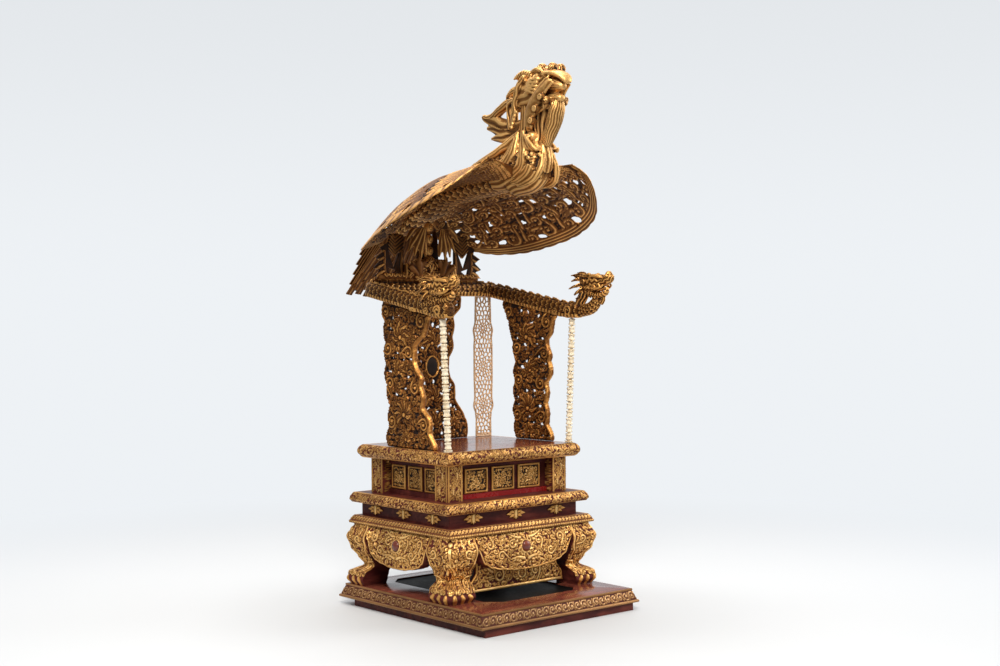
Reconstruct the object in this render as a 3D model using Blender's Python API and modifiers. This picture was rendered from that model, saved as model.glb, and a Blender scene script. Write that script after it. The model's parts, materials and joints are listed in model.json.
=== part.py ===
"""Throne altar: a carved and gilt wooden throne under a spread bird, on a footed stand and plinth.

Metres, +Z up. The origin is on the ground under the middle of the seat, and the front faces -Y.
"""
import math

import bmesh
import bpy
from mathutils import Vector
from mathutils.bvhtree import BVHTree

# Clearance between pieces that touch
GAP = 0.0003

# Plinth
PLINTH_MARGIN = 0.014
PLINTH_STEP = 0.103
PLINTH_BACK_MARGIN = 0.012
PLINTH_BASE_H = 0.014
PLINTH_FRAME_H = 0.026
PLINTH_SLOPE = 0.0115
PLINTH_SKIRT_SIDE = 0.011
PLINTH_SKIRT_FRONT = 0.004
PLINTH_SKIRT_BACK = 0.034
PLINTH_SIDE_RAIL = 0.081
PLINTH_FRONT_RAIL = 0.066
PLINTH_BACK_RAIL = 0.044
PLINTH_CORNER_CUT = 0.026
PLINTH_PANEL_SINK = 0.002

# Stand
STAND_W = 0.358
STAND_D = 0.308
STAND_Y = -0.006
STAND_H = 0.116
LEG_W = 0.062
ANKLE_W = 0.046
LEG_KNEE = 0.008
LEG_ANKLE = 0.016
LEG_TOE = 0.0085
APRON_T = 0.020
APRON_DROP = 0.071
APRON_END_DROP = 0.024
APRON_BULGE = 0.006
LOWER_PANEL_T = 0.008
LOWER_PANEL_LIFT = 0.010
STAND_TOP_H = 0.015
STAND_TOP_SLOPE = 0.008

# Waist, shelf and box
WAIST_INSET_X = 0.021
WAIST_INSET_Y = 0.0205
WAIST_H = 0.024
BAT_W = 0.046
BAT_H = 0.019
BAT_T = 0.0022
SHELF_INSET_X = 0.0085
SHELF_INSET_Y = 0.011
SHELF_H = 0.019
SHELF_NOSE = 0.006
BOX_INSET_X = 0.022
BOX_INSET_Y = 0.0265
BOX_H = 0.066
BOX_POST = 0.038
BOX_RECESS = 0.020
RAIL_PROUD = 0.004
BOTTOM_RAIL_H = 0.009
PANELS_PER_SIDE = 3
PANEL_T = 0.004
PANEL_CLEAR = 0.001
FRONT_PANEL_MARGIN = 0.01725
FRONT_PANEL_SPACE = 0.010
SIDE_PANEL_MARGIN = 0.007
SIDE_PANEL_SPACE = 0.0085

# Seat
SEAT_OVER_X = 0.0115
SEAT_OVER_Y = 0.0155
SEAT_H = 0.025
SEAT_NOSE = 0.006

# Bone posts
POST_R = 0.0066
POST_GROOVE = 0.0018
POST_BEADS = 14
POST_FOOT_H = 0.004
POST_FOOT_R = 0.0085
POST_INSET = 0.010
POST_SPLAY = 0.011
POST_SETBACK = 0.0105
POST_H = 0.240

# Dragon arms
ARM_RISE = 0.047
ARM_W = 0.022
ARM_H = 0.025
ARM_INSET = 0.003
ARM_BACK_INSET = 0.011
ARM_CORNER = 0.030
ARM_REACH = 0.0205
SPINE_H = 0.007
MANE_R = 0.027
DRAGON_REACH = 0.100

# Seat back and sides
BOARD_T = 0.012
SIDE_BOARD_INSET = 0.009
BACK_BOARD_INSET = 0.017
BACK_BOARD_FOOT = 0.094
BACK_BOARD_WAIST = 0.044
BACK_BOARD_TOP = 0.080
DISC_R = 0.017
DISC_H = 0.022
SPLAT_W = 0.040
SPLAT_T = 0.005
SPLAT_INSET = 0.024
BLOSSOM_H = 0.003
SCALLOP = 0.006
CREST_T = 0.010
CREST_H = 0.105
CREST_FLOWER_H = 0.040
CREST_BEAD_R = 0.0095

# Canopy
BODY_JOINT = 0.034
BODY_BACK_Y = 0.186
CANOPY_HALF_W = 0.241
CANOPY_LENGTH = 0.340
CANOPY_LIFT = 0.500
CANOPY_RISE = 0.180
CANOPY_SHIFT = 0.010
WING_BACK_INSET = 0.012
WING_RIDGE = 0.0015
WING_EDGE_T = 0.007
WING_DOME = 0.026
TAIL_W = 0.178
TAIL_FEATHERS = 5
TAIL_LAYERS = 3
TAIL_LENGTH = 0.150
TAIL_SLOPE = 52.0
FEATHER_T = 0.007

# Height of the bird's crown above the springing of the canopy
BIRD_H = 0.200

# Plan of each tier, stepped from the stand
PLINTH_W = STAND_W + 2 * PLINTH_MARGIN
PLINTH_FRONT = STAND_D / 2 - STAND_Y + PLINTH_STEP
PLINTH_BACK = STAND_D / 2 + STAND_Y + PLINTH_BACK_MARGIN
WAIST_W = STAND_W - 2 * WAIST_INSET_X
WAIST_D = STAND_D - 2 * WAIST_INSET_Y
SHELF_W = STAND_W - 2 * SHELF_INSET_X
SHELF_D = STAND_D - 2 * SHELF_INSET_Y
BOX_W = SHELF_W - 2 * BOX_INSET_X
BOX_D = SHELF_D - 2 * BOX_INSET_Y
SEAT_W = BOX_W + 2 * SEAT_OVER_X
SEAT_D = BOX_D + 2 * SEAT_OVER_Y
POST_Y = POST_SETBACK - SEAT_D / 2
ARM_X = SEAT_W / 2 - ARM_INSET
ARM_BACK_Y = SEAT_D / 2 - ARM_BACK_INSET
ARM_END_Y = POST_Y - ARM_REACH
SIDE_BOARD_X = SEAT_W / 2 - SIDE_BOARD_INSET
BACK_BOARD_Y = SEAT_D / 2 - BACK_BOARD_INSET
SPLAT_X = SEAT_W / 2 - SPLAT_INSET
CHEST_Y = BODY_BACK_Y - 1.12 * CANOPY_LENGTH

# Heights of the stacked tiers
PLINTH_TOP = PLINTH_BASE_H + GAP + PLINTH_FRAME_H
STAND_TOP_Z = PLINTH_TOP + GAP + STAND_H
WAIST_Z = STAND_TOP_Z + GAP + STAND_TOP_H + GAP
SHELF_Z = WAIST_Z + WAIST_H + GAP
BOX_Z = SHELF_Z + SHELF_H + GAP
SEAT_Z = BOX_Z + BOX_H + GAP
SEAT_TOP = SEAT_Z + SEAT_H
POST_TOP_Z = SEAT_TOP + GAP + POST_H
POST_TOP_X = SEAT_W / 2 - POST_INSET + POST_SPLAY
ARM_SLOPE = ARM_RISE / (BACK_BOARD_Y - POST_Y)
ARM_SWELL = 0.14
BACK_SPINE = 0.2


def clear_scene():
    for old in list(bpy.data.objects):
        bpy.data.objects.remove(old, do_unlink=True)


def new_collection(name, hidden=False):
    collection = bpy.data.collections.new(name)
    bpy.context.scene.collection.children.link(collection)
    collection.hide_render = hidden
    return collection


def material(name, colour, roughness, metallic=0.0):
    made = bpy.data.materials.new(name)
    made.use_nodes = True
    shader = made.node_tree.nodes["Principled BSDF"]
    shader.inputs["Base Color"].default_value = (*colour, 1.0)
    shader.inputs["Roughness"].default_value = roughness
    shader.inputs["Metallic"].default_value = metallic
    return made


def face_outwards(bm):
    bmesh.ops.recalc_face_normals(bm, faces=bm.faces)
    if bm.calc_volume(signed=True) < 0:
        bmesh.ops.reverse_faces(bm, faces=bm.faces)


def add_object(name, bm, finish, where):
    face_outwards(bm)
    mesh = bpy.data.meshes.new(name)
    bm.to_mesh(mesh)
    bm.free()
    mesh.materials.append(finish)
    made = bpy.data.objects.new(name, mesh)
    where.objects.link(made)
    return made


def as_tool(piece, cutters):
    """Move a shape that only cuts or joins into the hidden collection."""
    for collection in list(piece.users_collection):
        collection.objects.unlink(piece)
    cutters.objects.link(piece)
    piece.hide_render = True
    piece.display_type = "WIRE"
    return piece


def combine(target, tool, operation, cutters):
    as_tool(tool, cutters)
    modifier = target.modifiers.new(operation.title() + " " + tool.name, "BOOLEAN")
    modifier.operation = operation
    modifier.solver = "EXACT"
    modifier.object = tool


def loft(name, rings, finish, where):
    """Join rings of equal point count, first to last, with a flat cap at each end."""
    bm = bmesh.new()
    rows = [[bm.verts.new(point) for point in ring] for ring in rings]
    count = len(rows[0])
    for low, high in zip(rows, rows[1:]):
        for i in range(count):
            j = (i + 1) % count
            bm.faces.new((low[i], low[j], high[j], high[i]))
    bm.faces.new(rows[0][::-1])
    bm.faces.new(rows[-1])
    return add_object(name, bm, finish, where)


def flat_shape(name, outlines, thickness, finish, where):
    """A board cut from one outline, with any further outlines as holes through it."""
    curve = bpy.data.curves.new(name, "CURVE")
    curve.dimensions = "2D"
    curve.fill_mode = "BOTH"
    curve.extrude = thickness / 2
    for outline in outlines:
        spline = curve.splines.new("POLY")
        spline.points.add(len(outline) - 1)
        spline.use_cyclic_u = True
        for point, (x, y) in zip(spline.points, outline):
            point.co = (x, y, 0.0, 1.0)
    made = bpy.data.objects.new(name, curve)
    where.objects.link(made)
    bpy.context.view_layer.update()
    graph = bpy.context.evaluated_depsgraph_get()
    mesh = bpy.data.meshes.new_from_object(made.evaluated_get(graph))
    bpy.data.objects.remove(made)
    bm = bmesh.new()
    bm.from_mesh(mesh)
    bmesh.ops.remove_doubles(bm, verts=bm.verts, dist=0.00001)
    bpy.data.meshes.remove(mesh)
    return add_object(name, bm, finish, where)


def move_points(piece, rule):
    """Place every point of a finished mesh by a rule of its own coordinates."""
    bm = bmesh.new()
    bm.from_mesh(piece.data)
    for vertex in bm.verts:
        vertex.co = rule(*vertex.co)
    face_outwards(bm)
    bm.to_mesh(piece.data)
    bm.free()


def opening_corners(holes, columns, rows, size, skew):
    """Corners of the open cells, drawn in to the given size and skewed into leaf shapes."""
    corners = {}
    for column, row in holes:
        lean = skew if (column + row) % 4 < 2 else -skew
        for a in (0, 1):
            for b in (0, 1):
                across = size * (a - 0.5)
                upward = size * (b - 0.5)
                corners[column + a, row + b] = ((column + 0.5 + across + lean * upward) / columns,
                                                (row + 0.5 + upward - lean * across) / rows)
    return corners


def carved_board(name, columns, rows, low, high, holes, finish, where, size=0.72, skew=0.45):
    """A board on a grid of cells. low and high place its two faces, and holes are open cells."""
    corners = opening_corners(holes, columns, rows, size, skew)
    bm = bmesh.new()
    bmesh.ops.create_grid(bm, x_segments=columns, y_segments=rows, size=0.5)
    open_cells = []
    for face in bm.faces:
        middle = face.calc_center_median()
        cell = (int((middle.x + 0.5) * columns), int((middle.y + 0.5) * rows))
        if cell in holes:
            open_cells.append(face)
    bmesh.ops.delete(bm, geom=open_cells, context="FACES")
    first = set(bm.verts)
    bmesh.ops.extrude_face_region(bm, geom=list(bm.faces), use_keep_orig=True)
    for vertex in bm.verts:
        place = low if vertex in first else high
        s = vertex.co.x + 0.5
        t = vertex.co.y + 0.5
        s, t = corners.get((round(s * columns), round(t * rows)), (s, t))
        vertex.co = place(s, t)
    return add_object(name, bm, finish, where)


def turned(name, profile, sides, finish, where):
    """Turn a profile of (radius, height), from top to bottom, about the upright axis."""
    mesh = bpy.data.meshes.new(name)
    points = [(radius, 0.0, height) for radius, height in profile]
    edges = [(i, i + 1) for i in range(len(points) - 1)]
    mesh.from_pydata(points, edges, [])
    made = bpy.data.objects.new(name, mesh)
    where.objects.link(made)
    screw = made.modifiers.new("Turn", "SCREW")
    screw.axis = "Z"
    screw.steps = sides
    screw.render_steps = sides
    screw.use_merge_vertices = True
    screw.merge_threshold = 0.00001
    bpy.context.view_layer.update()
    graph = bpy.context.evaluated_depsgraph_get()
    solid = bpy.data.meshes.new_from_object(made.evaluated_get(graph))
    bpy.data.objects.remove(made)
    bm = bmesh.new()
    bm.from_mesh(solid)
    bpy.data.meshes.remove(solid)
    return add_object(name, bm, finish, where)


def curve_through(points, count):
    """Smooth curve through a few points, read at even steps from the first to the last."""
    keys = [Vector(point) for point in points]
    padded = [2 * keys[0] - keys[1]] + keys + [2 * keys[-1] - keys[-2]]
    spans = len(keys) - 1
    result = []
    for step in range(count):
        at = spans * step / (count - 1)
        span = min(int(at), spans - 1)
        t = at - span
        a, b, c, d = padded[span:span + 4]
        bend = (2 * a - 5 * b + 4 * c - d) * t * t + (3 * b - a - 3 * c + d) * t * t * t
        result.append(0.5 * (2 * b + (c - a) * t + bend))
    return result


def follow(table, at):
    """Read a smooth value from a table of (place, value) rows, with places rising."""
    if at <= table[0][0]:
        return table[0][1]
    for (a, low), (b, high) in zip(table, table[1:]):
        if at <= b:
            t = (at - a) / (b - a)
            t = t * t * (3 - 2 * t)
            return low + (high - low) * t
    return table[-1][1]


def block_outline(half_x, half_y, cut, centre_y=0.0):
    """Rectangle with small corner facets, anticlockwise."""
    points = []
    for sx, sy in ((1, -1), (1, 1), (-1, 1), (-1, -1)):
        along = (half_x - cut, half_y)
        across = (half_x, half_y - cut)
        order = (along, across) if sx * sy < 0 else (across, along)
        points += [(sx * x, centre_y + sy * y) for x, y in order]
    return points


def moulded_slab(name, width, depth, base, profile, cut, finish, where, centre_y=0.0):
    """Slab whose edge follows a profile of (height, distance outside the plain block)."""
    rings = []
    for height, out in profile:
        outline = block_outline(width / 2 + out, depth / 2 + out, cut, centre_y)
        rings.append([(x, y, base + height) for x, y in outline])
    return loft(name, rings, finish, where)


def ring_of(centre, across, upward, half_w, half_h, sides, turn=0.5):
    """Oval ring of points about a centre."""
    points = []
    for i in range(sides):
        angle = math.tau * (i + turn) / sides
        points.append(centre + across * half_w * math.cos(angle) + upward * half_h * math.sin(angle))
    return points


def tube(name, stations, sides, finish, where):
    """Loft ovals along a path in the YZ plane. A station is (x, y, z, half width, half depth)."""
    rings = []
    centres = [Vector(station[:3]) for station in stations]
    for i, station in enumerate(stations):
        before = centres[max(i - 1, 0)]
        after = centres[min(i + 1, len(stations) - 1)]
        along = (after - before).normalized()
        across = Vector((1, 0, 0))
        upward = along.cross(across).normalized()
        rings.append(ring_of(centres[i], across, upward, station[3], station[4], sides))
    return loft(name, rings, finish, where)


def ball(name, centre, radius, finish, where, stretch=(1, 1, 1)):
    bm = bmesh.new()
    bmesh.ops.create_uvsphere(bm, u_segments=7, v_segments=5, radius=radius)
    for vertex in bm.verts:
        vertex.co = Vector(centre) + Vector([c * s for c, s in zip(vertex.co, stretch)])
    return add_object(name, bm, finish, where)


def box(name, low, high, finish, where):
    bm = bmesh.new()
    bmesh.ops.create_cube(bm, size=1.0)
    for vertex in bm.verts:
        vertex.co = Vector([a + (b - a) * (c + 0.5) for a, b, c in zip(low, high, vertex.co)])
    return add_object(name, bm, finish, where)


def build_plinth(parts, cutters, finish):
    depth = PLINTH_FRONT + PLINTH_BACK
    middle = (PLINTH_BACK - PLINTH_FRONT) / 2
    side = PLINTH_W / 2
    low = (PLINTH_SKIRT_SIDE - side, PLINTH_SKIRT_FRONT - PLINTH_FRONT, 0.0)
    high = (side - PLINTH_SKIRT_SIDE, PLINTH_BACK - PLINTH_SKIRT_BACK, PLINTH_BASE_H)
    box("plinth_base", low, high, finish["maroon"], parts)
    base = PLINTH_BASE_H + GAP
    top = PLINTH_FRAME_H
    slope = PLINTH_SLOPE
    bead = 0.17 * top
    profile = ((0.0, 0.0), (bead, 0.0), (bead, -0.15 * slope), (0.55 * top, -0.35 * slope),
               (0.82 * top, -0.80 * slope), (top, -slope))
    frame = moulded_slab("plinth_frame", PLINTH_W, depth, base, profile, GAP, finish["gold"],
                         parts, middle)
    half_x = side - PLINTH_SIDE_RAIL
    half_y = (depth - PLINTH_FRONT_RAIL - PLINTH_BACK_RAIL) / 2
    centre = middle + (PLINTH_FRONT_RAIL - PLINTH_BACK_RAIL) / 2
    opening = moulded_slab("plinth_opening", 2 * half_x, 2 * half_y, base - top,
                           ((0.0, 0.0), (3 * top, 0.0)), PLINTH_CORNER_CUT, finish["gold"],
                           parts, centre)
    combine(frame, opening, "DIFFERENCE", cutters)
    moulded_slab("plinth_panel", 2 * half_x, 2 * half_y, base,
                 ((0.0, -GAP), (top - PLINTH_PANEL_SINK, -GAP)), PLINTH_CORNER_CUT,
                 finish["black"], parts, centre)


def leg_profile():
    """Rows of (share of the leg's height, outward offset, width of the leg, toe depth)."""
    return (
        (0.00, LEG_TOE * 0.4, ANKLE_W * 1.12, 0.0),
        (0.09, LEG_TOE, ANKLE_W * 1.16, 0.004),
        (0.19, LEG_TOE * 0.6, ANKLE_W * 1.08, 0.003),
        (0.32, -LEG_ANKLE, ANKLE_W, 0.001),
        (0.45, -LEG_ANKLE * 0.5, ANKLE_W, 0.003),
        (0.60, LEG_KNEE * 0.3, LEG_W * 0.92, 0.001),
        (0.78, LEG_KNEE, LEG_W, 0.003),
        (1.00, -LEG_KNEE * 0.5, LEG_W, 0.0),
    )


def build_legs(parts, finish):
    base = PLINTH_TOP + GAP
    face_points = 4
    for front in (True, False):
        for left in (True, False):
            sx = -1 if left else 1
            sy = -1 if front else 1
            rings = []
            for share, out, width, toes in leg_profile():
                corner = out
                inner_x = STAND_W / 2 - width
                inner_y = STAND_D / 2 - width
                outer_x = STAND_W / 2 + corner
                outer_y = STAND_D / 2 + corner
                ring = [(inner_x, inner_y)]
                for face in (0, 1):
                    for i in range(face_points):
                        t = i / face_points if face == 0 else (i + 1) / face_points
                        bump = toes * (i % 2)
                        round_off = 0.10 * width * (abs(t - 0.5 * (1 - face)) < 0.01)
                        if face == 0:
                            x = inner_x + (outer_x - inner_x) * t
                            ring.append((x, outer_y - bump - round_off))
                        else:
                            y = outer_y + (inner_y - outer_y) * t
                            ring.append((outer_x - bump - round_off, y))
                ring.insert(1 + face_points, (outer_x - 0.12 * width, outer_y))
                ring.insert(2 + face_points, (outer_x, outer_y - 0.12 * width))
                z = base + share * STAND_H
                rings.append([(sx * x, STAND_Y + sy * y, z) for x, y in ring])
            name = ("front" if front else "back") + ("_left" if left else "_right") + "_leg"
            loft(name, rings, finish["gold"], parts)


def apron_edge(share):
    """Drop of an apron's lower edge, with share 0 in the middle and 1 at the leg."""
    table = ((0.0, 1.0), (0.22, 0.99), (0.52, 0.90), (0.70, 0.80), (0.84, 0.62), (1.0, 0.0))
    return APRON_END_DROP + (APRON_DROP - APRON_END_DROP) * follow(table, share)


def apron(name, half_length, face_out, turn, finish, parts):
    """One apron, modelled along X with its front at -Y and then turned to its side."""
    top = STAND_TOP_Z - GAP
    columns = 14

    def face(s, t, out):
        x = half_length * (2 * s - 1)
        drop = apron_edge(abs(2 * s - 1))
        z = top - drop * (1 - t)
        if not out:
            y = APRON_T - face_out
        else:
            swell = APRON_BULGE * (math.sin(math.pi * (0.15 + 0.85 * t)) - 0.67 * t)
            inner = 0.0 < t < 1.0
            leaf = 0.33 * APRON_BULGE * math.cos(math.pi * columns * s) if inner else 0.0
            spread = math.hypot(x, z - top + 0.4 * APRON_DROP) / (0.2 * APRON_DROP)
            boss = 0.5 * APRON_BULGE * max(0.0, 1.0 - spread)
            y = -face_out - swell + leaf - boss
        if turn == "front":
            return (x, STAND_Y + y, z)
        if turn == "back":
            return (-x, STAND_Y - y, z)
        if turn == "left":
            return (y, STAND_Y - x, z)
        return (-y, STAND_Y + x, z)

    carved_board(name, columns, 2, lambda s, t: face(s, t, False), lambda s, t: face(s, t, True),
                 (), finish["gold"], parts)


def build_aprons(parts, finish):
    long_half = STAND_W / 2 - LEG_W - GAP
    short_half = STAND_D / 2 - LEG_W - GAP
    apron("front_apron", long_half, STAND_D / 2, "front", finish, parts)
    apron("back_apron", long_half, STAND_D / 2, "back", finish, parts)
    apron("left_apron", short_half, STAND_W / 2, "left", finish, parts)
    apron("right_apron", short_half, STAND_W / 2, "right", finish, parts)


def build_lower_panel(parts, finish):
    """Carved panel set back behind the front apron, a little clear of the plinth."""
    back = STAND_Y - STAND_D / 2 + APRON_T + GAP
    top = STAND_TOP_Z - GAP
    bottom = PLINTH_TOP + LOWER_PANEL_LIFT
    reach = STAND_W / 2 - LEG_W - 2 * GAP
    table = ((0.0, 1.0), (0.12, 0.99), (0.35, 0.86), (0.5, 0.86), (0.62, 0.96), (1.0, 0.99))

    def face(s, t, out):
        x = (2 * s - 1) * reach * follow(table, t)
        z = bottom + (top - bottom) * t
        inner = 0.0 < s < 1.0 and 0.0 < t < 1.0
        relief = 0.25 * LOWER_PANEL_T * math.cos(math.pi * (s * 8 + t * 4)) if inner else 0.0
        y = back - relief + 0.275 * LOWER_PANEL_T if out else back + LOWER_PANEL_T
        return (x, y, z)

    carved_board("lower_front_panel", 8, 4, lambda s, t: face(s, t, False),
                 lambda s, t: face(s, t, True), (), finish["gold"], parts)


def bat_outline():
    """Outline of a bat-shaped mount: spread wings, small head above and tail below."""
    half = ((0.0, 0.50), (0.12, 0.20), (0.28, 0.42), (0.50, 0.0), (0.24, -0.20),
            (0.10, -0.50), (0.0, -0.34))
    right = [(x * BAT_W, y * BAT_H) for x, y in half]
    left = [(-x, y) for x, y in right[1:-1]]
    return right + left[::-1]


def build_waist(parts, finish):
    moulded_slab("waist", WAIST_W, WAIST_D, WAIST_Z, ((0.0, 0.0), (WAIST_H, 0.0)), 0.0015,
                 finish["maroon"], parts)
    z = WAIST_Z + WAIST_H / 2
    out = GAP + BAT_T / 2
    for i in range(PANELS_PER_SIDE):
        share = (i - (PANELS_PER_SIDE - 1) / 2) / PANELS_PER_SIDE
        along = share * WAIST_W * 0.98
        across = share * WAIST_D * 0.98
        places = {
            "front": (along, -WAIST_D / 2 - out, 0.0),
            "left": (-WAIST_W / 2 - out, -across, -math.pi / 2),
            "right": (WAIST_W / 2 + out, across, math.pi / 2),
        }
        for side, (x, y, turn) in places.items():
            name = side + "_bat_" + str(i + 1)
            bat = flat_shape(name, [bat_outline()], BAT_T, finish["gold"], parts)
            bat.location = (x, y, z)
            bat.rotation_euler = (math.pi / 2, 0.0, turn)


def build_shelf(parts, finish):
    nose = SHELF_NOSE
    moulded_slab("shelf", SHELF_W, SHELF_D, SHELF_Z,
                 ((0.0, 0.0), (0.12 * SHELF_H, 0.5 * nose), (0.52 * SHELF_H, nose),
                  (0.85 * SHELF_H, 0.15 * nose), (SHELF_H, -0.3 * nose)), 0.004,
                 finish["gold"], parts)


def cross_outline(half_x, half_y, notch_x, notch_y):
    """Rectangle whose four corners are left out for the corner posts."""
    quarter = ((notch_x, -half_y), (notch_x, -notch_y), (half_x, -notch_y))
    points = list(quarter)
    points += [(x, -y) for x, y in reversed(quarter)]
    points += [(-x, -y) for x, y in quarter]
    points += [(-x, y) for x, y in reversed(quarter)]
    return points


def build_box(parts, finish):
    notch_x = BOX_W / 2 - BOX_POST - GAP
    notch_y = BOX_D / 2 - BOX_POST - GAP
    rings = []
    rail = BOTTOM_RAIL_H
    levels = ((0.0, RAIL_PROUD), (rail, RAIL_PROUD), (rail, 0.0), (BOX_H - rail, 0.0),
              (BOX_H - rail, RAIL_PROUD), (BOX_H, RAIL_PROUD))
    for height, proud in levels:
        half_x = BOX_W / 2 - BOX_RECESS + proud
        half_y = BOX_D / 2 - BOX_RECESS + proud
        outline = cross_outline(half_x, half_y, notch_x, notch_y)
        rings.append([(x, y, BOX_Z + height) for x, y in outline])
    loft("box_core", rings, finish["maroon"], parts)
    for front in (True, False):
        for left in (True, False):
            sx = -1 if left else 1
            sy = -1 if front else 1
            name = ("front" if front else "back") + ("_left" if left else "_right") + "_box_post"
            rings = []
            for height in (0.0, BOX_H):
                outline = block_outline(BOX_POST / 2, BOX_POST / 2, 0.0022)
                rings.append([(sx * (BOX_W - BOX_POST) / 2 + x, sy * (BOX_D - BOX_POST) / 2 + y,
                               BOX_Z + height) for x, y in outline])
            loft(name, rings, finish["gold"], parts)
    build_box_panels(parts, finish)


def build_box_panels(parts, finish):
    """Small framed panels in the recesses of the front and both sides."""
    z = BOX_Z + BOX_H / 2
    sides = {
        "front": (BOX_W, BOX_D, FRONT_PANEL_MARGIN, FRONT_PANEL_SPACE),
        "left": (BOX_D, BOX_W, SIDE_PANEL_MARGIN, SIDE_PANEL_SPACE),
        "right": (BOX_D, BOX_W, SIDE_PANEL_MARGIN, SIDE_PANEL_SPACE),
    }
    for side, (length, depth, margin, space) in sides.items():
        bay = length - 2 * (BOX_POST + margin)
        width = (bay - (PANELS_PER_SIDE - 1) * space) / PANELS_PER_SIDE
        pitch = width + space
        out = depth / 2 - BOX_RECESS
        for i in range(PANELS_PER_SIDE):
            centre = (i - (PANELS_PER_SIDE - 1) / 2) * pitch
            border = 0.10 * width
            half_w = width / 2
            half_h = BOX_H / 2 - BOTTOM_RAIL_H - PANEL_CLEAR
            rings = []
            for inset, proud in ((0.0, 0.0), (0.0, 1.0), (border, 1.0), (1.5 * border, 0.5),
                                 (3.2 * border, 0.6), (3.6 * border, 1.0)):
                y = -out - GAP - PANEL_T * proud
                ring = []
                for across, up in ((-1, -1), (1, -1), (1, 1), (-1, 1)):
                    x = centre + across * (half_w - inset)
                    height = z + up * (half_h - inset)
                    places = {"front": (x, y, height), "left": (y, -x, height),
                              "right": (-y, x, height)}
                    ring.append(places[side])
                rings.append(ring)
            loft(side + "_box_panel_" + str(i + 1), rings, finish["gold"], parts)


def build_seat(parts, finish):
    nose = SEAT_NOSE
    moulded_slab("seat", SEAT_W, SEAT_D, SEAT_Z,
                 ((0.0, -0.5 * nose), (0.14 * SEAT_H, 0.2 * nose), (0.50 * SEAT_H, nose),
                  (0.80 * SEAT_H, 0.45 * nose), (SEAT_H, -0.5 * nose)), 0.006,
                 finish["lacquer"], parts)


def arm_under(y):
    """Height of the arms' underside: level over the posts, then one straight slope to the back."""
    return POST_TOP_Z + GAP + max(0.0, y - POST_Y - POST_R) * ARM_SLOPE


def crest_base():
    """Height that clears the top of the arms where they run along the back."""
    highest = ARM_H * (1.0 + ARM_SWELL / 2) + SPINE_H * BACK_SPINE
    return arm_under(ARM_BACK_Y + ARM_W / 2) + highest + GAP


def build_posts(parts, finish):
    pitch = (POST_H - POST_FOOT_H) / POST_BEADS
    profile = [(0.0, POST_H)]
    for i in range(POST_BEADS):
        top = POST_H - i * pitch
        profile.append((POST_R - POST_GROOVE, top))
        profile.append((POST_R, top - 0.5 * pitch))
    profile += [(POST_R - POST_GROOVE, POST_FOOT_H), (POST_FOOT_R, POST_FOOT_H),
                (POST_FOOT_R, 0.0), (0.0, 0.0)]
    foot_x = SEAT_W / 2 - POST_INSET
    for sx, side in ((-1, "left"), (1, "right")):
        post = turned(side + "_bone_post", profile, 6, finish["bone"], parts)

        def lean(x, y, z):
            return (sx * (foot_x + POST_SPLAY * z / POST_H) + x, POST_Y + y, SEAT_TOP + GAP + z)

        move_points(post, lean)


def scallop(t, lobes, depth):
    """Edge cut into rounded lobes."""
    return depth * (abs(math.sin(math.pi * lobes * t)) - 0.6)


def blossom(s, t, centres, reach):
    """Relief height of flowers placed at some of the board's (s, t) places."""
    best = 0.0
    for cs, ct in centres:
        best = max(best, 1.0 - math.hypot((s - cs) * 0.8, (t - ct) * 2.6) / reach)
    return best


def board_holes(columns, rows):
    """Open cells of a pierced board, none of which touch each other."""
    holes = set()
    for row in range(1, rows - 1, 2):
        start = 1 if row % 4 == 1 else 2
        holes.update((column, row) for column in range(start, columns - 1, 2))
    return holes


def build_side_boards(parts, finish):
    """Two pierced side boards, carved a little differently at their front edges."""
    half = SEAT_D / 2
    back_edges = {
        "left": ((0.0, 0.44), (0.25, 0.39), (0.5, 0.47), (0.75, 0.49), (1.0, 0.53)),
        "right": ((0.0, 0.25), (0.18, 0.28), (0.42, 0.27), (0.6, 0.26), (0.75, 0.32), (0.9, 0.43),
                  (1.0, 0.54)),
    }
    front_edges = {
        "left": ((0.0, -0.68), (0.12, -0.59), (0.22, -0.55), (0.32, -0.42), (0.5, -0.39),
                 (0.60, -0.26), (0.72, -0.22), (0.84, -0.45), (1.0, -0.58)),
        "right": ((0.0, -0.58), (0.20, -0.49), (0.42, -0.49), (0.55, -0.57), (0.65, -0.57),
                  (0.75, -0.50), (0.87, -0.58), (1.0, -0.68)),
    }
    columns = 5
    rows = 14
    flowers = ((0.5, 0.12), (0.5, 0.38), (0.5, 0.62), (0.5, 0.86))
    for sx, side in ((-1, "left"), (1, "right")):

        def face(s, t, out):
            back = half * follow(back_edges[side], t) + scallop(t, 7, SCALLOP)
            front = half * follow(front_edges[side], t) - scallop(t + 0.04, 6, SCALLOP)
            y = back + (front - back) * s
            z = SEAT_TOP + GAP + (arm_under(y) - GAP - SEAT_TOP - GAP) * t
            rim = s in (0.0, 1.0)
            relief = 0.0 if rim else BLOSSOM_H * (blossom(s, t, flowers, 0.45) - 0.33)
            depth = BOARD_T / 2 + relief
            return (sx * SIDE_BOARD_X + (depth if out else -depth), y, z)

        carved_board(side + "_side_board", columns, rows, lambda s, t: face(s, t, False),
                     lambda s, t: face(s, t, True), board_holes(columns, rows),
                     finish["antique"], parts)


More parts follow.
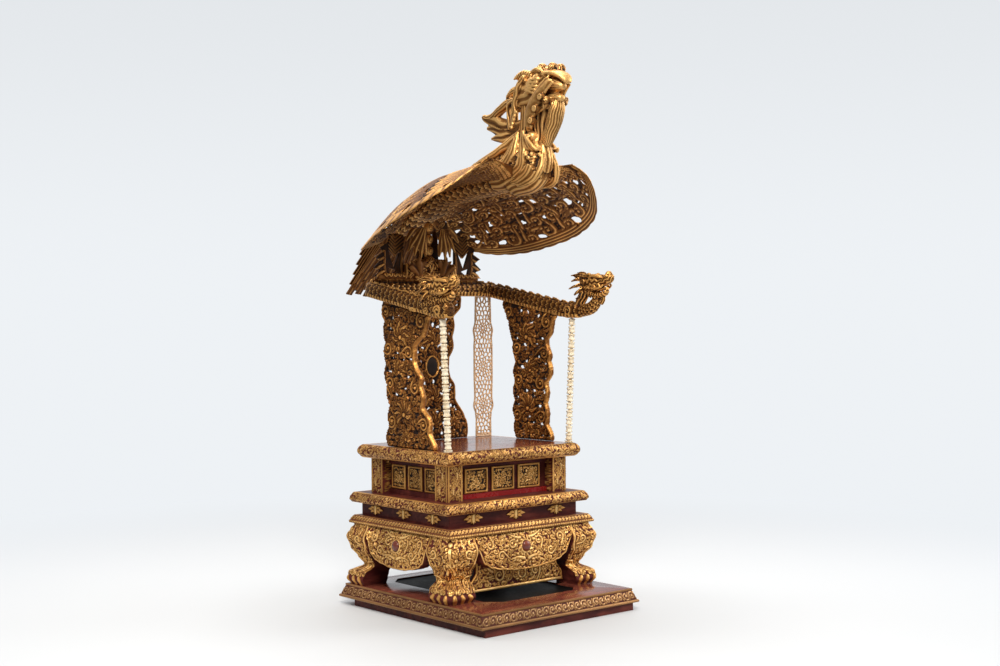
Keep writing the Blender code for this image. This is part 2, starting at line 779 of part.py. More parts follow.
def build_back_board(parts, cutters, finish):
    foot = BACK_BOARD_FOOT
    waist = BACK_BOARD_WAIST
    head = BACK_BOARD_TOP
    table = ((0.0, foot), (0.11, 0.98 * foot), (0.28, 0.68 * foot), (0.36, 0.64 * foot), (0.50, waist),
             (0.66, 1.30 * waist), (0.84, 0.75 * head), (0.93, 0.95 * head), (1.0, head))
    columns = 6
    rows = 14
    flowers = ((0.5, 0.14), (0.5, 0.34), (0.5, 0.76), (0.2, 0.92), (0.8, 0.92))
    holes = {cell for cell in board_holes(columns, rows) if not 5 <= cell[1] <= 8}

    def face(s, t, out):
        half = follow(table, t) + scallop(t, 7, 0.67 * SCALLOP)
        x = half * (2 * s - 1)
        rim = s in (0.0, 1.0)
        relief = 0.0 if rim else BLOSSOM_H * (blossom(s, t, flowers, 0.45) - 0.33)
        depth = BOARD_T / 2 + relief
        y = BACK_BOARD_Y + (-depth if out else depth)
        z = SEAT_TOP + GAP + (arm_under(y) - GAP - SEAT_TOP - GAP) * t
        return (x, y, z)

    board = carved_board("back_board", columns, rows, lambda s, t: face(s, t, False),
                         lambda s, t: face(s, t, True), holes, finish["antique"], parts)
    bm = bmesh.new()
    bmesh.ops.create_cone(bm, cap_ends=True, segments=14, radius1=1.0, radius2=1.0, depth=1.0)
    centre_z = SEAT_TOP + 0.51 * (arm_under(BACK_BOARD_Y) - SEAT_TOP)
    for vertex in bm.verts:
        x, y, z = vertex.co
        vertex.co = (x * DISC_R, BACK_BOARD_Y - 0.2 * BOARD_T - z * 1.1 * BOARD_T,
                     centre_z + y * DISC_H)
    disc = add_object("back_disc", bm, finish["antique"], parts)
    combine(board, disc, "UNION", cutters)


def build_splat(parts, finish):
    """Narrow fretwork board at the right back corner. Its fellow on the left is lost."""
    bottom = SEAT_TOP + GAP
    top = arm_under(BACK_BOARD_Y - SPLAT_T / 2) - GAP
    height = top - bottom
    bulges = ((0.0, 0.98), (0.12, 0.96), (0.16, 1.02), (0.22, 1.28), (0.28, 1.14), (0.45, 1.20),
              (0.64, 1.20), (0.70, 1.14), (0.76, 1.28), (0.82, 1.04), (1.0, 0.98))
    steps = 12
    right = [(SPLAT_W / 2 * follow(bulges, i / steps), height * i / steps) for i in range(steps + 1)]
    outline = right + [(-x, y) for x, y in reversed(right)]
    holes = []
    openings = 7
    for i in range(openings):
        centre = height * (i + 0.75) / (openings + 0.5)
        half = 0.36 * height / openings
        for side in (-1, 1):
            x = side * 0.26 * SPLAT_W * follow(bulges, centre / height)
            width = 0.17 * SPLAT_W
            tilt = 0.25 * half * (1 if i % 2 else -1) * side
            holes.append([(x - width, centre - tilt), (x, centre - half),
                          (x + width, centre + tilt), (x, centre + half)])
    splat = flat_shape("right_splat", [outline] + holes, SPLAT_T, finish["pale"], parts)

    def stand(x, y, z):
        return (SPLAT_X + x, BACK_BOARD_Y - z, bottom + y)

    move_points(splat, stand)


def arm_path(count):
    """Plan of one arm from the middle of the back to the post, as (x, y)."""
    keys = ((0.0, ARM_BACK_Y), (0.33 * ARM_X, ARM_BACK_Y), (ARM_X - 1.4 * ARM_CORNER, ARM_BACK_Y),
            (ARM_X - 0.3 * ARM_CORNER, ARM_BACK_Y - 0.3 * ARM_CORNER),
            (ARM_X, ARM_BACK_Y - 1.4 * ARM_CORNER), (ARM_X + 0.001, 0.0))
    bend = [(p.x, p.y) for p in curve_through([(x, y, 0.0) for x, y in keys], count - 4)]
    ends = (-0.05, -0.09, POST_Y + POST_R, ARM_END_Y)
    return bend + [(ARM_X + (POST_TOP_X - ARM_X) * i / 4, y) for i, y in enumerate(ends, 1)]


def build_arm(side, parts, cutters, finish):
    """One dragon arm: a scaled body with a saw-tooth spine, a raised neck and a maned head."""
    sx = -1 if side == "left" else 1
    path = arm_path(16)
    rings = []
    for i, (x, y) in enumerate(path):
        before = path[max(i - 1, 0)]
        after = path[min(i + 1, len(path) - 1)]
        along = Vector((after[0] - before[0], after[1] - before[1])).normalized()
        if i == 0:
            along = Vector((1.0, 0.0))
        out = Vector((-along.y, along.x))
        start = GAP if i == 0 else 0.0
        swell = 1.0 + ARM_SWELL * i / (len(path) - 1)
        spine = SPINE_H * (BACK_SPINE if i < 7 else (1.1 if i % 2 else 0.1))
        half = ARM_W / 2 * swell
        height = ARM_H * swell
        section = ((-0.55 * half, 0.0), (0.55 * half, 0.0), (half, 0.35 * height),
                   (0.75 * half, 0.80 * height), (0.2 * half, height + spine),
                   (-0.2 * half, height + spine), (-0.75 * half, 0.80 * height),
                   (-half, 0.35 * height))
        ring = []
        for across, up in section:
            px = max(x + out.x * across + start, GAP)
            py = y + out.y * across
            ring.append((sx * px, py, arm_under(py) + up))
        rings.append(ring)
    arm = loft(side + "_dragon_arm", rings, finish["antique"], parts)
    base = POST_TOP_Z + GAP
    x = sx * POST_TOP_X
    if side == "right":
        neck = ((-0.065, 0.14, 0.12, 0.13), (-0.305, 0.14, 0.12, 0.12), (-0.545, 0.20, 0.12, 0.12),
                (-0.685, 0.34, 0.11, 0.11), (-0.645, 0.50, 0.11, 0.11), (-0.525, 0.58, 0.11, 0.10))
    else:
        neck = ((0.495, 0.29, 0.12, 0.12), (0.275, 0.29, 0.12, 0.12), (0.075, 0.35, 0.12, 0.12),
                (0.035, 0.47, 0.11, 0.11), (0.175, 0.53, 0.11, 0.10))
    head_y = POST_Y + DRAGON_REACH * (-0.525 if side == "right" else 0.135)
    head_z = base + DRAGON_REACH * (0.62 if side == "right" else 0.52)
    head = ((0.16, -0.01, 0.10, 0.10), (0.0, 0.0, 0.16, 0.17), (-0.18, 0.04, 0.17, 0.17),
            (-0.34, 0.04, 0.13, 0.12), (-0.46, 0.07, 0.13, 0.12), (-0.58, 0.10, 0.09, 0.08))
    jaw = ((0.04, -0.12, 0.10, 0.07), (-0.26, -0.19, 0.10, 0.06), (-0.46, -0.16, 0.08, 0.04))
    for part, table, sides, y, z in (("neck", neck, 8, POST_Y, base), ("head", head, 8, head_y, head_z),
                                     ("jaw", jaw, 6, head_y, head_z)):
        stations = [(x, y + a, z + b, half_w, half_h) for a, b, half_w, half_h in sized(table, DRAGON_REACH)]
        piece = tube(side + "_" + part, stations, sides, finish["antique"], parts)
        combine(arm, piece, "UNION", cutters)
    combine(arm, mane(side, x, head_y + 0.18 * DRAGON_REACH, head_z, finish, parts), "UNION", cutters)


def mane(side, x, y, z, finish, parts):
    """Ruff of pointed locks behind a dragon's head."""
    points = 18
    rings = []
    for reach, back in ((0.45, -0.45), (1.0, 0.15), (0.30, 0.37)):
        ring = []
        for i in range(points):
            spike = reach == 1.0 and i % 2 == 0
            radius = MANE_R * reach * (1.0 if spike or reach < 1.0 else 0.68)
            angle = math.tau * (i + 0.3) / points
            depth = MANE_R * (back + (0.45 if spike else 0.0))
            ring.append((x + 0.8 * radius * math.cos(angle), y + depth, z + radius * math.sin(angle)))
        rings.append(ring)
    return loft(side + "_mane", rings, finish["antique"], parts)


def sized(rows, size):
    """Turn rows written in shares of a size into metres."""
    return [tuple(value * size for value in row) for row in rows]


def build_crest(parts, cutters, wings, body, finish):
    """Leaf brackets, flowers, beads and leaf sprays between the back rail and the canopy."""
    base = crest_base()
    y = ARM_BACK_Y
    foot = box("back_crest", (-0.40 * SEAT_W, y - 0.6 * CREST_T, base),
               (0.40 * SEAT_W, y + 0.6 * CREST_T, base + CREST_T),
               finish["antique"], parts)
    roof = lowest_above(wings, 0.20 * SEAT_W, 0.40 * SEAT_W, y)
    for sx, side in ((-1, "left"), (1, "right")):
        width = 0.19 * SEAT_W
        height = roof - GAP - base
        leaf = [(0.00, 0.05), (0.00, 1.00), (0.52, 1.00), (0.60, 0.79), (0.94, 0.76), (0.82, 0.60),
                (1.12, 0.49), (0.90, 0.40), (1.18, 0.25), (0.93, 0.19), (1.16, 0.05)]
        holes = [[(0.22, 0.65), (0.44, 0.47), (0.64, 0.68), (0.44, 0.31)],
                 [(0.38, 0.23), (0.62, 0.26), (0.56, 0.12)]]
        outlines = [[(u * width, v * height) for u, v in shape] for shape in [leaf] + holes]
        bracket = flat_shape(side + "_bracket", outlines, CREST_T, finish["antique"], parts)

        def upright(u, v, w):
            return (sx * (0.20 * SEAT_W + u), y + w, base + v)

        move_points(bracket, upright)
        combine(foot, bracket, "UNION", cutters)
        spray = [(0.10, 0.00), (0.30, 0.00), (0.52, 0.55), (0.40, 0.62), (0.50, 0.92), (0.34, 0.80),
                 (0.30, 1.08), (0.20, 0.86), (0.12, 1.00), (0.12, 0.70), (0.02, 0.60), (0.16, 0.50)]
        fan = flat_shape(side + "_spray", [sized(spray, CREST_H)], 0.8 * CREST_T, finish["antique"], parts)

        def leaning(u, v, w):
            return (sx * (0.6 * CREST_T + u), y - 1.2 * CREST_T + w - 0.10 * v, base + 0.5 * CREST_T + v)

        move_points(fan, leaning)
        combine(foot, fan, "UNION", cutters)
    combine(foot, crest_flowers(base, y, finish, parts), "UNION", cutters)
    top = lowest_above([body], 0.0, 0.0, y) - GAP
    beads = 5
    pitch = (top - base) / beads
    profile = [(0.0, top - base)]
    for i in range(beads):
        high = top - base - i * pitch
        profile += [(0.47 * CREST_BEAD_R, high), (CREST_BEAD_R, high - 0.5 * pitch)]
    profile += [(0.47 * CREST_BEAD_R, 0.4 * CREST_T), (0.0, 0.4 * CREST_T)]
    column = turned("bead_column", profile, 8, finish["antique"], parts)
    move_points(column, lambda u, v, w: (u, y + v, base + w))
    combine(foot, column, "UNION", cutters)


def crest_flowers(base, y, finish, parts):
    """Bank of carved flowers along the middle of the back rail."""

    def face(s, t, out):
        reach = 0.19 * SEAT_W
        x = reach * (2 * s - 1)
        crown = 0.65 + 0.35 * math.cos(math.pi * (s - 0.5)) + 0.10 * math.cos(math.tau * s * 4)
        z = base + 0.3 * CREST_T + CREST_FLOWER_H * crown * t
        inner = 0.0 < s < 1.0 and 0.0 < t < 1.0
        relief = 0.4 * CREST_T * math.cos(math.tau * s * 4) if inner else 0.0
        depth = 1.3 * CREST_T + relief
        return (x, y + (-depth if out else 0.7 * CREST_T), z)

    return carved_board("crest_flowers", 8, 3, lambda s, t: face(s, t, False),
                        lambda s, t: face(s, t, True), (), finish["antique"], parts)


def lowest_above(pieces, x_from, x_to, y):
    """Lowest underside of some pieces above a short stretch, seen straight up."""
    heights = []
    for piece in pieces:
        tree = BVHTree.FromPolygons([v.co.copy() for v in piece.data.vertices],
                                    [p.vertices[:] for p in piece.data.polygons])
        for i in range(9):
            for shift in (-0.8 * CREST_T, 0.0, 0.8 * CREST_T):
                x = x_from + (x_to - x_from) * i / 8
                found = tree.ray_cast(Vector((x, y + shift, crest_base())), Vector((0, 0, 1)))
                if found[0] is not None:
                    heights.append(found[0].z)
    return min(heights)


def canopy_point(x, y, z):
    """Place a point of the canopy given in shares of its half width, length and rise."""
    rise = SEAT_TOP + CANOPY_LIFT
    return Vector((x * CANOPY_HALF_W, y * CANOPY_LENGTH - CANOPY_SHIFT, rise + z * CANOPY_RISE))


def body_line(share, row):
    """Body from the tail root at share 0 to the chest at share 1: its top or bottom height."""
    tops = ((0.0, -0.42), (0.18, -0.16), (0.40, 0.05), (0.62, 0.18), (0.85, 0.25), (1.0, 0.27))
    bottoms = ((0.0, -0.52), (0.15, -0.35), (0.36, -0.20), (0.60, -0.16), (0.80, -0.13), (1.0, -0.06))
    return SEAT_TOP + CANOPY_LIFT + CANOPY_RISE * follow(tops if row == "top" else bottoms, share)


def bird_point(x, y, z):
    """Place a point given in shares of the bird's height, about the chest at the springing."""
    return Vector((x * BIRD_H, CHEST_Y + y * BIRD_H, SEAT_TOP + CANOPY_LIFT + z * BIRD_H))


def bird_stations(rows):
    """Stations of a tube in the bird's middle plane, from (y, z, half width, half depth) in shares."""
    return [(*bird_point(0.0, y, z), half_w * BIRD_H, half_h * BIRD_H) for y, z, half_w, half_h in rows]


def build_body(parts, cutters, finish):
    """Bird's body, with flat joint faces for the wings, its neck and its head."""
    stations = 11
    rings = []
    for i in range(stations):
        share = i / (stations - 1)
        y = BODY_BACK_Y + (CHEST_Y - BODY_BACK_Y) * share
        high = body_line(share, "top")
        low = body_line(share, "bottom")
        mid = (high + low) / 2
        ripple = WING_RIDGE if i % 2 else 0.0
        j = BODY_JOINT
        right = ((0.35 * j, low - ripple), (0.8 * j, low + 0.12 * (high - low)), (j, mid - 0.2 * (high - low)),
                 (j, mid + 0.30 * (high - low)), (0.45 * j, high + ripple))
        left = [(-x, z) for x, z in reversed(right)]
        rings.append([(x, y, z) for x, z in list(right) + left])
    body = loft("bird", rings, finish["antique"], parts)
    neck = ((0.274, 0.000, 0.165, 0.180), (0.084, 0.050, 0.170, 0.200), (0.004, 0.160, 0.155, 0.210),
            (0.024, 0.280, 0.130, 0.200), (0.014, 0.390, 0.110, 0.200), (-0.016, 0.520, 0.105, 0.210),
            (-0.006, 0.660, 0.100, 0.180))
    stations = bird_stations(neck)
    combine(body, tube("bird_neck", stations, 10, finish["antique"], parts), "UNION", cutters)
    build_head(body, parts, cutters, finish)
    return body


def build_head(body, parts, cutters, finish):
    """Head raised with the beak open, curls over the brow, a beard and a leafy crest."""
    skull = ((0.174, 0.700, 0.080, 0.120), (0.054, 0.730, 0.110, 0.190), (-0.066, 0.760, 0.120, 0.200),
             (-0.186, 0.840, 0.105, 0.130), (-0.306, 0.880, 0.085, 0.080), (-0.386, 0.865, 0.065, 0.060),
             (-0.436, 0.825, 0.040, 0.035))
    stations = bird_stations(skull)
    combine(body, tube("bird_skull", stations, 10, finish["antique"], parts), "UNION", cutters)
    jaw = ((0.024, 0.560, 0.090, 0.100), (-0.136, 0.610, 0.090, 0.085), (-0.256, 0.665, 0.070, 0.050),
           (-0.366, 0.665, 0.040, 0.030))
    stations = bird_stations(jaw)
    combine(body, tube("bird_jaw", stations, 8, finish["antique"], parts), "UNION", cutters)
    beard = ((-0.266, 0.640, 0.065, 0.050), (-0.226, 0.520, 0.075, 0.055), (-0.176, 0.390, 0.070, 0.055),
             (-0.126, 0.260, 0.050, 0.045))
    stations = bird_stations(beard)
    combine(body, tube("bird_beard", stations, 6, finish["antique"], parts), "UNION", cutters)
    for sx, side in ((-1, "left"), (1, "right")):
        brow = ball(side + "_brow", bird_point(sx * 0.055, -0.136, 0.955), 0.050 * BIRD_H,
                    finish["antique"], parts)
        combine(body, brow, "UNION", cutters)
        curl = ball(side + "_nose_curl", bird_point(sx * 0.045, -0.296, 0.940), 0.045 * BIRD_H,
                    finish["antique"], parts)
        combine(body, curl, "UNION", cutters)
    horn = ((-0.026, 0.880), (0.094, 0.950), (0.259, 0.910), (0.154, 0.880), (0.144, 0.810),
            (0.074, 0.750))
    fin = ((0.114, 0.800), (0.274, 0.790), (0.389, 0.755), (0.294, 0.730), (0.214, 0.660),
           (0.094, 0.650))
    leaf = ((0.084, 0.750), (0.314, 0.740), (0.484, 0.640), (0.604, 0.610), (0.709, 0.620),
            (0.694, 0.560), (0.624, 0.550), (0.664, 0.490), (0.554, 0.490), (0.594, 0.385),
            (0.454, 0.330), (0.324, 0.320), (0.264, 0.410), (0.144, 0.440), (0.094, 0.600))
    window = ((0.544, 0.585), (0.454, 0.630), (0.364, 0.645), (0.409, 0.560), (0.479, 0.520))
    for name, outlines, thickness in (("horn", [horn], 0.08), ("fin", [fin], 0.07),
                                      ("leaf_crest", [leaf, window], 0.10)):
        shape = flat_shape("bird_" + name, [sized(outline, BIRD_H) for outline in outlines],
                           thickness * BIRD_H, finish["antique"], parts)
        move_points(shape, lambda u, v, w: (w, CHEST_Y + u, SEAT_TOP + CANOPY_LIFT + v))
        combine(body, shape, "UNION", cutters)


def wing_rim(count):
    """Outer edge of a wing from the front corner round to the back, in shares of the canopy."""
    keys = ((0.43, -0.51, 0.15), (0.58, -0.525, 0.035), (0.77, -0.455, -0.17), (0.93, -0.33, -0.36),
            (0.99, -0.15, -0.52), (0.94, 0.04, -0.63), (0.84, 0.21, -0.70), (0.70, 0.37, -0.71),
            (0.52, 0.465, -0.66), (0.34, 0.53, -0.60))
    return curve_through([canopy_point(*key) for key in keys], count)


def build_wing(side, parts, finish):
    """One wing: a domed shell with feather ridges above and pierced scrollwork below."""
    sx = -1 if side == "left" else 1
    columns = 14
    rows = 6
    rim = wing_rim(columns + 1)
    front_y = -0.50 * CANOPY_LENGTH
    back_y = BODY_BACK_Y - WING_BACK_INSET
    holes = set()
    for column in range(1, columns - 1, 2):
        first = 1 if column % 4 == 1 else 2
        holes.update((column, row) for row in range(first, rows - 1, 2))

    def face(s, t, over):
        place = min(s * columns, columns - 0.001)
        index = int(place)
        edge = rim[index].lerp(rim[index + 1], place - index)
        y_root = front_y + (back_y - front_y) * s
        share = (BODY_BACK_Y - y_root) / (BODY_BACK_Y - CHEST_Y)
        high = body_line(share, "top")
        low = body_line(share, "bottom")
        root_high = high - (0.18 + 0.24 * (1.0 - s) ** 3) * (high - low)
        root_t = 0.45 * (high - low)
        x = BODY_JOINT + GAP + (edge.x - BODY_JOINT - GAP) * t
        y = y_root + (edge.y - y_root) * t
        thickness = WING_EDGE_T + (root_t - WING_EDGE_T) * (1 - t) ** 2
        dome = WING_DOME * math.sin(math.pi * t) * math.sin(math.pi * s)
        z = root_high + (edge.z + WING_EDGE_T / 2 - root_high) * t + dome
        ridge = WING_RIDGE * math.cos(math.pi * place) * t
        if not over:
            z -= thickness
        return (sx * x, y, z + ridge)

    return carved_board(side + "_wing", columns, rows, lambda s, t: face(s, t, False),
                        lambda s, t: face(s, t, True), holes, finish["antique"], parts)


def build_tail(parts, cutters, finish):
    """Layered feathers with square ends that hang behind the seat back."""
    slope = math.radians(TAIL_SLOPE)
    down = Vector((0.0, math.cos(slope), -math.sin(slope)))
    outward = Vector((0.0, math.sin(slope), math.cos(slope)))
    root_z = body_line(0.0, "bottom")
    start = Vector((0.0, BODY_BACK_Y + 0.08 * TAIL_LENGTH, root_z))
    width = TAIL_W / TAIL_FEATHERS
    tail = None
    for layer in range(TAIL_LAYERS):
        length = TAIL_LENGTH * (1.0 - 0.16 * layer)
        side = TAIL_W * (0.5 - 0.022 * layer)
        top_x = TAIL_W * (0.30 - 0.017 * layer)
        top_v = TAIL_LENGTH * (0.013 * layer - 0.093)
        reach = [(-top_x, top_v), (top_x, top_v)]
        ends = []
        for i in range(TAIL_FEATHERS):
            right = TAIL_W / 2 - i * width
            left = right - width
            slot = (0.08 + 0.03 * layer) * width
            curve = 0.04 * TAIL_LENGTH * (2 * abs(i - (TAIL_FEATHERS - 1) / 2) / TAIL_FEATHERS) ** 2
            end = length - curve
            ends += [(right - slot, end), (left + slot, end)]
            if i < TAIL_FEATHERS - 1:
                ends.append((left, end - 0.2 * TAIL_LENGTH))
        outline = [(x, -v) for x, v in reach[::-1] + [(-side, length * 0.45)] + ends[::-1]
                   + [(side, length * 0.45)]]
        shape = flat_shape("tail" if layer == 0 else "tail_layer_" + str(layer), [outline],
                           FEATHER_T, finish["antique"], parts)
        lift = layer * 0.85 * FEATHER_T

        def hang(u, v, w):
            return start + Vector((u, 0, 0)) - down * v + outward * (w + lift)

        move_points(shape, hang)
        if tail is None:
            tail = shape
        else:
            combine(tail, shape, "UNION", cutters)
    root = box("tail_root", (-0.8 * BODY_JOINT, BODY_BACK_Y + GAP, root_z - 0.12 * BODY_JOINT),
               (0.8 * BODY_JOINT, BODY_BACK_Y + 0.2 * TAIL_LENGTH, body_line(0.0, "top")),
               finish["antique"], parts)
    combine(tail, root, "UNION", cutters)


def main():
    clear_scene()
    parts = new_collection("throne_altar")
    cutters = new_collection("cutters", hidden=True)
    finish = {
        "gold": material("bright_gold_leaf", (0.55, 0.33, 0.10), 0.42, 0.55),
        "antique": material("antique_gilding", (0.33, 0.17, 0.06), 0.48, 0.40),
        "maroon": material("dark_maroon_lacquer", (0.09, 0.016, 0.016), 0.35),
        "lacquer": material("red_brown_lacquer", (0.20, 0.045, 0.025), 0.18),
        "black": material("black_lacquer", (0.012, 0.012, 0.014), 0.12),
        "bone": material("bone", (0.78, 0.66, 0.48), 0.40),
        "pale": material("pale_wood", (0.62, 0.42, 0.25), 0.60),
    }
    build_plinth(parts, cutters, finish)
    build_legs(parts, finish)
    build_aprons(parts, finish)
    build_lower_panel(parts, finish)
    moulded_slab("stand_top", STAND_W, STAND_D, STAND_TOP_Z + GAP,
                 ((0.0, 0.0), (0.30 * STAND_TOP_H, 0.0), (0.40 * STAND_TOP_H, -0.25 * STAND_TOP_SLOPE),
                  (0.85 * STAND_TOP_H, -0.75 * STAND_TOP_SLOPE), (STAND_TOP_H, -STAND_TOP_SLOPE)),
                 0.004, finish["gold"], parts, STAND_Y)
    build_waist(parts, finish)
    build_shelf(parts, finish)
    build_box(parts, finish)
    build_seat(parts, finish)
    build_posts(parts, finish)
    build_side_boards(parts, finish)
    build_back_board(parts, cutters, finish)
    build_splat(parts, finish)
    for side in ("left", "right"):
        build_arm(side, parts, cutters, finish)
    body = build_body(parts, cutters, finish)
    wings = [build_wing(side, parts, finish) for side in ("left", "right")]
    build_crest(parts, cutters, wings, body, finish)
    build_tail(parts, cutters, finish)


main()
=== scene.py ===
import json
import math

import bmesh
import bpy
import numpy as np
from mathutils import Matrix, Vector


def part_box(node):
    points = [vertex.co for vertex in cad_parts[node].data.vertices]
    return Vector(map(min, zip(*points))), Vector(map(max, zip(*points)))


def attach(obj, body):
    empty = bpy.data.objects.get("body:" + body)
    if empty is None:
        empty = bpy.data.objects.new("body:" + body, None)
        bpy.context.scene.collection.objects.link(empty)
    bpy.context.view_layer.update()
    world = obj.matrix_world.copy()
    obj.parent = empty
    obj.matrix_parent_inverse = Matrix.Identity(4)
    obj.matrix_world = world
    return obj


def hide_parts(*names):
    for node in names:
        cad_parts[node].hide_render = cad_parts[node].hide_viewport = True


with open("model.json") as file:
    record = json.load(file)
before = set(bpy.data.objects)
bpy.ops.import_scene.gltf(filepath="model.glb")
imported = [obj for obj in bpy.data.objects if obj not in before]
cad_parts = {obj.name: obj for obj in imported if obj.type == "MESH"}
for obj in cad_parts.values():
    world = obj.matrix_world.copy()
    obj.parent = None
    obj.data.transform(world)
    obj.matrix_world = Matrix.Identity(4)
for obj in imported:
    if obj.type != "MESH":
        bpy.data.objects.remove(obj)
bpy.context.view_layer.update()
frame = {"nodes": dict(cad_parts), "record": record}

nodes = frame["nodes"]
gap = 0.0003
print("frame loaded with", len(nodes), "pieces")


def low(name):
    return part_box(name)[0]


def high(name):
    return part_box(name)[1]


# Values read from tables, smooth steps and directions

def follow(table, at):
    places, values = np.array(table, float).T
    at = np.asarray(at, float)
    index = np.clip(np.searchsorted(places, at, side="right") - 1, 0, len(places) - 2)
    t = smoothStep(at, places[index], places[index + 1])
    return values[index] + (values[index + 1] - values[index]) * t


def smoothStep(value, start, end):
    t = np.clip((value - start) / (end - start), 0, 1)
    return t * t * (3 - 2 * t)


def unit(vectors):
    return vectors / np.maximum(np.linalg.norm(vectors, axis=-1, keepdims=True), 1e-9)


def toward(angle):
    return np.array((math.cos(angle), math.sin(angle)))


# A carving is drawn on a canvas: "height" runs from 0, the ground, to about 1, the tops.
# "cover" is how far a place lies inside the nearest stroke, in metres.

def newCanvas(left, bottom, right, top, pixel=0.0007):
    shape = [int(math.ceil(length / pixel)) + 1 for length in (top - bottom, right - left)]
    return {"left": left, "bottom": bottom, "pixel": pixel, "height": np.zeros(shape),
            "cover": np.full(shape, -0.02)}


def stroke(canvas, points, widths, top=1.0, groove=0.0, moat=0.45, flat=0.0):
    points = np.asarray(points, float)
    wide = np.broadcast_to(np.asarray(widths, float), (len(points),))
    pixel = canvas["pixel"]
    reach = 1.4 * wide.max() + pixel
    area, axes = [], []
    for axis, edge in enumerate(("left", "bottom")):
        first = max(int((points[:, axis].min() - reach - canvas[edge]) / pixel), 0)
        last = min(int((points[:, axis].max() + reach - canvas[edge]) / pixel) + 2,
                   canvas["height"].shape[1 - axis])
        if last <= first:
            return
        area.insert(0, slice(first, last))
        axes.append(canvas[edge] + pixel * np.arange(first, last))
    area = tuple(area)
    x, y = axes[0][None, None, :], axes[1][None, :, None]
    start = points[:-1, :, None, None]
    along = (points[1:] - points[:-1])[:, :, None, None]
    length = (along ** 2).sum(1) + 1e-12
    t = np.clip(((x - start[:, 0]) * along[:, 0] + (y - start[:, 1]) * along[:, 1]) / length, 0, 1)
    away = np.hypot(x - start[:, 0] - t * along[:, 0], y - start[:, 1] - t * along[:, 1])
    firstWide = wide[:-1, None, None]
    width = firstWide + (wide[1:, None, None] - firstWide) * t
    ratio = away / width
    best = ratio.argmin(0)[None]
    cut = np.take_along_axis(ratio, best, 0)[0]
    width = np.take_along_axis(width, best, 0)[0]
    body = np.sqrt(np.clip(1 - cut ** 2, 0, 1))
    if flat:
        body = np.clip(body / flat, 0, 1)
    if groove < 0:
        body = top * body * (1 + groove * np.exp(-(cut / 0.22) ** 2))
    else:
        body = top * body * (1 - groove * (0.5 - 0.5 * np.cos(2 * math.pi * np.clip(cut, 0, 1))))
    old = canvas["height"][area]
    old[:] = np.where(cut < 1, np.maximum(body, 0.12 * old), np.where(cut < 1.35, old * moat, old))
    canvas["cover"][area] = np.maximum(canvas["cover"][area], (1 - cut) * width)


def dot(canvas, x, y, radius, top=1.0, moat=0.35):
    stroke(canvas, [(x, y), (x + 1e-6, y)], radius, top, moat=moat)


def curl(canvas, x, y, radius, start, turns=1.3, hand=1, width=0.0014, top=1.0, tail=0.0):
    u = np.linspace(0, 1, 16)
    angle = start + hand * 2 * math.pi * turns * u
    r = radius * (1 - 0.78 * u) ** 0.9
    points = np.stack((x + r * np.cos(angle), y + r * np.sin(angle)), 1)
    widths = width * (1.0 - 0.35 * u)
    if tail:
        lead = hand * tail * toward(start + math.pi / 2)
        points = np.vstack((points[0] - lead + (points[0] - (x, y)) * 0.25, points))
        widths = np.concatenate(([0.5 * width], widths))
    stroke(canvas, points, widths, top, groove=0.25)
    dot(canvas, x, y, 0.30 * radius, top)


def ring(canvas, x, y, radius, width, top=1.0, stretch=1.0):
    angle = np.linspace(0, 2 * math.pi, 25)
    stroke(canvas, np.stack((x + radius * np.cos(angle), y + stretch * radius * np.sin(angle)), 1), width,
           top)


def leaf(canvas, x, y, heading, length, bend=0.6, lobes=3, width=0.0, top=1.0):
    width = width or 0.11 * length
    u = np.linspace(0, 1, 9)
    angle = heading + bend * u
    steps = length / 8 * np.stack((np.cos(angle), np.sin(angle)), 1)
    steps[0] = x, y
    points = np.cumsum(steps, axis=0)
    for k in range(lobes):
        place = 1 + int(k * 6 / max(lobes, 1))
        size = length * (0.46 - 0.09 * k)
        for side in (-1, 1):
            shoulder = points[place] + 0.55 * size * toward(angle[place] + side)
            tip = shoulder + 0.45 * size * toward(angle[place] + 0.25 * side)
            stroke(canvas, [points[place], shoulder, tip], [width * 0.95, width * 0.85, width * 0.25],
                   top * 0.9, groove=-0.35)
    stroke(canvas, points, width * (1.15 - 0.85 * u), top, groove=-0.35)


def flower(canvas, x, y, radius, petals=8, top=1.0, turn=0.0, layers=1):
    for layer in range(layers):
        reach = radius * (1 - 0.38 * layer)
        width = reach * min(0.85 * math.pi / petals, 0.30)
        for k in range(petals):
            out = reach * toward(turn + 2 * math.pi * (k + 0.5 * layer) / petals)
            stroke(canvas, [(x, y) + share * out for share in (0.25, 0.62, 0.92)],
                   [0.4 * width, width, 0.55 * width], top * (0.75 + 0.12 * layer), groove=-0.3)
    dot(canvas, x, y, 0.26 * radius, top)
    dot(canvas, x, y, 0.10 * radius, 0.55 * top, moat=1.0)


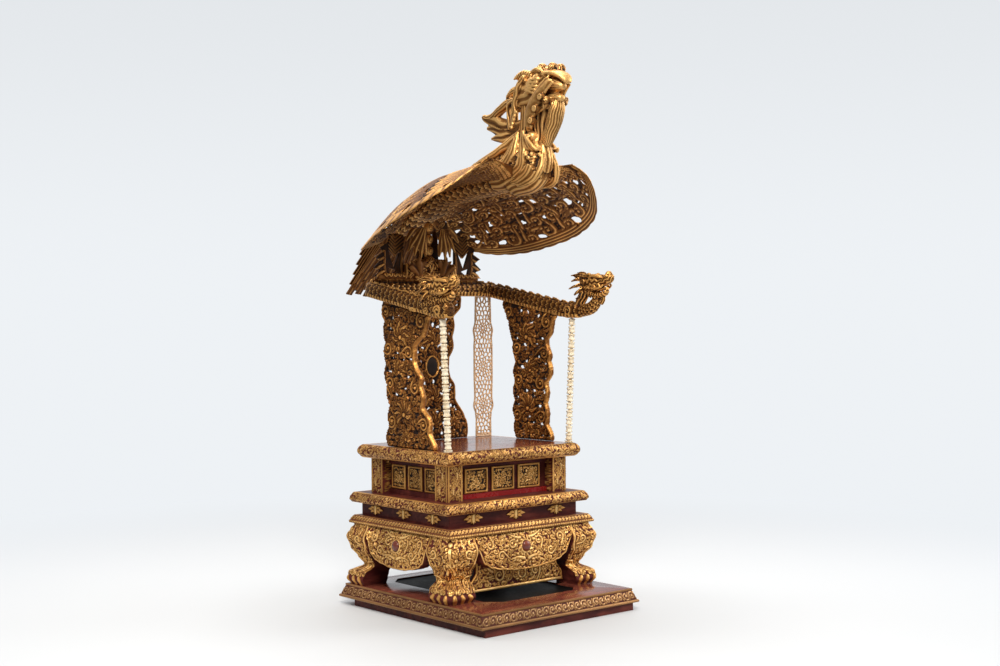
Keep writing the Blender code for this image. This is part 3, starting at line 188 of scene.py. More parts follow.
# Flowers, curls and leaves set out in staggered rows, with seeded small differences
def foliage(canvas, box, spacing, seed, inside=None, size=1.0, flowers=0.12):
    rng = np.random.default_rng(seed)
    left, bottom, right, top = box
    rows = max(int(round((top - bottom) / (0.86 * spacing))), 1)
    columns = max(int(round((right - left) / spacing)), 1)
    sites = []
    for row in range(rows):
        y = bottom + (top - bottom) * (row + 0.5) / rows
        for column in range(columns + row % 2):
            x = left + (right - left) * (column + (0.0 if row % 2 else 0.5)) / columns
            sites.append((x + rng.uniform(-0.22, 0.22) * spacing, y + rng.uniform(-0.22, 0.22) * spacing))
    for index in rng.permutation(len(sites)):
        x, y = sites[index]
        heading = rng.uniform(0, 2 * math.pi)
        kind = rng.random()
        hand = rng.integers(0, 2) * 2 - 1
        reach = size * spacing * rng.uniform(0.85, 1.2)
        if inside is not None and not inside(x, y):
            continue
        level = 0.70 + 0.30 * rng.random()
        if kind < flowers:
            flower(canvas, x, y, 0.55 * reach, 6, level, heading)
        elif kind < 0.55:
            curl(canvas, x, y, 0.42 * reach, heading, 1.1, hand, 0.15 * reach, level, tail=0.5 * reach)
        else:
            foot = (x, y) - 0.4 * reach * toward(heading)
            leaf(canvas, *foot, heading, 0.95 * reach, 0.9 * hand, 2, 0.13 * reach, level)
        if rng.random() < 0.35:
            dot(canvas, *((x, y) + 0.5 * reach * toward(rng.uniform(0, 2 * math.pi))), 0.10 * reach, level)


# A palmette: curved leaves that fan out from one point
def palmette(canvas, x, y, radius, heading, leaves=9, spread=1.6, hand=1):
    for k in range(leaves):
        share = 2 * k / (leaves - 1) - 1
        turn = heading + share * spread
        long = radius * (1 - 0.22 * abs(share) - 0.10 * (k % 2))
        middle = (x, y) + 0.5 * long * toward(turn)
        tip = middle + 0.5 * long * toward(turn + hand * 0.75)
        stroke(canvas, [(x, y), middle, tip], radius * np.array((0.07, 0.13, 0.05)), 1.0 - 0.18 * (k % 2),
               groove=-0.35)
    dot(canvas, x, y, 0.15 * radius, 1.0)


# Painted shade and highlight: the gold's tone is raised where the carving stands above what lies round it,
# and lowered in its hollows
def deepen(canvas, passes=18, strength=1.0):
    blurred = canvas["height"]
    for _ in range(passes):
        padded = np.pad(blurred, 1, mode="edge")
        blurred = (padded[:-2, 1:-1] + padded[2:, 1:-1] + padded[1:-1, :-2] + padded[1:-1, 2:]) / 4
    canvas["tone"] = np.clip(canvas["height"] + strength * (canvas["height"] - blurred), 0.0, 1.15)


def read(canvas, key, x, y):
    field = canvas[key]
    u = np.clip((np.asarray(x) - canvas["left"]) / canvas["pixel"], 0, field.shape[1] - 1.001)
    v = np.clip((np.asarray(y) - canvas["bottom"]) / canvas["pixel"], 0, field.shape[0] - 1.001)
    i, j = u.astype(int), v.astype(int)
    a, b = u - i, v - j
    lower = (1 - a) * field[j, i] + a * field[j, i + 1]
    upper = (1 - a) * field[j + 1, i] + a * field[j + 1, i + 1]
    return (1 - b) * lower + b * upper


# Meshes from arrays

def makeMesh(name, points, faces, materials, faceMaterials=None, relief=None, smooth=True, sharp=0.0):
    points = np.asarray(points, float).reshape(-1, 3)
    groups = [np.asarray(group, np.int64).reshape(len(group), -1) for group in faces if len(group)]
    loops = np.concatenate([group.ravel() for group in groups])
    sizes = np.concatenate([np.full(len(group), group.shape[1]) for group in groups])
    mesh = bpy.data.meshes.new(name)
    mesh.vertices.add(len(points))
    mesh.vertices.foreach_set("co", points.ravel())
    mesh.loops.add(len(loops))
    mesh.loops.foreach_set("vertex_index", loops)
    mesh.polygons.add(len(sizes))
    mesh.polygons.foreach_set("loop_start", np.concatenate(([0], np.cumsum(sizes)[:-1])))
    if faceMaterials is not None:
        mesh.polygons.foreach_set("material_index", np.asarray(faceMaterials, np.int32))
    mesh.polygons.foreach_set("use_smooth", np.full(len(sizes), smooth))
    mesh.update(calc_edges=True)
    mesh.validate()
    for entry in materials:
        mesh.materials.append(entry)
    if relief is not None:
        attribute = mesh.attributes.new("relief", "FLOAT", "POINT")
        attribute.data.foreach_set("value", np.asarray(relief, float).ravel())
    if sharp:
        mesh.set_sharp_from_angle(angle=sharp)
    made = bpy.data.objects.new(name, mesh)
    bpy.context.scene.collection.objects.link(made)
    return made


def faceOutwards(piece):
    bm = bmesh.new()
    bm.from_mesh(piece.data)
    bmesh.ops.recalc_face_normals(bm, faces=bm.faces)
    if bm.calc_volume(signed=True) < 0:
        bmesh.ops.reverse_faces(bm, faces=bm.faces)
    bm.to_mesh(piece.data)
    bm.free()
    return piece


def gridFaces(rows, columns, closed=False):
    i = np.arange(rows - 1)[:, None] * columns
    j = np.arange(columns if closed else columns - 1)[None, :]
    k = (j + 1) % columns
    return np.stack((i + j, i + k, i + columns + k, i + columns + j), -1).reshape(-1, 4)


# The faces of a closed tube: its sides, its first end and its last end
def tubeFaces(rows, count):
    return [gridFaces(rows, count, closed=True), np.arange(count)[None, ::-1],
            (rows - 1) * count + np.arange(count)[None]]


def movePoints(piece, change):
    coords = np.zeros(len(piece.data.vertices) * 3)
    piece.data.vertices.foreach_get("co", coords)
    piece.data.vertices.foreach_set("co", np.ascontiguousarray(change(coords.reshape(-1, 3))).ravel())


def mergedPiece(name, pieces):
    bpy.ops.object.select_all(action="DESELECT")
    for piece in pieces:
        piece.select_set(True)
    bpy.context.view_layer.objects.active = pieces[0]
    bpy.ops.object.join()
    pieces[0].name = name
    pieces[0].data.name = name
    return pieces[0]


def finishPiece(piece, slot, *replaced):
    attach(piece, "root")
    if replaced:
        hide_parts(*replaced)
    piece.data.calc_loop_triangles()
    print("  ", piece.name, len(piece.data.loop_triangles), "triangles")
    return piece


# A slab between a carved front grid and a flat back, which is one face
def slabPiece(name, front, back, materials, relief, sharp=0.0, edgeMaterial=0):
    rows, columns = front.shape[:2]
    count = rows * columns
    edge = np.concatenate((np.arange(columns), np.arange(1, rows) * columns + columns - 1,
                           count - 2 - np.arange(columns - 1), np.arange(rows - 2, 0, -1) * columns))
    points = np.concatenate((front.reshape(-1, 3), back.reshape(-1, 3)[edge]))
    behind = count + np.arange(len(edge))
    walls = np.stack((edge, behind, np.roll(behind, -1), np.roll(edge, -1)), 1)
    faces = [gridFaces(rows, columns), walls, behind[None, ::-1]]
    relief = np.concatenate((relief.ravel(), np.zeros(len(edge))))
    kinds = np.concatenate((np.zeros(len(faces[0])), np.full(len(edge) + 1, edgeMaterial)))
    return faceOutwards(makeMesh(name, points, faces, materials, kinds, relief, sharp=sharp))


# Only the largest part of a mask that hangs together, after corners that only touch are joined
def largestPart(keep):
    for _ in range(4):
        a, b, c, d = keep[:-1, :-1], keep[:-1, 1:], keep[1:, :-1], keep[1:, 1:]
        touch = a & d & ~b & ~c
        other = b & c & ~a & ~d
        b |= touch
        a |= other
    label = np.where(keep, np.arange(keep.size).reshape(keep.shape) + 1, 0)
    for _ in range(4000):
        old = label
        for axis in (0, 1):
            for step in (1, -1):
                moved = np.roll(label, step, axis)
                np.moveaxis(moved, axis, 0)[0 if step == 1 else -1] = 0
                label = np.where(keep, np.maximum(label, moved), 0)
        if (old == label).all():
            break
    names, counts = np.unique(label[label > 0], return_counts=True)
    return label == names[counts.argmax()]


# A pierced board on a grid of square cells. field(x, y) is above 0 where there is wood, and
# place(x, y, side) gives the points of the two faces and their relief.
def piercedPiece(name, box, cell, field, place, materials):
    left, bottom, right, top = box
    columns, rows = (max(int(round(length / cell)), 2) for length in (right - left, top - bottom))
    xs = np.linspace(left, right, columns + 1)
    ys = np.linspace(bottom, top, rows + 1)
    keep = largestPart(field(*np.meshgrid((xs[1:] + xs[:-1]) / 2, (ys[1:] + ys[:-1]) / 2)) > 0)
    padded = np.pad(keep, 1)
    near = padded[:-1, :-1].astype(int) + padded[:-1, 1:] + padded[1:, :-1] + padded[1:, 1:]
    used = near > 0
    vx, vy = np.meshgrid(xs, ys)
    beside = 0.35 * cell
    value = field(vx, vy)
    slopeX = (field(vx + beside, vy) - field(vx - beside, vy)) / (2 * beside)
    slopeY = (field(vx, vy + beside) - field(vx, vy - beside)) / (2 * beside)
    steep = slopeX ** 2 + slopeY ** 2 + 1e-9
    farX, farY = 0.55 * (xs[1] - xs[0]), 0.55 * (ys[1] - ys[0])
    border = used & (near < 4)
    vx = np.where(border, vx + np.clip(-value * slopeX / steep, -farX, farX), vx)[used]
    vy = np.where(border, vy + np.clip(-value * slopeY / steep, -farY, farY), vy)[used]
    total = len(vx)
    index = np.full(used.shape, -1)
    index[used] = np.arange(total)
    quads = np.stack((index[:-1, :-1], index[:-1, 1:], index[1:, 1:], index[1:, :-1]), -1)[keep]
    walls = []
    for dj, di, first, second in ((-1, 0, (0, 0), (0, 1)), (1, 0, (1, 1), (1, 0)),
                                  (0, -1, (1, 0), (0, 0)), (0, 1, (0, 1), (1, 1))):
        j, i = np.nonzero(keep & ~padded[1 + dj:1 + dj + rows, 1 + di:1 + di + columns])
        p = index[j + first[0], i + first[1]]
        q = index[j + second[0], i + second[1]]
        walls.append(np.stack((q, p, p + total, q + total), 1))
    front, reliefFront = place(vx, vy, 1)
    back, reliefBack = place(vx, vy, -1)
    faces = [quads, quads[:, ::-1] + total, np.concatenate(walls)]
    relief = np.concatenate((reliefFront, reliefBack))
    return faceOutwards(makeMesh(name, np.concatenate((front, back)), faces, materials, None, relief))


# Geometry Nodes: a shape repeated on points that carry a turn and a size
def repeatTree(name):
    tree = bpy.data.node_groups.new(name, "GeometryNodeTree")
    rows = (("Geometry", "INPUT", "Geometry"), ("Shape", "INPUT", "Object"), ("Size", "INPUT", "Float"),
            ("Finish", "INPUT", "Material"), ("Geometry", "OUTPUT", "Geometry"))
    for label, direction, kind in rows:
        tree.interface.new_socket(name=label, in_out=direction, socket_type="NodeSocket" + kind)
    kinds = {"start": "NodeGroupInput", "end": "NodeGroupOutput", "shape": "GeometryNodeObjectInfo",
             "turn": "GeometryNodeInputNamedAttribute", "size": "GeometryNodeInputNamedAttribute",
             "scaled": "ShaderNodeVectorMath", "place": "GeometryNodeInstanceOnPoints",
             "real": "GeometryNodeRealizeInstances", "finish": "GeometryNodeSetMaterial"}
    made = {label: tree.nodes.new(kind) for label, kind in kinds.items()}
    for label in ("turn", "size"):
        made[label].data_type = "FLOAT_VECTOR"
        made[label].inputs["Name"].default_value = label
    made["scaled"].operation = "SCALE"
    links = (("start", "Geometry", "place", "Points"), ("start", "Shape", "shape", "Object"),
             ("shape", "Geometry", "place", "Instance"), ("turn", "Attribute", "place", "Rotation"),
             ("size", "Attribute", "scaled", 0), ("start", "Size", "scaled", "Scale"),
             ("scaled", "Vector", "place", "Scale"), ("place", "Instances", "real", "Geometry"),
             ("real", "Geometry", "finish", "Geometry"), ("start", "Finish", "finish", "Material"),
             ("finish", "Geometry", "end", "Geometry"))
    for source, output, target, entry in links:
        tree.links.new(made[source].outputs[output], made[target].inputs[entry])
    return tree


repeatOnPoints = repeatTree("repeat on points")


def repeated(name, shape, places, turns, sizes, finish):
    mesh = bpy.data.meshes.new(name)
    mesh.from_pydata([tuple(p) for p in places], [], [])
    for label, values in (("turn", turns), ("size", sizes)):
        values = np.broadcast_to(np.asarray(values, float), (len(places), 3))
        mesh.attributes.new(label, "FLOAT_VECTOR", "POINT").data.foreach_set("vector", values.ravel())
    holder = bpy.data.objects.new(name, mesh)
    bpy.context.scene.collection.objects.link(holder)
    modifier = holder.modifiers.new("Repeat", "NODES")
    modifier.node_group = repeatOnPoints
    values = {"Shape": shape, "Size": 1.0, "Finish": finish}
    for item in repeatOnPoints.interface.items_tree:
        if item.item_type == "SOCKET" and item.in_out == "INPUT" and item.name in values:
            modifier[item.identifier] = values[item.name]
    bpy.context.view_layer.update()
    real = bpy.data.meshes.new_from_object(holder.evaluated_get(bpy.context.evaluated_depsgraph_get()))
    real.name = name
    holder.modifiers.remove(modifier)
    holder.data = real
    bpy.data.meshes.remove(mesh)
    return holder


def discard(piece):
    bpy.data.objects.remove(piece, do_unlink=True)


# Finishes: short forms for shader nodes

def feed(tree, socket, value):
    if isinstance(value, bpy.types.NodeSocket):
        tree.links.new(value, socket)
    elif value is not None:
        socket.default_value = (*value, 1.0) if socket.type == "RGBA" else value


def newGroup(name, inputs, outputs):
    tree = bpy.data.node_groups.new(name, "ShaderNodeTree")
    for direction, rows in (("INPUT", inputs), ("OUTPUT", outputs)):
        for label, kind, *value in rows:
            socket = tree.interface.new_socket(name=label, in_out=direction, socket_type="NodeSocket" + kind)
            if value:
                socket.default_value = value[0]
    return tree, tree.nodes.new("NodeGroupInput").outputs, tree.nodes.new("NodeGroupOutput").inputs


def noiseNode(tree, vector, scale, detail=3.0, roughness=0.55, distortion=0.0):
    node = tree.nodes.new("ShaderNodeTexNoise")
    values = {"Vector": vector, "Scale": scale, "Detail": detail, "Roughness": roughness,
              "Distortion": distortion}
    for label, value in values.items():
        feed(tree, node.inputs[label], value)
    return node.outputs["Fac"]


def mathNode(tree, operation, *values):
    node = tree.nodes.new("ShaderNodeMath")
    node.operation = operation
    for socket, value in zip(node.inputs, values):
        feed(tree, socket, value)
    return node.outputs[0]


# The sum of two values, each times its share
def blend(tree, first, firstShare, second, secondShare):
    return mathNode(tree, "MULTIPLY_ADD", first, firstShare, mathNode(tree, "MULTIPLY", second, secondShare))


def rampNode(tree, value, start, end, before=0.0, after=1.0):
    node = tree.nodes.new("ShaderNodeMapRange")
    node.interpolation_type = "SMOOTHSTEP"
    values = {"Value": value, "From Min": start, "From Max": end, "To Min": before, "To Max": after}
    for label, number in values.items():
        feed(tree, node.inputs[label], number)
    return node.outputs["Result"]


def mixColour(tree, amount, first, second, blendType="MIX"):
    node = tree.nodes.new("ShaderNodeMix")
    node.data_type = "RGBA"
    node.blend_type = blendType
    for socket, value in zip((node.inputs["Factor"], node.inputs[6], node.inputs[7]),
                             (amount, first, second)):
        feed(tree, socket, value)
    return node.outputs[2]


# Gold leaf on carved wood: bare ground in the hollows, painted shade that darkens the leaf in low places, and
# wear with a painted highlight on the tops
def makeGildingGroup():
    tree, ins, outs = newGroup("gilding wear and painted shade", (
        ("Vector", "Vector"), ("Relief", "Float", 0.5), ("Leaf", "Color"), ("Bright", "Color"),
        ("Ground", "Color"), ("Shade", "Color"), ("Ground Level", "Float", 0.2), ("Wear", "Float", 0.5)), (
        ("Color", "Color"), ("Metal", "Float"), ("Roughness", "Float"), ("Height", "Float")))
    blotch = noiseNode(tree, ins["Vector"], 38.0, 3.0)
    speck = noiseNode(tree, ins["Vector"], 260.0, 3.0, 0.65)
    broad = noiseNode(tree, ins["Vector"], 9.0, 2.0)
    level = mathNode(tree, "ADD", ins["Relief"], mathNode(tree, "MULTIPLY_ADD", speck, 0.22, -0.11))
    level = mathNode(tree, "ADD", level, mathNode(tree, "MULTIPLY_ADD", blotch, 0.24, -0.12))
    leafMask = rampNode(tree, level, ins["Ground Level"], mathNode(tree, "ADD", ins["Ground Level"], 0.14))
    # Painted shade: the leaf darkens towards the Shade colour where the relief is low
    tone = rampNode(tree, level, ins["Ground Level"], mathNode(tree, "ADD", ins["Ground Level"], 0.55))
    colour = mixColour(tree, tone, ins["Shade"], ins["Leaf"])
    # Painted highlight, partly wear: the Bright colour covers the highest places
    brightMask = rampNode(tree, mathNode(tree, "MULTIPLY_ADD", ins["Wear"], 0.35, level), 0.86, 1.14)
    colour = mixColour(tree, brightMask, colour, ins["Bright"])
    tint = rampNode(tree, broad, 0.30, 0.70, 0.72, 1.12)
    colour = mixColour(tree, 1.0, colour, tint, "MULTIPLY")
    bare = mathNode(tree, "MULTIPLY_ADD", leafMask, -0.30, 0.30)
    feed(tree, outs["Color"], mixColour(tree, leafMask, ins["Ground"], colour))
    feed(tree, outs["Metal"], mathNode(tree, "MULTIPLY", leafMask, 0.72))
    feed(tree, outs["Roughness"], mathNode(tree, "ADD", rampNode(tree, speck, 0.25, 0.75, 0.34, 0.58), bare))
    feed(tree, outs["Height"], blend(tree, speck, 0.6, blotch, 0.4))
    return tree


# Lacquer: slow colour drift, rubbed patches and hairline crackle
def makeLacquerGroup():
    tree, ins, outs = newGroup("lacquer age", (
        ("Vector", "Vector"), ("Tone", "Color"), ("Rubbed", "Color"), ("Gloss", "Float", 0.2),
        ("Age", "Float", 0.5)), (
        ("Color", "Color"), ("Roughness", "Float"), ("Height", "Float")))
    stretch = tree.nodes.new("ShaderNodeMapping")
    stretch.inputs["Scale"].default_value = (1.0, 5.0, 5.0)
    feed(tree, stretch.inputs["Vector"], ins["Vector"])
    grain = noiseNode(tree, stretch.outputs["Vector"], 16.0, 5.0, 0.6, 0.4)
    patch = noiseNode(tree, ins["Vector"], 11.0, 4.0, 0.6)
    fine = noiseNode(tree, ins["Vector"], 180.0, 3.0)
    rubbed = mathNode(tree, "MULTIPLY", rampNode(tree, blend(tree, grain, 0.5, patch, 0.5), 0.44, 0.66),
                      ins["Age"])
    dull = mathNode(tree, "MULTIPLY", rampNode(tree, blend(tree, fine, 0.4, patch, 0.6), 0.35, 0.75), 0.16)
    feed(tree, outs["Color"], mixColour(tree, rubbed, ins["Tone"], ins["Rubbed"]))
    feed(tree, outs["Roughness"], mathNode(tree, "ADD", ins["Gloss"], dull))
    feed(tree, outs["Height"], blend(tree, grain, 0.6, fine, 0.4))
    return tree


# Long grain for bone and bare wood
def makeGrainGroup():
    tree, ins, outs = newGroup("long grain", (
        ("Vector", "Vector"), ("Light", "Color"), ("Dark", "Color"), ("Along", "Vector", (6.0, 6.0, 1.0)),
        ("Scale", "Float", 60.0)), (
        ("Color", "Color"), ("Roughness", "Float"), ("Height", "Float")))
    stretch = tree.nodes.new("ShaderNodeVectorMath")
    stretch.operation = "MULTIPLY"
    feed(tree, stretch.inputs[0], ins["Vector"])
    feed(tree, stretch.inputs[1], ins["Along"])
    line = noiseNode(tree, stretch.outputs["Vector"], ins["Scale"], 4.0, 0.6, 0.3)
    patch = noiseNode(tree, ins["Vector"], 45.0, 2.0)
    mask = rampNode(tree, blend(tree, line, 0.6, patch, 0.4), 0.36, 0.64)
    feed(tree, outs["Color"], mixColour(tree, mask, ins["Dark"], ins["Light"]))
    feed(tree, outs["Roughness"], rampNode(tree, line, 0.3, 0.7, 0.36, 0.56))
    feed(tree, outs["Height"], line)
    return tree


def newMaterial(name, group, bump=0.0003, specular=0.5, **values):
    made = bpy.data.materials.new(name)
    made.use_nodes = True
    tree = made.node_tree
    shader = tree.nodes["Principled BSDF"]
    effect = tree.nodes.new("ShaderNodeGroup")
    effect.node_tree = group
    relief = tree.nodes.new("ShaderNodeBump")
    feed(tree, effect.inputs["Vector"], tree.nodes.new("ShaderNodeTexCoord").outputs["Object"])
    for label, value in values.items():
        feed(tree, effect.inputs[label.replace("_", " ")], value)
    for source, target in (("Color", "Base Color"), ("Roughness", "Roughness"), ("Metal", "Metallic")):
        if source in effect.outputs:
            feed(tree, shader.inputs[target], effect.outputs[source])
    feed(tree, relief.inputs["Strength"], 0.6)
    feed(tree, relief.inputs["Distance"], bump)
    feed(tree, relief.inputs["Height"], effect.outputs["Height"])
    feed(tree, shader.inputs["Normal"], relief.outputs["Normal"])
    feed(tree, shader.inputs["Specular IOR Level"], specular)
    return made


gildingGroup = makeGildingGroup()
lacquerGroup = makeLacquerGroup()
grainGroup = makeGrainGroup()


# A carved finish follows the "relief" values of its mesh, and a plain one has one level
def gilded(name, look, **changes):
    made = newMaterial(name, gildingGroup, 0.0006, 0.22, **{**look, **changes})
    if "Relief" not in changes:
        tree = made.node_tree
        attribute = tree.nodes.new("ShaderNodeAttribute")
        attribute.attribute_name = "relief"
        effect = next(node for node in tree.nodes if node.type == "GROUP")
        feed(tree, effect.inputs["Relief"], attribute.outputs["Fac"])
    return made


goldLook = {
    "Leaf": (0.70, 0.350, 0.092), "Bright": (1.0, 0.66, 0.26), "Ground": (0.085, 0.013, 0.010),
    "Shade": (0.20, 0.085, 0.022), "Ground_Level": 0.16, "Wear": 0.55,
}
# In the antique look the Ground and Shade colours are near black: bare ground and hollows darkened with
# painted shade
antiqueLook = {
    "Leaf": (0.250, 0.100, 0.025), "Bright": (0.84, 0.44, 0.13), "Ground": (0.013, 0.005, 0.003),
    "Shade": (0.055, 0.019, 0.006), "Ground_Level": 0.12, "Wear": 0.42,
}
brightGold = gilded("bright gilding", goldLook)
wornGold = gilded("worn gilding", goldLook, Leaf=(0.34, 0.170, 0.066), Bright=(0.72, 0.45, 0.22), Wear=0.40,
                  Ground=(0.075, 0.020, 0.014))
panelGold = gilded("gilding on black", goldLook, Ground=(0.010, 0.006, 0.006), Shade=(0.14, 0.062, 0.018))
plainGold = gilded("plain gilding", goldLook, Relief=0.62)
antiqueGold = gilded("antique gilding", antiqueLook)
antiqueBright = gilded("bright antique gilding", antiqueLook, Leaf=(0.33, 0.145, 0.038),
                       Bright=(0.90, 0.52, 0.18))
armGold = gilded("arm gilding", antiqueLook, Leaf=(0.190, 0.076, 0.019), Bright=(0.80, 0.42, 0.12), Wear=0.34)
boardGold = gilded("board gilding", antiqueLook, Leaf=(0.31, 0.118, 0.029), Bright=(0.92, 0.46, 0.12),
                   Wear=0.30)
plainAntique = gilded("plain antique gilding", antiqueLook, Relief=0.60)
maroonLacquer = newMaterial("maroon lacquer", lacquerGroup, 0.0003, 0.14, Tone=(0.052, 0.009, 0.008),
                            Rubbed=(0.150, 0.034, 0.022), Gloss=0.34, Age=0.9)
redLacquer = newMaterial("bright red lacquer", lacquerGroup, Tone=(0.22, 0.008, 0.008),
                         Rubbed=(0.34, 0.020, 0.014), Gloss=0.22, Age=0.6)
topLacquer = newMaterial("red brown lacquer", lacquerGroup, Tone=(0.120, 0.028, 0.018),
                         Rubbed=(0.235, 0.062, 0.035), Gloss=0.10, Age=0.9)
blackLacquer = newMaterial("black lacquer", lacquerGroup, 0.0002, 0.04, Tone=(0.003, 0.003, 0.003),
                           Rubbed=(0.009, 0.008, 0.008), Gloss=0.45, Age=0.5)
discLacquer = newMaterial("dark disc", lacquerGroup, 0.0003, 0.20, Tone=(0.016, 0.011, 0.010),
                          Rubbed=(0.040, 0.026, 0.020), Gloss=0.45, Age=0.6)
boneLook = newMaterial("turned bone", grainGroup, 0.0002, Light=(0.86, 0.77, 0.60), Dark=(0.66, 0.51, 0.32),
                       Scale=55.0)
paleWood = newMaterial("pale wood", grainGroup, Light=(0.66, 0.43, 0.25), Dark=(0.50, 0.29, 0.15), Scale=42.0)
crackedLacquer = topLacquer.copy()
crackedLacquer.name = "cracked lacquer"


# The split in the seat board: a thin dark line that wanders a little
def addCrack(material, start, end, wide, wander):
    tree = material.node_tree
    base = tree.nodes["Principled BSDF"].inputs["Base Color"]
    coords = tree.nodes.new("ShaderNodeTexCoord").outputs["Object"]
    parts = tree.nodes.new("ShaderNodeSeparateXYZ")
    feed(tree, parts.inputs[0], coords)
    long = math.dist(start, end)
    alongX, alongY = (end[0] - start[0]) / long, (end[1] - start[1]) / long
    x = mathNode(tree, "SUBTRACT", parts.outputs["X"], start[0])
    y = mathNode(tree, "SUBTRACT", parts.outputs["Y"], start[1])
    along = blend(tree, x, alongX, y, alongY)
    across = blend(tree, y, alongX, x, -alongY)
    drift = mathNode(tree, "MULTIPLY_ADD", noiseNode(tree, coords, 55.0, 2.0), wander, -wander / 2)
    away = mathNode(tree, "ABSOLUTE", mathNode(tree, "ADD", across, drift))
    line = rampNode(tree, away, wide * 0.4, wide, 1.0, 0.0)
    begin, finish = rampNode(tree, along, 0.0, 0.004), rampNode(tree, along, long - 0.02, long, 1.0, 0.0)
    amount = mathNode(tree, "MULTIPLY", line, mathNode(tree, "MULTIPLY", begin, finish))
    feed(tree, base, mixColour(tree, amount, base.links[0].from_socket, (0.010, 0.004, 0.003)))


addCrack(crackedLacquer, (0.1180, 0.0660), (0.0985, -0.0210), 0.0024, 0.004)
addCrack(crackedLacquer, (0.1680, 0.0910), (0.1600, 0.0300), 0.0014, 0.003)

baseFinish = {
    "bright_gold_leaf": plainGold, "antique_gilding": plainAntique, "dark_maroon_lacquer": maroonLacquer,
    "red_brown_lacquer": topLacquer, "black_lacquer": blackLacquer, "bone": boneLook, "pale_wood": paleWood,
}
for entry in frame["record"]["subparts"]:
    node = nodes[entry["node"]]
    node.data.materials.clear()
    node.data.materials.append(baseFinish[entry["material_slot"]])
print("finishes ready")


# Stacked tiers: plinth, stand top, shelf and seat mouldings

# Even steps along a line, with the normal and the distance at each
def resampled(points, step):
    points = np.asarray(points, float)
    length = np.concatenate(([0], np.cumsum(np.hypot(*np.diff(points, axis=0).T))))
    at = np.linspace(0, length[-1], max(int(round(length[-1] / step)), 2) + 1)
    even = np.stack([np.interp(at, length, points[:, i]) for i in range(2)], 1)
    slope = unit(np.gradient(even, axis=0))
    return even, np.stack((slope[:, 1], -slope[:, 0]), 1), at


# Places round a rectangle: the side's direction, the share along it, the mitred normal and the distance
def perimeter(halfX, halfY, counts):
    rows = []
    travelled = 0.0
    for (nx, ny), count in zip(((0, -1), (1, 0), (0, 1), (-1, 0)), counts):
        half = halfX if ny else halfY
        for k in range(count):
            s = 2 * k / count - 1
            mitre = 0 if k else 1
            rows.append((nx, ny, s, nx + mitre * ny, ny - mitre * nx, travelled + half * (1 + s)))
        travelled += 2 * half
    return np.array(rows, float), travelled


# A profile run round a rectangle and raised by what draw() carves on its unrolled surface.
# An opening is a convex outline cut through the top, with the level of its floor.
def moulding(name, halfX, halfY, centreY, baseZ, profile, draw, depth, materials, step=0.0016, counts=None,
             opening=None):
    even, normals, v = resampled(profile, step)
    counts = counts or [max(int(round(2 * half / step)), 4) for half in (halfX, halfY) * 2]
    sides, around = perimeter(halfX, halfY, counts)
    nx, ny, s, mitreX, mitreY, u = sides.T
    canvas = newCanvas(0, 0, around, v[-1])
    draw(canvas, around, v[-1], [2 * halfX, 2 * halfY] * 2)
    deepen(canvas, 12, 0.8)
    level, tone = (read(canvas, key, u[None, :], v[:, None]) for key in ("height", "tone"))
    rows = []
    for (out, height), (normalOut, normalUp), rise in zip(even, normals, depth * (level - level.min())):
        z = baseZ + height + normalUp * rise
        rows.append(np.column_stack(((halfX + out) * (nx - ny * s) + mitreX * normalOut * rise,
                                     centreY + (halfY + out) * (ny + nx * s) + mitreY * normalOut * rise,
                                     np.clip(z, baseZ + even[:, 1].min(), baseZ + even[:, 1].max()))))
    count = len(sides)
    faces = tubeFaces(len(rows), count)
    kinds = [np.zeros(len(faces[0])), np.ones(2)]
    if opening is not None:
        inner, floorZ = opening
        centre = inner.mean(0)
        ray = rows[-1][:, :2] - centre
        reach = np.full(count, 9.0)
        for a, b in zip(inner, np.roll(inner, -1, 0)):
            outward = np.array((b[1] - a[1], a[0] - b[0]))
            facing = np.maximum(ray @ outward, 1e-12)
            reach = np.minimum(reach, (a - centre) @ outward / facing)
        lip = centre + ray * reach[:, None]
        rows += [np.column_stack((lip, np.full(count, lipZ))) for lipZ in (z[0], floorZ)]
        tone = np.concatenate((tone, np.zeros((2, count))))
        last = (len(rows) - 1) * count
        j = np.arange(count)
        faces = [gridFaces(len(rows), count, closed=True),
                 np.stack((last + j, last + (j + 1) % count, (j + 1) % count, j), 1)]
        kinds.append(np.ones(3 * count - 2))
    return faceOutwards(makeMesh(name, rows, faces, materials, np.concatenate(kinds), tone,
                                 sharp=math.radians(50)))


def clearBand(canvas, bottom, top, level=0.0):
    first, last = (int(round((edge - canvas["bottom"]) / canvas["pixel"])) for edge in (bottom, top))
    canvas["height"][max(first, 0):last + 1] = level


# Even places along each side in turn: the number, the place and the pitch
def spaced(lengths, pitch):
    start = 0.0
    for length in lengths:
        count = int(round(length / pitch))
        for k in range(count):
            yield k, start + length * (k + 0.5) / count, length / count
        start += length


plinth = {"sideRail": 0.081, "frontRail": 0.066, "backRail": 0.044, "cornerCut": 0.026,
          "roundelPitch": 0.0158, "relief": 0.0013, "bandFrom": 0.0068, "bandMargin": 0.0045}
lo, hi = low("plinth_frame"), high("plinth_frame")
plinthHalf = (hi - lo) / 2
plinthHigh = hi.z - lo.z


def drawPlinth(canvas, around, tall, lengths):
    canvas["height"][:] = 0.66
    bottom, top = plinth["bandFrom"], tall - plinth["bandMargin"]
    clearBand(canvas, bottom, top, 0.10)
    middle, band = (bottom + top) / 2, top - bottom
    for k, x, pitch in spaced(lengths, plinth["roundelPitch"]):
        hand = 1 if k % 2 else -1
        leaf(canvas, x - 0.5 * pitch, middle - 0.38 * band, math.pi / 2, 0.52 * band, 0.5 * hand, 2, 0.0011,
             0.75)
        curl(canvas, x, middle, 0.44 * band, -hand * 0.5, 1.35, hand, 0.0015, 0.95)
        dot(canvas, x + 0.5 * pitch, middle + 0.34 * band, 0.0012, 0.8)


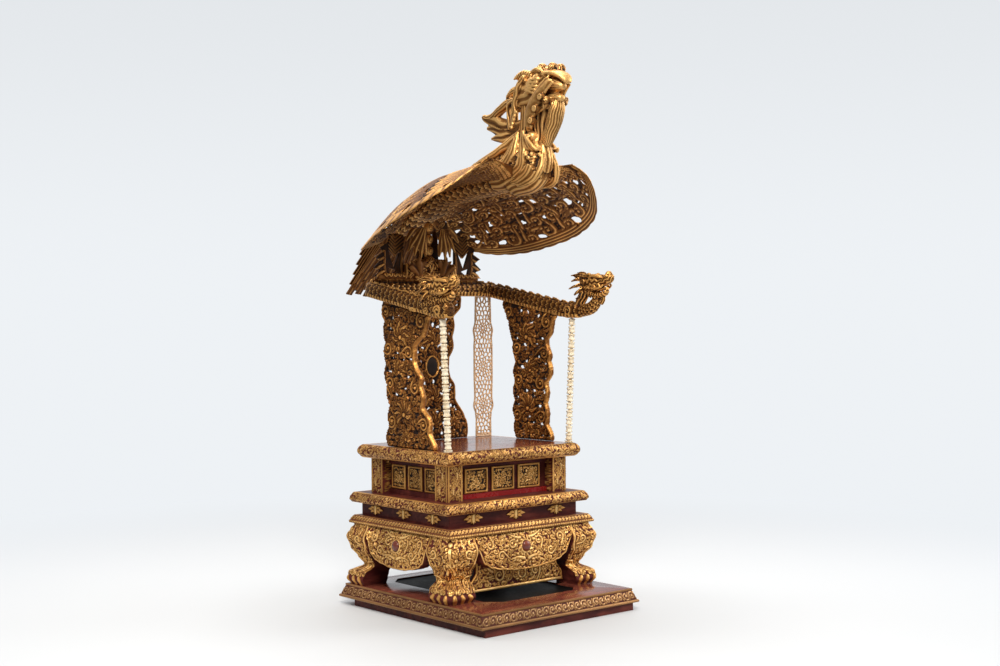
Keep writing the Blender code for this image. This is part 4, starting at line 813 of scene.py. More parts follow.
plinthProfile = [(-0.0012, 0.0), (0.0, 0.0008), (0.0, 0.0034), (-0.0008, 0.0044), (-0.0026, 0.0046),
                 (-0.0052, 0.0120), (-0.0088, 0.0205), (-0.0092, 0.0213), (-0.0086, 0.0226),
                 (-0.0088, 0.0246), (-0.0100, plinthHigh), (-0.0105, plinthHigh)]
openX = plinthHalf.x - plinth["sideRail"]
openFront, openBack = lo.y + plinth["frontRail"], hi.y - plinth["backRail"]
cut = plinth["cornerCut"]
rightHalf = [(openX - cut, openFront), (openX, openFront + cut), (openX, openBack - cut),
             (openX - cut, openBack)]
octagon = np.array(rightHalf + [(-x, y) for x, y in rightHalf[::-1]])
plinthFrame = moulding("plinthMoulding", plinthHalf.x, plinthHalf.y, (hi.y + lo.y) / 2, lo.z, plinthProfile,
                       drawPlinth, plinth["relief"], [wornGold, topLacquer], 0.0019, opening=(octagon, lo.z))
finishPiece(plinthFrame, "bright_gold_leaf", "plinth_frame")

standTop = {"lappetPitch": 0.0055, "curlPitch": 0.0088, "relief": 0.0012, "bandFrom": 0.0062,
            "bandMargin": 0.0038}


def drawStandTop(canvas, around, tall, lengths):
    canvas["height"][:] = 0.55
    clearBand(canvas, 0.0012, 0.0052, 0.05)
    bottom, top = standTop["bandFrom"], tall - standTop["bandMargin"]
    clearBand(canvas, bottom, top, 0.10)
    middle = (bottom + top) / 2
    for k, x, pitch in spaced(lengths, standTop["lappetPitch"]):
        stroke(canvas, [(x - 0.0013, 0.0032), (x + 0.0013, 0.0032)], 0.0015, 0.8)
    for k, x, pitch in spaced(lengths, standTop["curlPitch"]):
        leaf(canvas, x - 0.0044, middle - 0.003, 0.5, 0.0075, 0.8, 2, 0.0010, 0.8)
        curl(canvas, x, middle, 0.0036, 0.6, 1.15, 1, 0.0011, 1.0)


lo, hi = low("stand_top"), high("stand_top")
standProfile = [(-0.0012, 0.0), (-0.0004, 0.0008), (-0.0004, 0.0042), (-0.0020, 0.0052), (-0.0028, 0.0060),
                (-0.0036, 0.0090), (-0.0060, 0.0128), (-0.0074, 0.0141), (-0.0084, 0.0150), (-0.0110, 0.0150)]
standTopPiece = moulding("standTopMoulding", hi.x, (hi.y - lo.y) / 2, (hi.y + lo.y) / 2, lo.z, standProfile,
                         drawStandTop, standTop["relief"], [brightGold, maroonLacquer], 0.0015)
finishPiece(standTopPiece, "bright_gold_leaf", "stand_top")


# A sunk band of leaves and curls: "clear" and "leaves" are its limits above the foot and below the top
def foliageBand(clear, leaves, spacing, seed):
    def draw(canvas, around, tall, lengths):
        canvas["height"][:] = 0.62
        clearBand(canvas, clear[0], tall - clear[1], 0.08)
        bottom, top = leaves[0], tall - leaves[1]
        foliage(canvas, (0, bottom, around, top), spacing, seed, size=1.05, flowers=0.10)
        rng = np.random.default_rng(seed + 7)
        middle = (bottom + top) / 2
        for x in np.arange(0, around, 3.2 * spacing):
            if rng.random() < 0.30:
                stroke(canvas, [(x, middle - 0.001), (x + 1.2 * spacing, middle + 0.001)], [0.0006, 0.0011],
                       0.05)
    return draw


shelf = {"relief": 0.00078, "profile": [
    (-0.0030, 0.0), (0.0022, 0.0), (0.0030, 0.0012), (0.0040, 0.0030), (0.0058, 0.0052), (0.0054, 0.0085),
    (0.0040, 0.0120), (0.0016, 0.0160), (0.0004, 0.0172), (-0.0004, 0.0186), (-0.0018, 0.0190),
    (-0.0050, 0.0190)], "draw": foliageBand((0.0072, 0.0060), (0.0074, 0.0062), 0.0072, 11)}
seat = {"relief": 0.00070, "profile": [
    (-0.0080, 0.0), (-0.0030, 0.0), (-0.0010, 0.0016), (0.0012, 0.0036), (0.0018, 0.0050), (0.0040, 0.0072),
    (0.0052, 0.0105), (0.0052, 0.0140), (0.0040, 0.0180), (0.0018, 0.0215), (-0.0004, 0.0238),
    (-0.0030, 0.0250), (-0.0060, 0.0250)],
    "draw": foliageBand((0.0100, 0.0052), (0.0100, 0.0054), 0.0080, 12)}
for name, values, top, slot in (("shelf", shelf, maroonLacquer, "bright_gold_leaf"),
                                ("seat", seat, crackedLacquer, "red_brown_lacquer")):
    lo, hi = low(name), high(name)
    piece = moulding(name + "Moulding", hi.x - 0.006, (hi.y - lo.y) / 2 - 0.006, 0.0, lo.z, values["profile"],
                     values["draw"], values["relief"], [brightGold, top], 0.0017)
    finishPiece(piece, slot, name)
print("tiers done")


# Stand: legs, aprons and the lower front panel

leg = {"height": 0.116, "width": 0.062, "around": 0.124, "toe": 0.0085, "ankleIn": 0.016, "knee": 0.008,
       "relief": 0.0036}
legWide = [(0.0, 0.0515), (0.09, 0.0534), (0.19, 0.0550), (0.32, 0.0605), (0.45, 0.0610), (0.60, 0.0610),
           (1.0, 0.0620)]
legOut = [(0.0, 0.4 * leg["toe"]), (0.09, leg["toe"]), (0.19, 0.6 * leg["toe"]), (0.32, -leg["ankleIn"]),
          (0.45, -0.5 * leg["ankleIn"]), (0.60, 0.3 * leg["knee"]), (0.78, leg["knee"]),
          (1.0, -0.5 * leg["knee"])]
standHalfX, standHalfY, standY = 0.179, 0.154, -0.006


# A leg's two outer faces unrolled: its corner is at the middle, its toes at the foot
def drawLeg(canvas, seed):
    middle = leg["around"] / 2
    foliage(canvas, (0.0, 0.018, leg["around"], leg["height"]), 0.0086, seed, size=1.05, flowers=0.04)
    for side in (-1, 1):
        edge = middle + side * middle
        rim = [(edge - side * inset, z) for inset, z in ((0.004, 0.114), (0.003, 0.080), (0.010, 0.055),
                                                         (0.004, 0.036))]
        stroke(canvas, rim, [0.003, 0.003, 0.0034, 0.0028], 0.8, groove=0.3)
        curl(canvas, edge - side * 0.020, 0.034, 0.0095, math.pi / 2, 1.4, side, 0.0026, 1.1, tail=0.02)
        curl(canvas, edge - side * 0.022, 0.088, 0.0085, -math.pi / 2, 1.2, -side, 0.0022, 1.0, tail=0.012)
        leaf(canvas, middle + side * 0.008, 0.052, math.pi / 2 + side * 0.2, 0.030, side * 0.7, 3, 0.0030,
             1.0)
    leaf(canvas, middle, 0.100, -math.pi / 2, 0.034, 0.0, 4, 0.0030, 0.95)
    dot(canvas, middle, 0.106, 0.0045, 1.1)
    for side in (-1, 1):
        dot(canvas, middle + side * 0.011, 0.078, 0.0038, 1.1)
        dot(canvas, middle + side * 0.011, 0.078, 0.0016, 0.6, moat=1.0)
    for k in range(6):
        x = 0.011 + 0.0204 * k
        stroke(canvas, [(x + 0.1 * (middle - x), 0.0150), (x, 0.0090), (x, 0.0020)], [0.0034, 0.0058, 0.0056],
               0.66, moat=0.3)
        curl(canvas, x + 0.0102, 0.0215, 0.0046, math.pi / 2, 1.2, 1 if k % 2 else -1, 0.0018, 0.9,
             tail=0.008)


def carvedLeg(name, signX, signY, seed):
    rows, across, inner = 76, 80, 5
    canvas = newCanvas(0, 0, leg["around"], leg["height"])
    drawLeg(canvas, seed)
    deepen(canvas, 12, 1.1)
    place = np.arange(across + 1)
    fade = np.clip(np.minimum(place, across - place) / 3.0, 0, 1)
    points, relief = [], []
    for share in np.arange(rows + 1) / rows:
        wide = float(follow(legWide, share))
        out = float(follow(legOut, share)) - 0.55 * leg["relief"] * min(1.0, 6 * (1 - share))
        innerX, innerY = standHalfX - wide, standHalfY - wide
        outerX, outerY = standHalfX + out, standHalfY + out
        soft = 0.26 * wide
        corner = [(outerX - soft, outerY - soft) + soft * toward(a) for a in np.linspace(0, math.pi / 2, 9)]
        path, normals, _ = resampled([(outerX, innerY), *corner, (innerX, outerY)], 0.0001)
        at = np.linspace(0, len(path) - 1, across + 1).round().astype(int)
        z = share * leg["height"]
        height, tone = (read(canvas, key, np.linspace(0, leg["around"], across + 1), z)
                        for key in ("height", "tone"))
        rise = height * fade * leg["relief"] * min(1.0, 14 * share + 0.25)
        lower = np.column_stack((np.linspace(innerX, outerX, inner + 1)[:-1], np.full(inner, innerY)))
        upper = np.column_stack((np.full(inner - 1, innerX), np.linspace(outerY, innerY, inner + 1)[1:-1]))
        line = np.concatenate((lower, path[at] + normals[at] * rise[:, None], upper))
        points.append(np.column_stack((signX * line[:, 0], standY + signY * line[:, 1],
                                       np.full(len(line), low(name).z + z))))
        relief.append(np.concatenate((np.zeros(inner), tone, np.zeros(inner - 1))))
    count = len(points[0])
    kinds = np.tile(np.concatenate((np.ones(inner), np.zeros(across), np.ones(count - inner - across))), rows)
    piece = makeMesh(name + "_carved", points, tubeFaces(rows + 1, count), [brightGold, maroonLacquer],
                     np.concatenate((kinds, [1, 1])), relief, sharp=math.radians(60))
    finishPiece(faceOutwards(piece), "bright_gold_leaf", name)


for number, (name, signX, signY) in enumerate((("front_left_leg", -1, -1), ("front_right_leg", 1, -1),
                                               ("back_left_leg", -1, 1), ("back_right_leg", 1, 1))):
    carvedLeg(name, signX, signY, 30 + number)

apron = {"thick": 0.020, "drop": 0.071, "endDrop": 0.024, "bulge": 0.006, "relief": 0.0038, "spacing": 0.0084}
apronTable = [(0.0, 1.0), (0.22, 0.99), (0.52, 0.90), (0.70, 0.80), (0.84, 0.62), (1.0, 0.0)]


# A place of a front view, turned to the side that carries it
def turned(side, x, y):
    return {"front": (x, y), "left": (y, -x), "right": (-y, x), "back": (-x, -y)}[side]


def apronDrop(share):
    return apron["endDrop"] + (apron["drop"] - apron["endDrop"]) * follow(apronTable, share)


def drawApron(canvas, half, seed):
    foliage(canvas, (-half, -apron["drop"], half, 0), apron["spacing"], seed, size=1.06, flowers=0.03)
    for side in (-1, 1):
        for x, y, radius, hand in ((0.28, -0.020, 0.011, 1), (0.52, -0.040, 0.010, -1),
                                   (0.74, -0.018, 0.010, 1)):
            curl(canvas, side * x * half, y, 0.85 * radius, -side * 0.6, 1.3, hand * side, 0.0022, 0.95,
                 tail=0.014)
        leaf(canvas, side * 0.05 * half, -0.050, math.pi / 2 - side * 1.1, 0.034, -side * 0.8, 3, 0.0030, 1.0)
        leaf(canvas, side * 0.10 * half, -0.012, math.pi / 2 - side * 1.5, 0.030, side * 0.5, 3, 0.0028, 1.0)
    boss = np.array((0, -0.028))
    for angle in np.arange(12) * math.pi / 6:
        stroke(canvas, [boss + 0.0130 * toward(angle), boss + 0.0190 * toward(angle + 0.25)],
               [0.0022, 0.0012], 0.9, groove=-0.3)
    ring(canvas, *boss, 0.0118, 0.0015, 1.0)
    x = np.linspace(-half, half, 60)
    stroke(canvas, np.column_stack((x, -apronDrop(abs(x) / half) + 0.0018)), 0.0016, 0.60, flat=0.6)


def carvedApron(side, half, faceOut, seed, step=0.0015):
    name = side + "_apron"
    canvas = newCanvas(-half, -apron["drop"], half, 0)
    drawApron(canvas, half, seed)
    deepen(canvas, 12, 1.1)
    s, t = np.meshgrid(np.linspace(-1, 1, int(2 * half / step) + 1),
                       np.linspace(0, 1, int(apron["drop"] / step) + 1))
    x = half * s
    drop = -apronDrop(abs(s)) * (1 - t)
    edge = np.clip(np.minimum((1 - abs(s)) * half, (1 - t) * 0.03) / 0.002, 0, 1)
    swell = apron["bulge"] * (np.sin(math.pi * (0.15 + 0.85 * t)) - 0.67 * t)
    front = -faceOut - swell + apron["relief"] * (0.5 - read(canvas, "height", x, drop) * edge)
    back = np.full_like(x, apron["thick"] - faceOut)
    faces = []
    for y in (front, back):
        placeX, placeY = turned(side, x, y)
        faces.append(np.stack((placeX, standY + placeY, high(name).z + drop), -1))
    piece = slabPiece(name + "_carved", *faces, [brightGold, maroonLacquer], read(canvas, "tone", x, drop),
                      math.radians(70), 1)
    finishPiece(piece, "bright_gold_leaf", name)


longHalf, shortHalf = standHalfX - leg["width"] - gap, standHalfY - leg["width"] - gap
carvedApron("front", longHalf, standHalfY, 51)
carvedApron("left", shortHalf, standHalfX, 52)
carvedApron("right", shortHalf, standHalfX, 53)
carvedApron("back", longHalf, standHalfY, 54, 0.0022)

ballMesh = bpy.data.meshes.new("ball shape")
bm = bmesh.new()
bmesh.ops.create_uvsphere(bm, u_segments=20, v_segments=10, radius=1.0)
bm.to_mesh(ballMesh)
bm.free()
ballMesh.polygons.foreach_set("use_smooth", np.full(len(ballMesh.polygons), True))
ballShape = bpy.data.objects.new("ball shape", ballMesh)
bossOut, bossHigh = 0.0035, 0.1286
bossPlaces = [(0.0, standY - standHalfY - bossOut, bossHigh), (0.0, standY + standHalfY + bossOut, bossHigh),
              (-standHalfX - bossOut, standY, bossHigh), (standHalfX + bossOut, standY, bossHigh)]
bosses = repeated("apronBosses", ballShape, bossPlaces, (0, 0, 0),
                  [(0.0100, 0.0050, 0.0100)] * 2 + [(0.0050, 0.0100, 0.0100)] * 2, topLacquer)
finishPiece(bosses, "red_brown_lacquer")

lowerPanel = {"relief": 0.0030, "step": 0.0016, "rim": 0.96, "proud": 0.0052}
lo, hi = low("lower_front_panel"), high("lower_front_panel")
panelTable = [(0.0, 1.0), (0.12, 0.99), (0.35, 0.86), (0.5, 0.86), (0.62, 0.96), (1.0, 0.99)]
reachX, tall = standHalfX - leg["width"] - 2 * gap, hi.z - lo.z
canvas = newCanvas(-reachX, 0, reachX, tall)
foliage(canvas, (-reachX, 0.006, reachX, tall), 0.0110, 61, size=1.15, flowers=0.10)
for side in (-1, 1):
    curl(canvas, side * 0.045, 0.026, 0.012, -side * 0.6, 1.3, side, 0.0026, 1.05, tail=0.02)
    leaf(canvas, side * 0.062, 0.034, 0.4 if side > 0 else math.pi - 0.4, 0.032, side * 0.8, 3, 0.003, 1.0)
ring(canvas, 0.011, 0.0245, 0.0088, 0.0018, 1.1)
flower(canvas, 0.011, 0.0245, 0.0060, 6, 0.9)
stroke(canvas, [(-reachX, 0.003), (reachX, 0.003)], 0.0028, 0.75, flat=0.6)
deepen(canvas, 12, 0.8)
s, t = np.meshgrid(np.linspace(-1, 1, int(2 * reachX / lowerPanel["step"])),
                   np.linspace(0, 1, int(tall / lowerPanel["step"])))
x = s * reachX * follow(panelTable, t)
rimBand = smoothStep(abs(s), lowerPanel["rim"] - 0.005, lowerPanel["rim"] + 0.005)
height = np.maximum(read(canvas, "height", x, t * tall) * (1 - rimBand), 0.75 * rimBand)
tone = np.maximum(read(canvas, "tone", x, t * tall) * (1 - rimBand), 0.6 * rimBand)
edge = np.clip((1 - abs(s)) * reachX / 0.002, 0, 1)
front, back = (np.stack((x, hi.y - out, lo.z + t * tall), -1)
               for out in (lowerPanel["proud"] + height * edge * lowerPanel["relief"], 0 * x))
panelPiece = slabPiece("lowerPanelCarving", front, back, [brightGold, maroonLacquer], tone, math.radians(70),
                       1)
finishPiece(panelPiece, "bright_gold_leaf", "lower_front_panel")
print("stand done")


# Box: framework, corner posts and small panels

box = {"post": 0.038, "recess": 0.020, "proud": 0.004, "rail": 0.009, "panelDeep": 0.004, "panelStep": 0.0014}
boxHalfX, boxHalfY = 0.1485, 0.1165
coreLow, coreHigh = low("box_core").z, high("box_core").z
notchX, notchY = boxHalfX - box["post"] - gap, boxHalfY - box["post"] - gap
rings = []
for z, proud in ((coreLow, box["proud"]), (coreLow + box["rail"], box["proud"]), (coreLow + box["rail"], 0.0),
                 (coreHigh - box["rail"], 0.0), (coreHigh - box["rail"], box["proud"]),
                 (coreHigh, box["proud"])):
    halfX, halfY = boxHalfX - box["recess"] + proud, boxHalfY - box["recess"] + proud
    half = [(notchX, -halfY), (notchX, -notchY), (halfX, -notchY), (halfX, notchY), (notchX, notchY),
            (notchX, halfY)]
    rings.append([(x, y, z) for x, y in half + [(-x, -y) for x, y in half]])
count = len(rings[0])
faces = tubeFaces(len(rings), count)
kinds = np.zeros(len(faces[0]) + 2)
kinds[[count - 1, 2 * count - 1]] = 1
core = makeMesh("boxFramework", rings, faces, [maroonLacquer, redLacquer], kinds, smooth=False)
finishPiece(faceOutwards(core), "dark_maroon_lacquer", "box_core")


def drawBoxPost(canvas, around, tall, lengths):
    start = 0.0
    canvas["height"][:] = 0.10
    for k, length in enumerate(lengths):
        middle = start + length / 2
        foliage(canvas, (start + 0.003, 0.002, start + length - 0.003, tall - 0.002), 0.0078, 70 + k,
                size=1.1)
        for edge in (start + 0.0024, start + length - 0.0024):
            stroke(canvas, [(edge, 0.0), (edge, tall)], 0.0022, 0.62, flat=0.7)
        flower(canvas, middle, 0.5 * tall, 0.0085, 7, 1.0, 0.2, 2)
        leaf(canvas, middle - 0.004, 0.014, 1.9, 0.016, -0.8, 3, 0.0019, 1.0)
        leaf(canvas, middle + 0.004, tall - 0.014, -1.2, 0.016, -0.8, 3, 0.0019, 1.0)
        start += length


# The posts' inner sides don't show, so they have fewer steps
for name in ("front_left_box_post", "front_right_box_post", "back_left_box_post", "back_right_box_post"):
    lo, hi = low(name), high(name)
    centre = (lo + hi) / 2
    half = box["post"] / 2 - 0.0012
    counts = [26 if outer else 6 for outer in (centre.y < 0, centre.x > 0, centre.y > 0, centre.x < 0)]
    piece = moulding(name + "_carved", half, half, 0.0, lo.z, [(0.0, 0.0), (0.0, hi.z - lo.z)], drawBoxPost,
                     0.0014, [brightGold, maroonLacquer], 0.0015, counts)
    movePoints(piece, lambda points: points + np.array((centre.x, centre.y, 0.0)))
    finishPiece(piece, "bright_gold_leaf", name)


# The middle of a side piece's back face, where it is mounted
def mountPoint(name, side):
    point = (low(name) + high(name)) / 2
    if side == "front":
        point.y = high(name).y
    else:
        point.x = high(name).x if side == "left" else low(name).x
    return point


def boxPanel(side, number):
    name = side + "_box_panel_" + str(number)
    size = high(name) - low(name)
    halfWide, halfHigh = (size.x if side == "front" else size.y) / 2, size.z / 2
    canvas = newCanvas(-halfWide, -halfHigh, halfWide, halfHigh)
    foliage(canvas, (0.005 - halfWide, 0.005 - halfHigh, halfWide - 0.005, halfHigh - 0.005), 0.0068,
            80 + number, size=1.1)
    if number % 2 == 0:
        flower(canvas, 0, 0, 0.0080, 7, 1.0, 0.3, 2)
    else:
        palmette(canvas, 0.001 * (number - 2), -0.009, 0.016, math.pi / 2 + 0.2 * (number - 2), 7, 1.3)
        dot(canvas, 0.006 * (2 - number), 0.009, 0.0030, 1.0)
    deepen(canvas, 12, 0.8)
    u, v = np.meshgrid(*(np.linspace(-half, half, int(2 * half / box["panelStep"]))
                         for half in (halfWide, halfHigh)))
    inset = np.minimum(halfWide - abs(u), halfHigh - abs(v))
    isFrame = smoothStep(inset, 0.0032, 0.0040) < 0.5
    field = smoothStep(inset, 0.0040, 0.0056)
    level = np.where(isFrame, 0.72, read(canvas, "tone", u, v) * field)
    rise = np.where(isFrame, 1.0, 0.30 + 0.62 * read(canvas, "height", u, v) * field)
    rise = box["panelDeep"] * np.where(inset < 0.0006, 0.75, rise)
    centre = mountPoint(name, side)
    faces = []
    for out in (rise, 0 * rise):
        x, y = turned(side, u, -out)
        faces.append(np.stack((centre.x + x, centre.y + y, centre.z + v), -1))
    piece = slabPiece(name + "_carved", *faces, [panelGold, maroonLacquer], level, math.radians(60))
    finishPiece(piece, "bright_gold_leaf", name)


for side in ("front", "left", "right"):
    for number in (1, 2, 3):
        boxPanel(side, number)


# Bat mounts on the waist. Each feather has its root, its tip and its half widths.

feathers = (((0.0020, 0.0012), (0.0222, 0.0008), (0.0034, 0.0042, 0.0014)),
            ((0.0030, 0.0030), (0.0150, 0.0062), (0.0022, 0.0028, 0.0010)),
            ((0.0030, -0.0016), (0.0150, -0.0050), (0.0026, 0.0032, 0.0012)),
            ((0.0012, 0.0050), (0.0052, 0.0084), (0.0018, 0.0018, 0.0009)),
            ((0.0012, -0.0050), (0.0056, -0.0080), (0.0018, 0.0020, 0.0009)))
batCanvas = newCanvas(-0.026, -0.013, 0.026, 0.013, 0.0003)
for side in (-1, 1):
    for root, tip, half in feathers:
        middle = (side * (root[0] + tip[0]) / 2, (root[1] + tip[1]) / 2 + 0.0010)
        stroke(batCanvas, [(side * root[0], root[1]), middle, (side * tip[0], tip[1])], half, 0.9,
               groove=-0.35, moat=0.3)
stroke(batCanvas, [(0, 0.0066), (0, 0.0), (0, -0.0080)], [0.0030, 0.0040, 0.0022], 1.15)


def batField(x, y):
    return read(batCanvas, "cover", x, y)


def batPlace(x, y, side):
    rise = read(batCanvas, "height", x, y) * (side > 0)
    return np.column_stack((x, -(side > 0) * (0.0006 + 0.0016 * rise), y)), rise


batPiece = piercedPiece("bat shape", (-0.023, -0.0095, 0.023, 0.0095), 0.0013, batField, batPlace,
                        [brightGold])
names, places, turns = [], [], []
for side, turn in (("front", 0.0), ("left", -math.pi / 2), ("right", math.pi / 2)):
    for number in (1, 2, 3):
        names.append(side + "_bat_" + str(number))
        places.append(mountPoint(names[-1], side))
        turns.append((0, 0, turn))
bats = repeated("batMounts", batPiece, places, turns, (1, 1, 1), brightGold)
discard(batPiece)
finishPiece(bats, "bright_gold_leaf", *names)
print("box and waist done")


# Pierced boards round the seat

armX, armBackY, postY, postRadius = 0.157, 0.121, -0.1215, 0.0066
seatTop = high("seat").z
postTopZ = high("left_bone_post").z


# The arm's underside rises towards the back
def armUnder(y):
    return postTopZ + gap + np.maximum(0.0, np.asarray(y) - postY - postRadius) * 0.19873


def scallop(t, lobes, depth):
    return depth * (abs(np.sin(math.pi * lobes * t)) - 0.6)


board = {"thick": 0.012, "cell": 0.0018, "spacing": 0.0128, "rim": 0.0033, "medallion": 0.034, "bead": 0.0036,
         "rimThick": 0.50, "open": 0.85, "half": 0.132, "margin": 0.009}
backEdges = {"left": [(0.0, 0.44), (0.25, 0.39), (0.5, 0.47), (0.75, 0.49), (1.0, 0.53)],
             "right": [(0.0, 0.25), (0.18, 0.28), (0.42, 0.27), (0.6, 0.26), (0.75, 0.32), (0.9, 0.43),
                       (1.0, 0.54)]}
frontEdges = {"left": [(0.0, -0.68), (0.12, -0.59), (0.22, -0.55), (0.32, -0.42), (0.5, -0.39), (0.60, -0.26),
                       (0.72, -0.22), (0.84, -0.45), (1.0, -0.58)],
              "right": [(0.0, -0.58), (0.20, -0.49), (0.42, -0.49), (0.55, -0.57), (0.65, -0.57),
                        (0.75, -0.50), (0.87, -0.58), (1.0, -0.68)]}
boardBottom = seatTop + gap


# Holes where the carving leaves bare ground: the lowest of some random places in each square
def openings(canvas, box, inside, spacing, seed):
    rng = np.random.default_rng(seed)
    left, bottom, right, top = box
    found = []
    for row in range(int((top - bottom) / spacing)):
        for column in range(int((right - left) / spacing) + 1):
            x = left + spacing * (column + 0.5 * (row % 2) + rng.uniform(0.1, 0.9, 24))
            y = bottom + spacing * (row + rng.uniform(0.1, 0.9, 24))
            lowest = np.argmin(read(canvas, "cover", x, y) + np.where(inside(x, y) > board["margin"], 0, 1))
            if inside(x[lowest], y[lowest]) > board["margin"] and rng.random() < board["open"]:
                found.append((x[lowest], y[lowest], rng.uniform(0.0042, 0.0066)))
    return found


def pierced(canvas, holes, x, y):
    clear = np.full(np.shape(x), 0.02)
    for holeX, holeY, radius in holes:
        clear = np.minimum(clear, np.hypot(x - holeX, y - holeY) - radius)
    return np.maximum(read(canvas, "cover", x, y) - 0.0003, clear)


# Half the thickness of a board: a round gilded edge, then the carved field
def boardDepth(canvas, x, y, edge, full):
    field = 0.36 + 0.60 * read(canvas, "height", x, y)
    bead = np.clip(edge / board["bead"], 0, 1)
    rounded = board["rimThick"] * np.sqrt(np.clip(1 - (1 - bead) ** 2, 0.02, 1))
    return full * np.where(bead < 1, rounded, field)


# Leaf scrolls over a board. inside(x, y) is the distance to its edge.
def boardCanvas(box, inside, seed):
    canvas = newCanvas(*box)
    foliage(canvas, box, board["spacing"], seed, lambda x, y: inside(x, y) > -0.002, 0.98, flowers=0.0)
    return canvas


def sideBoard(side, sign):
    name = side + "_side_board"
    lo, hi = low(name), high(name)
    centreX, halfThick = (lo.x + hi.x) / 2, (hi.x - lo.x) / 2 - 1e-5

    def edges(t):
        back = board["half"] * follow(backEdges[side], t) + scallop(t, 7, 0.006)
        front = board["half"] * follow(frontEdges[side], t) - scallop(t + 0.04, 6, 0.006)
        return front, back

    def inside(y, z):
        t = (z - boardBottom) / (armUnder(y) - gap - boardBottom)
        front, back = edges(np.clip(t, 0, 1))
        return np.minimum(np.minimum(y - front, back - y), np.minimum(t, 1 - t) * (armUnder(y) - boardBottom))

    def field(y, z):
        return np.minimum(pierced(canvas, holes, y, z), inside(y, z))

    def place(y, z, face):
        half = boardDepth(canvas, y, z, inside(y, z), halfThick)
        return np.column_stack((centreX + face * half, y, z)), read(canvas, "tone", y, z)

    box = (lo.y, lo.z, hi.y, hi.z)
    canvas = boardCanvas(box, inside, 101 + sign)
    t = np.linspace(0, 1, 90)
    front, back = edges(t)
    for edge, other, width in ((front, back, board["rim"]), (back, front, board["rim"] * 0.8)):
        y = edge + np.sign(other - edge) * width * 0.9
        stroke(canvas, np.stack((y, boardBottom + (armUnder(y) - gap - boardBottom) * t), 1), width, 0.74,
               flat=0.5)
    for height, reach in ((0.82, 1.0), (0.56, 0.72), (0.28, 1.0), (0.09, 0.6)):
        y = sum(edges(height)) / 2 + 0.006
        z = boardBottom + height * (float(armUnder(y)) - boardBottom) - 0.012 * reach
        palmette(canvas, y, z, board["medallion"] * reach, math.pi / 2, 11, 1.9, 1 if height > 0.5 else -1)
    for height, hand in ((0.68, 1), (0.44, -1), (0.18, 1), (0.93, -1)):
        front, back = edges(height)
        for y, turn in ((front + 0.018, 1), (back - 0.016, -1)):
            z = boardBottom + height * (float(armUnder(y)) - boardBottom)
            curl(canvas, y, z, 0.0125, turn * 0.8, 1.4, hand * turn, 0.0027, 1.0, tail=0.02)
    deepen(canvas)
    holes = openings(canvas, box, inside, 0.0185, 31 + sign)
    piece = piercedPiece(name + "_carved", box, board["cell"], field, place, [boardGold])
    finishPiece(piece, "antique_gilding", name)


sideBoard("left", -1)
sideBoard("right", 1)

backBoard = {"cell": 0.0019, "discWide": 0.017, "discHigh": 0.022, "discAt": 0.51, "rim": 0.0034, "y": 0.115}
backTable = [(0.0, 0.094), (0.11, 0.092), (0.28, 0.064), (0.36, 0.060), (0.50, 0.044), (0.66, 0.057),
             (0.84, 0.060), (0.93, 0.076), (1.0, 0.080)]
lo, hi = low("back_board"), high("back_board")
backY = backBoard["y"]
backTop = float(armUnder(backY)) - gap
backTall = backTop - boardBottom
discZ = seatTop + backBoard["discAt"] * (backTop + gap - seatTop)


def backHalf(t):
    return follow(backTable, t) + scallop(t, 7, 0.004)


def backInside(x, z):
    t = (z - boardBottom) / backTall
    return np.minimum(backHalf(np.clip(t, 0, 1)) - abs(x), np.minimum(t, 1 - t) * backTall)


def backDisc(x, z):
    return np.hypot(x / backBoard["discWide"], (z - discZ) / backBoard["discHigh"])


def backField(x, z):
    wood = np.maximum(pierced(backCanvas, backHoles, x, z), 0.02 * (1.12 - backDisc(x, z)))
    return np.minimum(wood, backInside(x, z))


def backPlace(x, z, face):
    half = boardDepth(backCanvas, x, z, backInside(x, z), 0.5 * board["thick"] - 1e-5)
    half = np.where(backDisc(x, z) < 0.84, 0.2 * board["thick"], half)
    return np.column_stack((x, backY - face * half, z)), read(backCanvas, "tone", x, z)


backBox = (lo.x, lo.z, hi.x, hi.z)
backCanvas = boardCanvas(backBox, backInside, 111)
t = np.linspace(0, 1, 90)
for side in (-1, 1):
    rimLine = np.stack((side * (backHalf(t) - backBoard["rim"]), boardBottom + backTall * t), 1)
    stroke(backCanvas, rimLine, backBoard["rim"], 0.74, flat=0.5)
for height, x, reach in ((0.14, 0.0, 0.95), (0.12, -0.055, 0.6), (0.12, 0.055, 0.6), (0.32, 0.0, 0.9),
                         (0.70, 0.0, 0.85), (0.90, -0.035, 0.85), (0.90, 0.035, 0.85)):
    z = boardBottom + height * backTall - 0.010 * reach
    palmette(backCanvas, x, z, board["medallion"] * reach, math.pi / 2, 11, 1.9, 1 if x < 0.01 else -1)
ring(backCanvas, 0, discZ, backBoard["discWide"] * 0.93, 0.0021, 1.15,
     backBoard["discHigh"] / backBoard["discWide"])
deepen(backCanvas)
backHoles = openings(backCanvas, backBox, backInside, 0.021, 37)
piece = piercedPiece("back_board_carved", (lo.x, boardBottom, hi.x, backTop), backBoard["cell"], backField,
                     backPlace, [boardGold])
finishPiece(piece, "antique_gilding", "back_board")
discPlaces = [(0, backY + out, discZ) for out in (-0.0026, 0.0026)]
disc = repeated("backBoardDisc", ballShape, discPlaces, (0, 0, 0), (0.0142, 0.0036, 0.0184), discLacquer)
finishPiece(disc, "dark_maroon_lacquer")


# Pale fretwork splat: veins run half way between neighbouring seeds

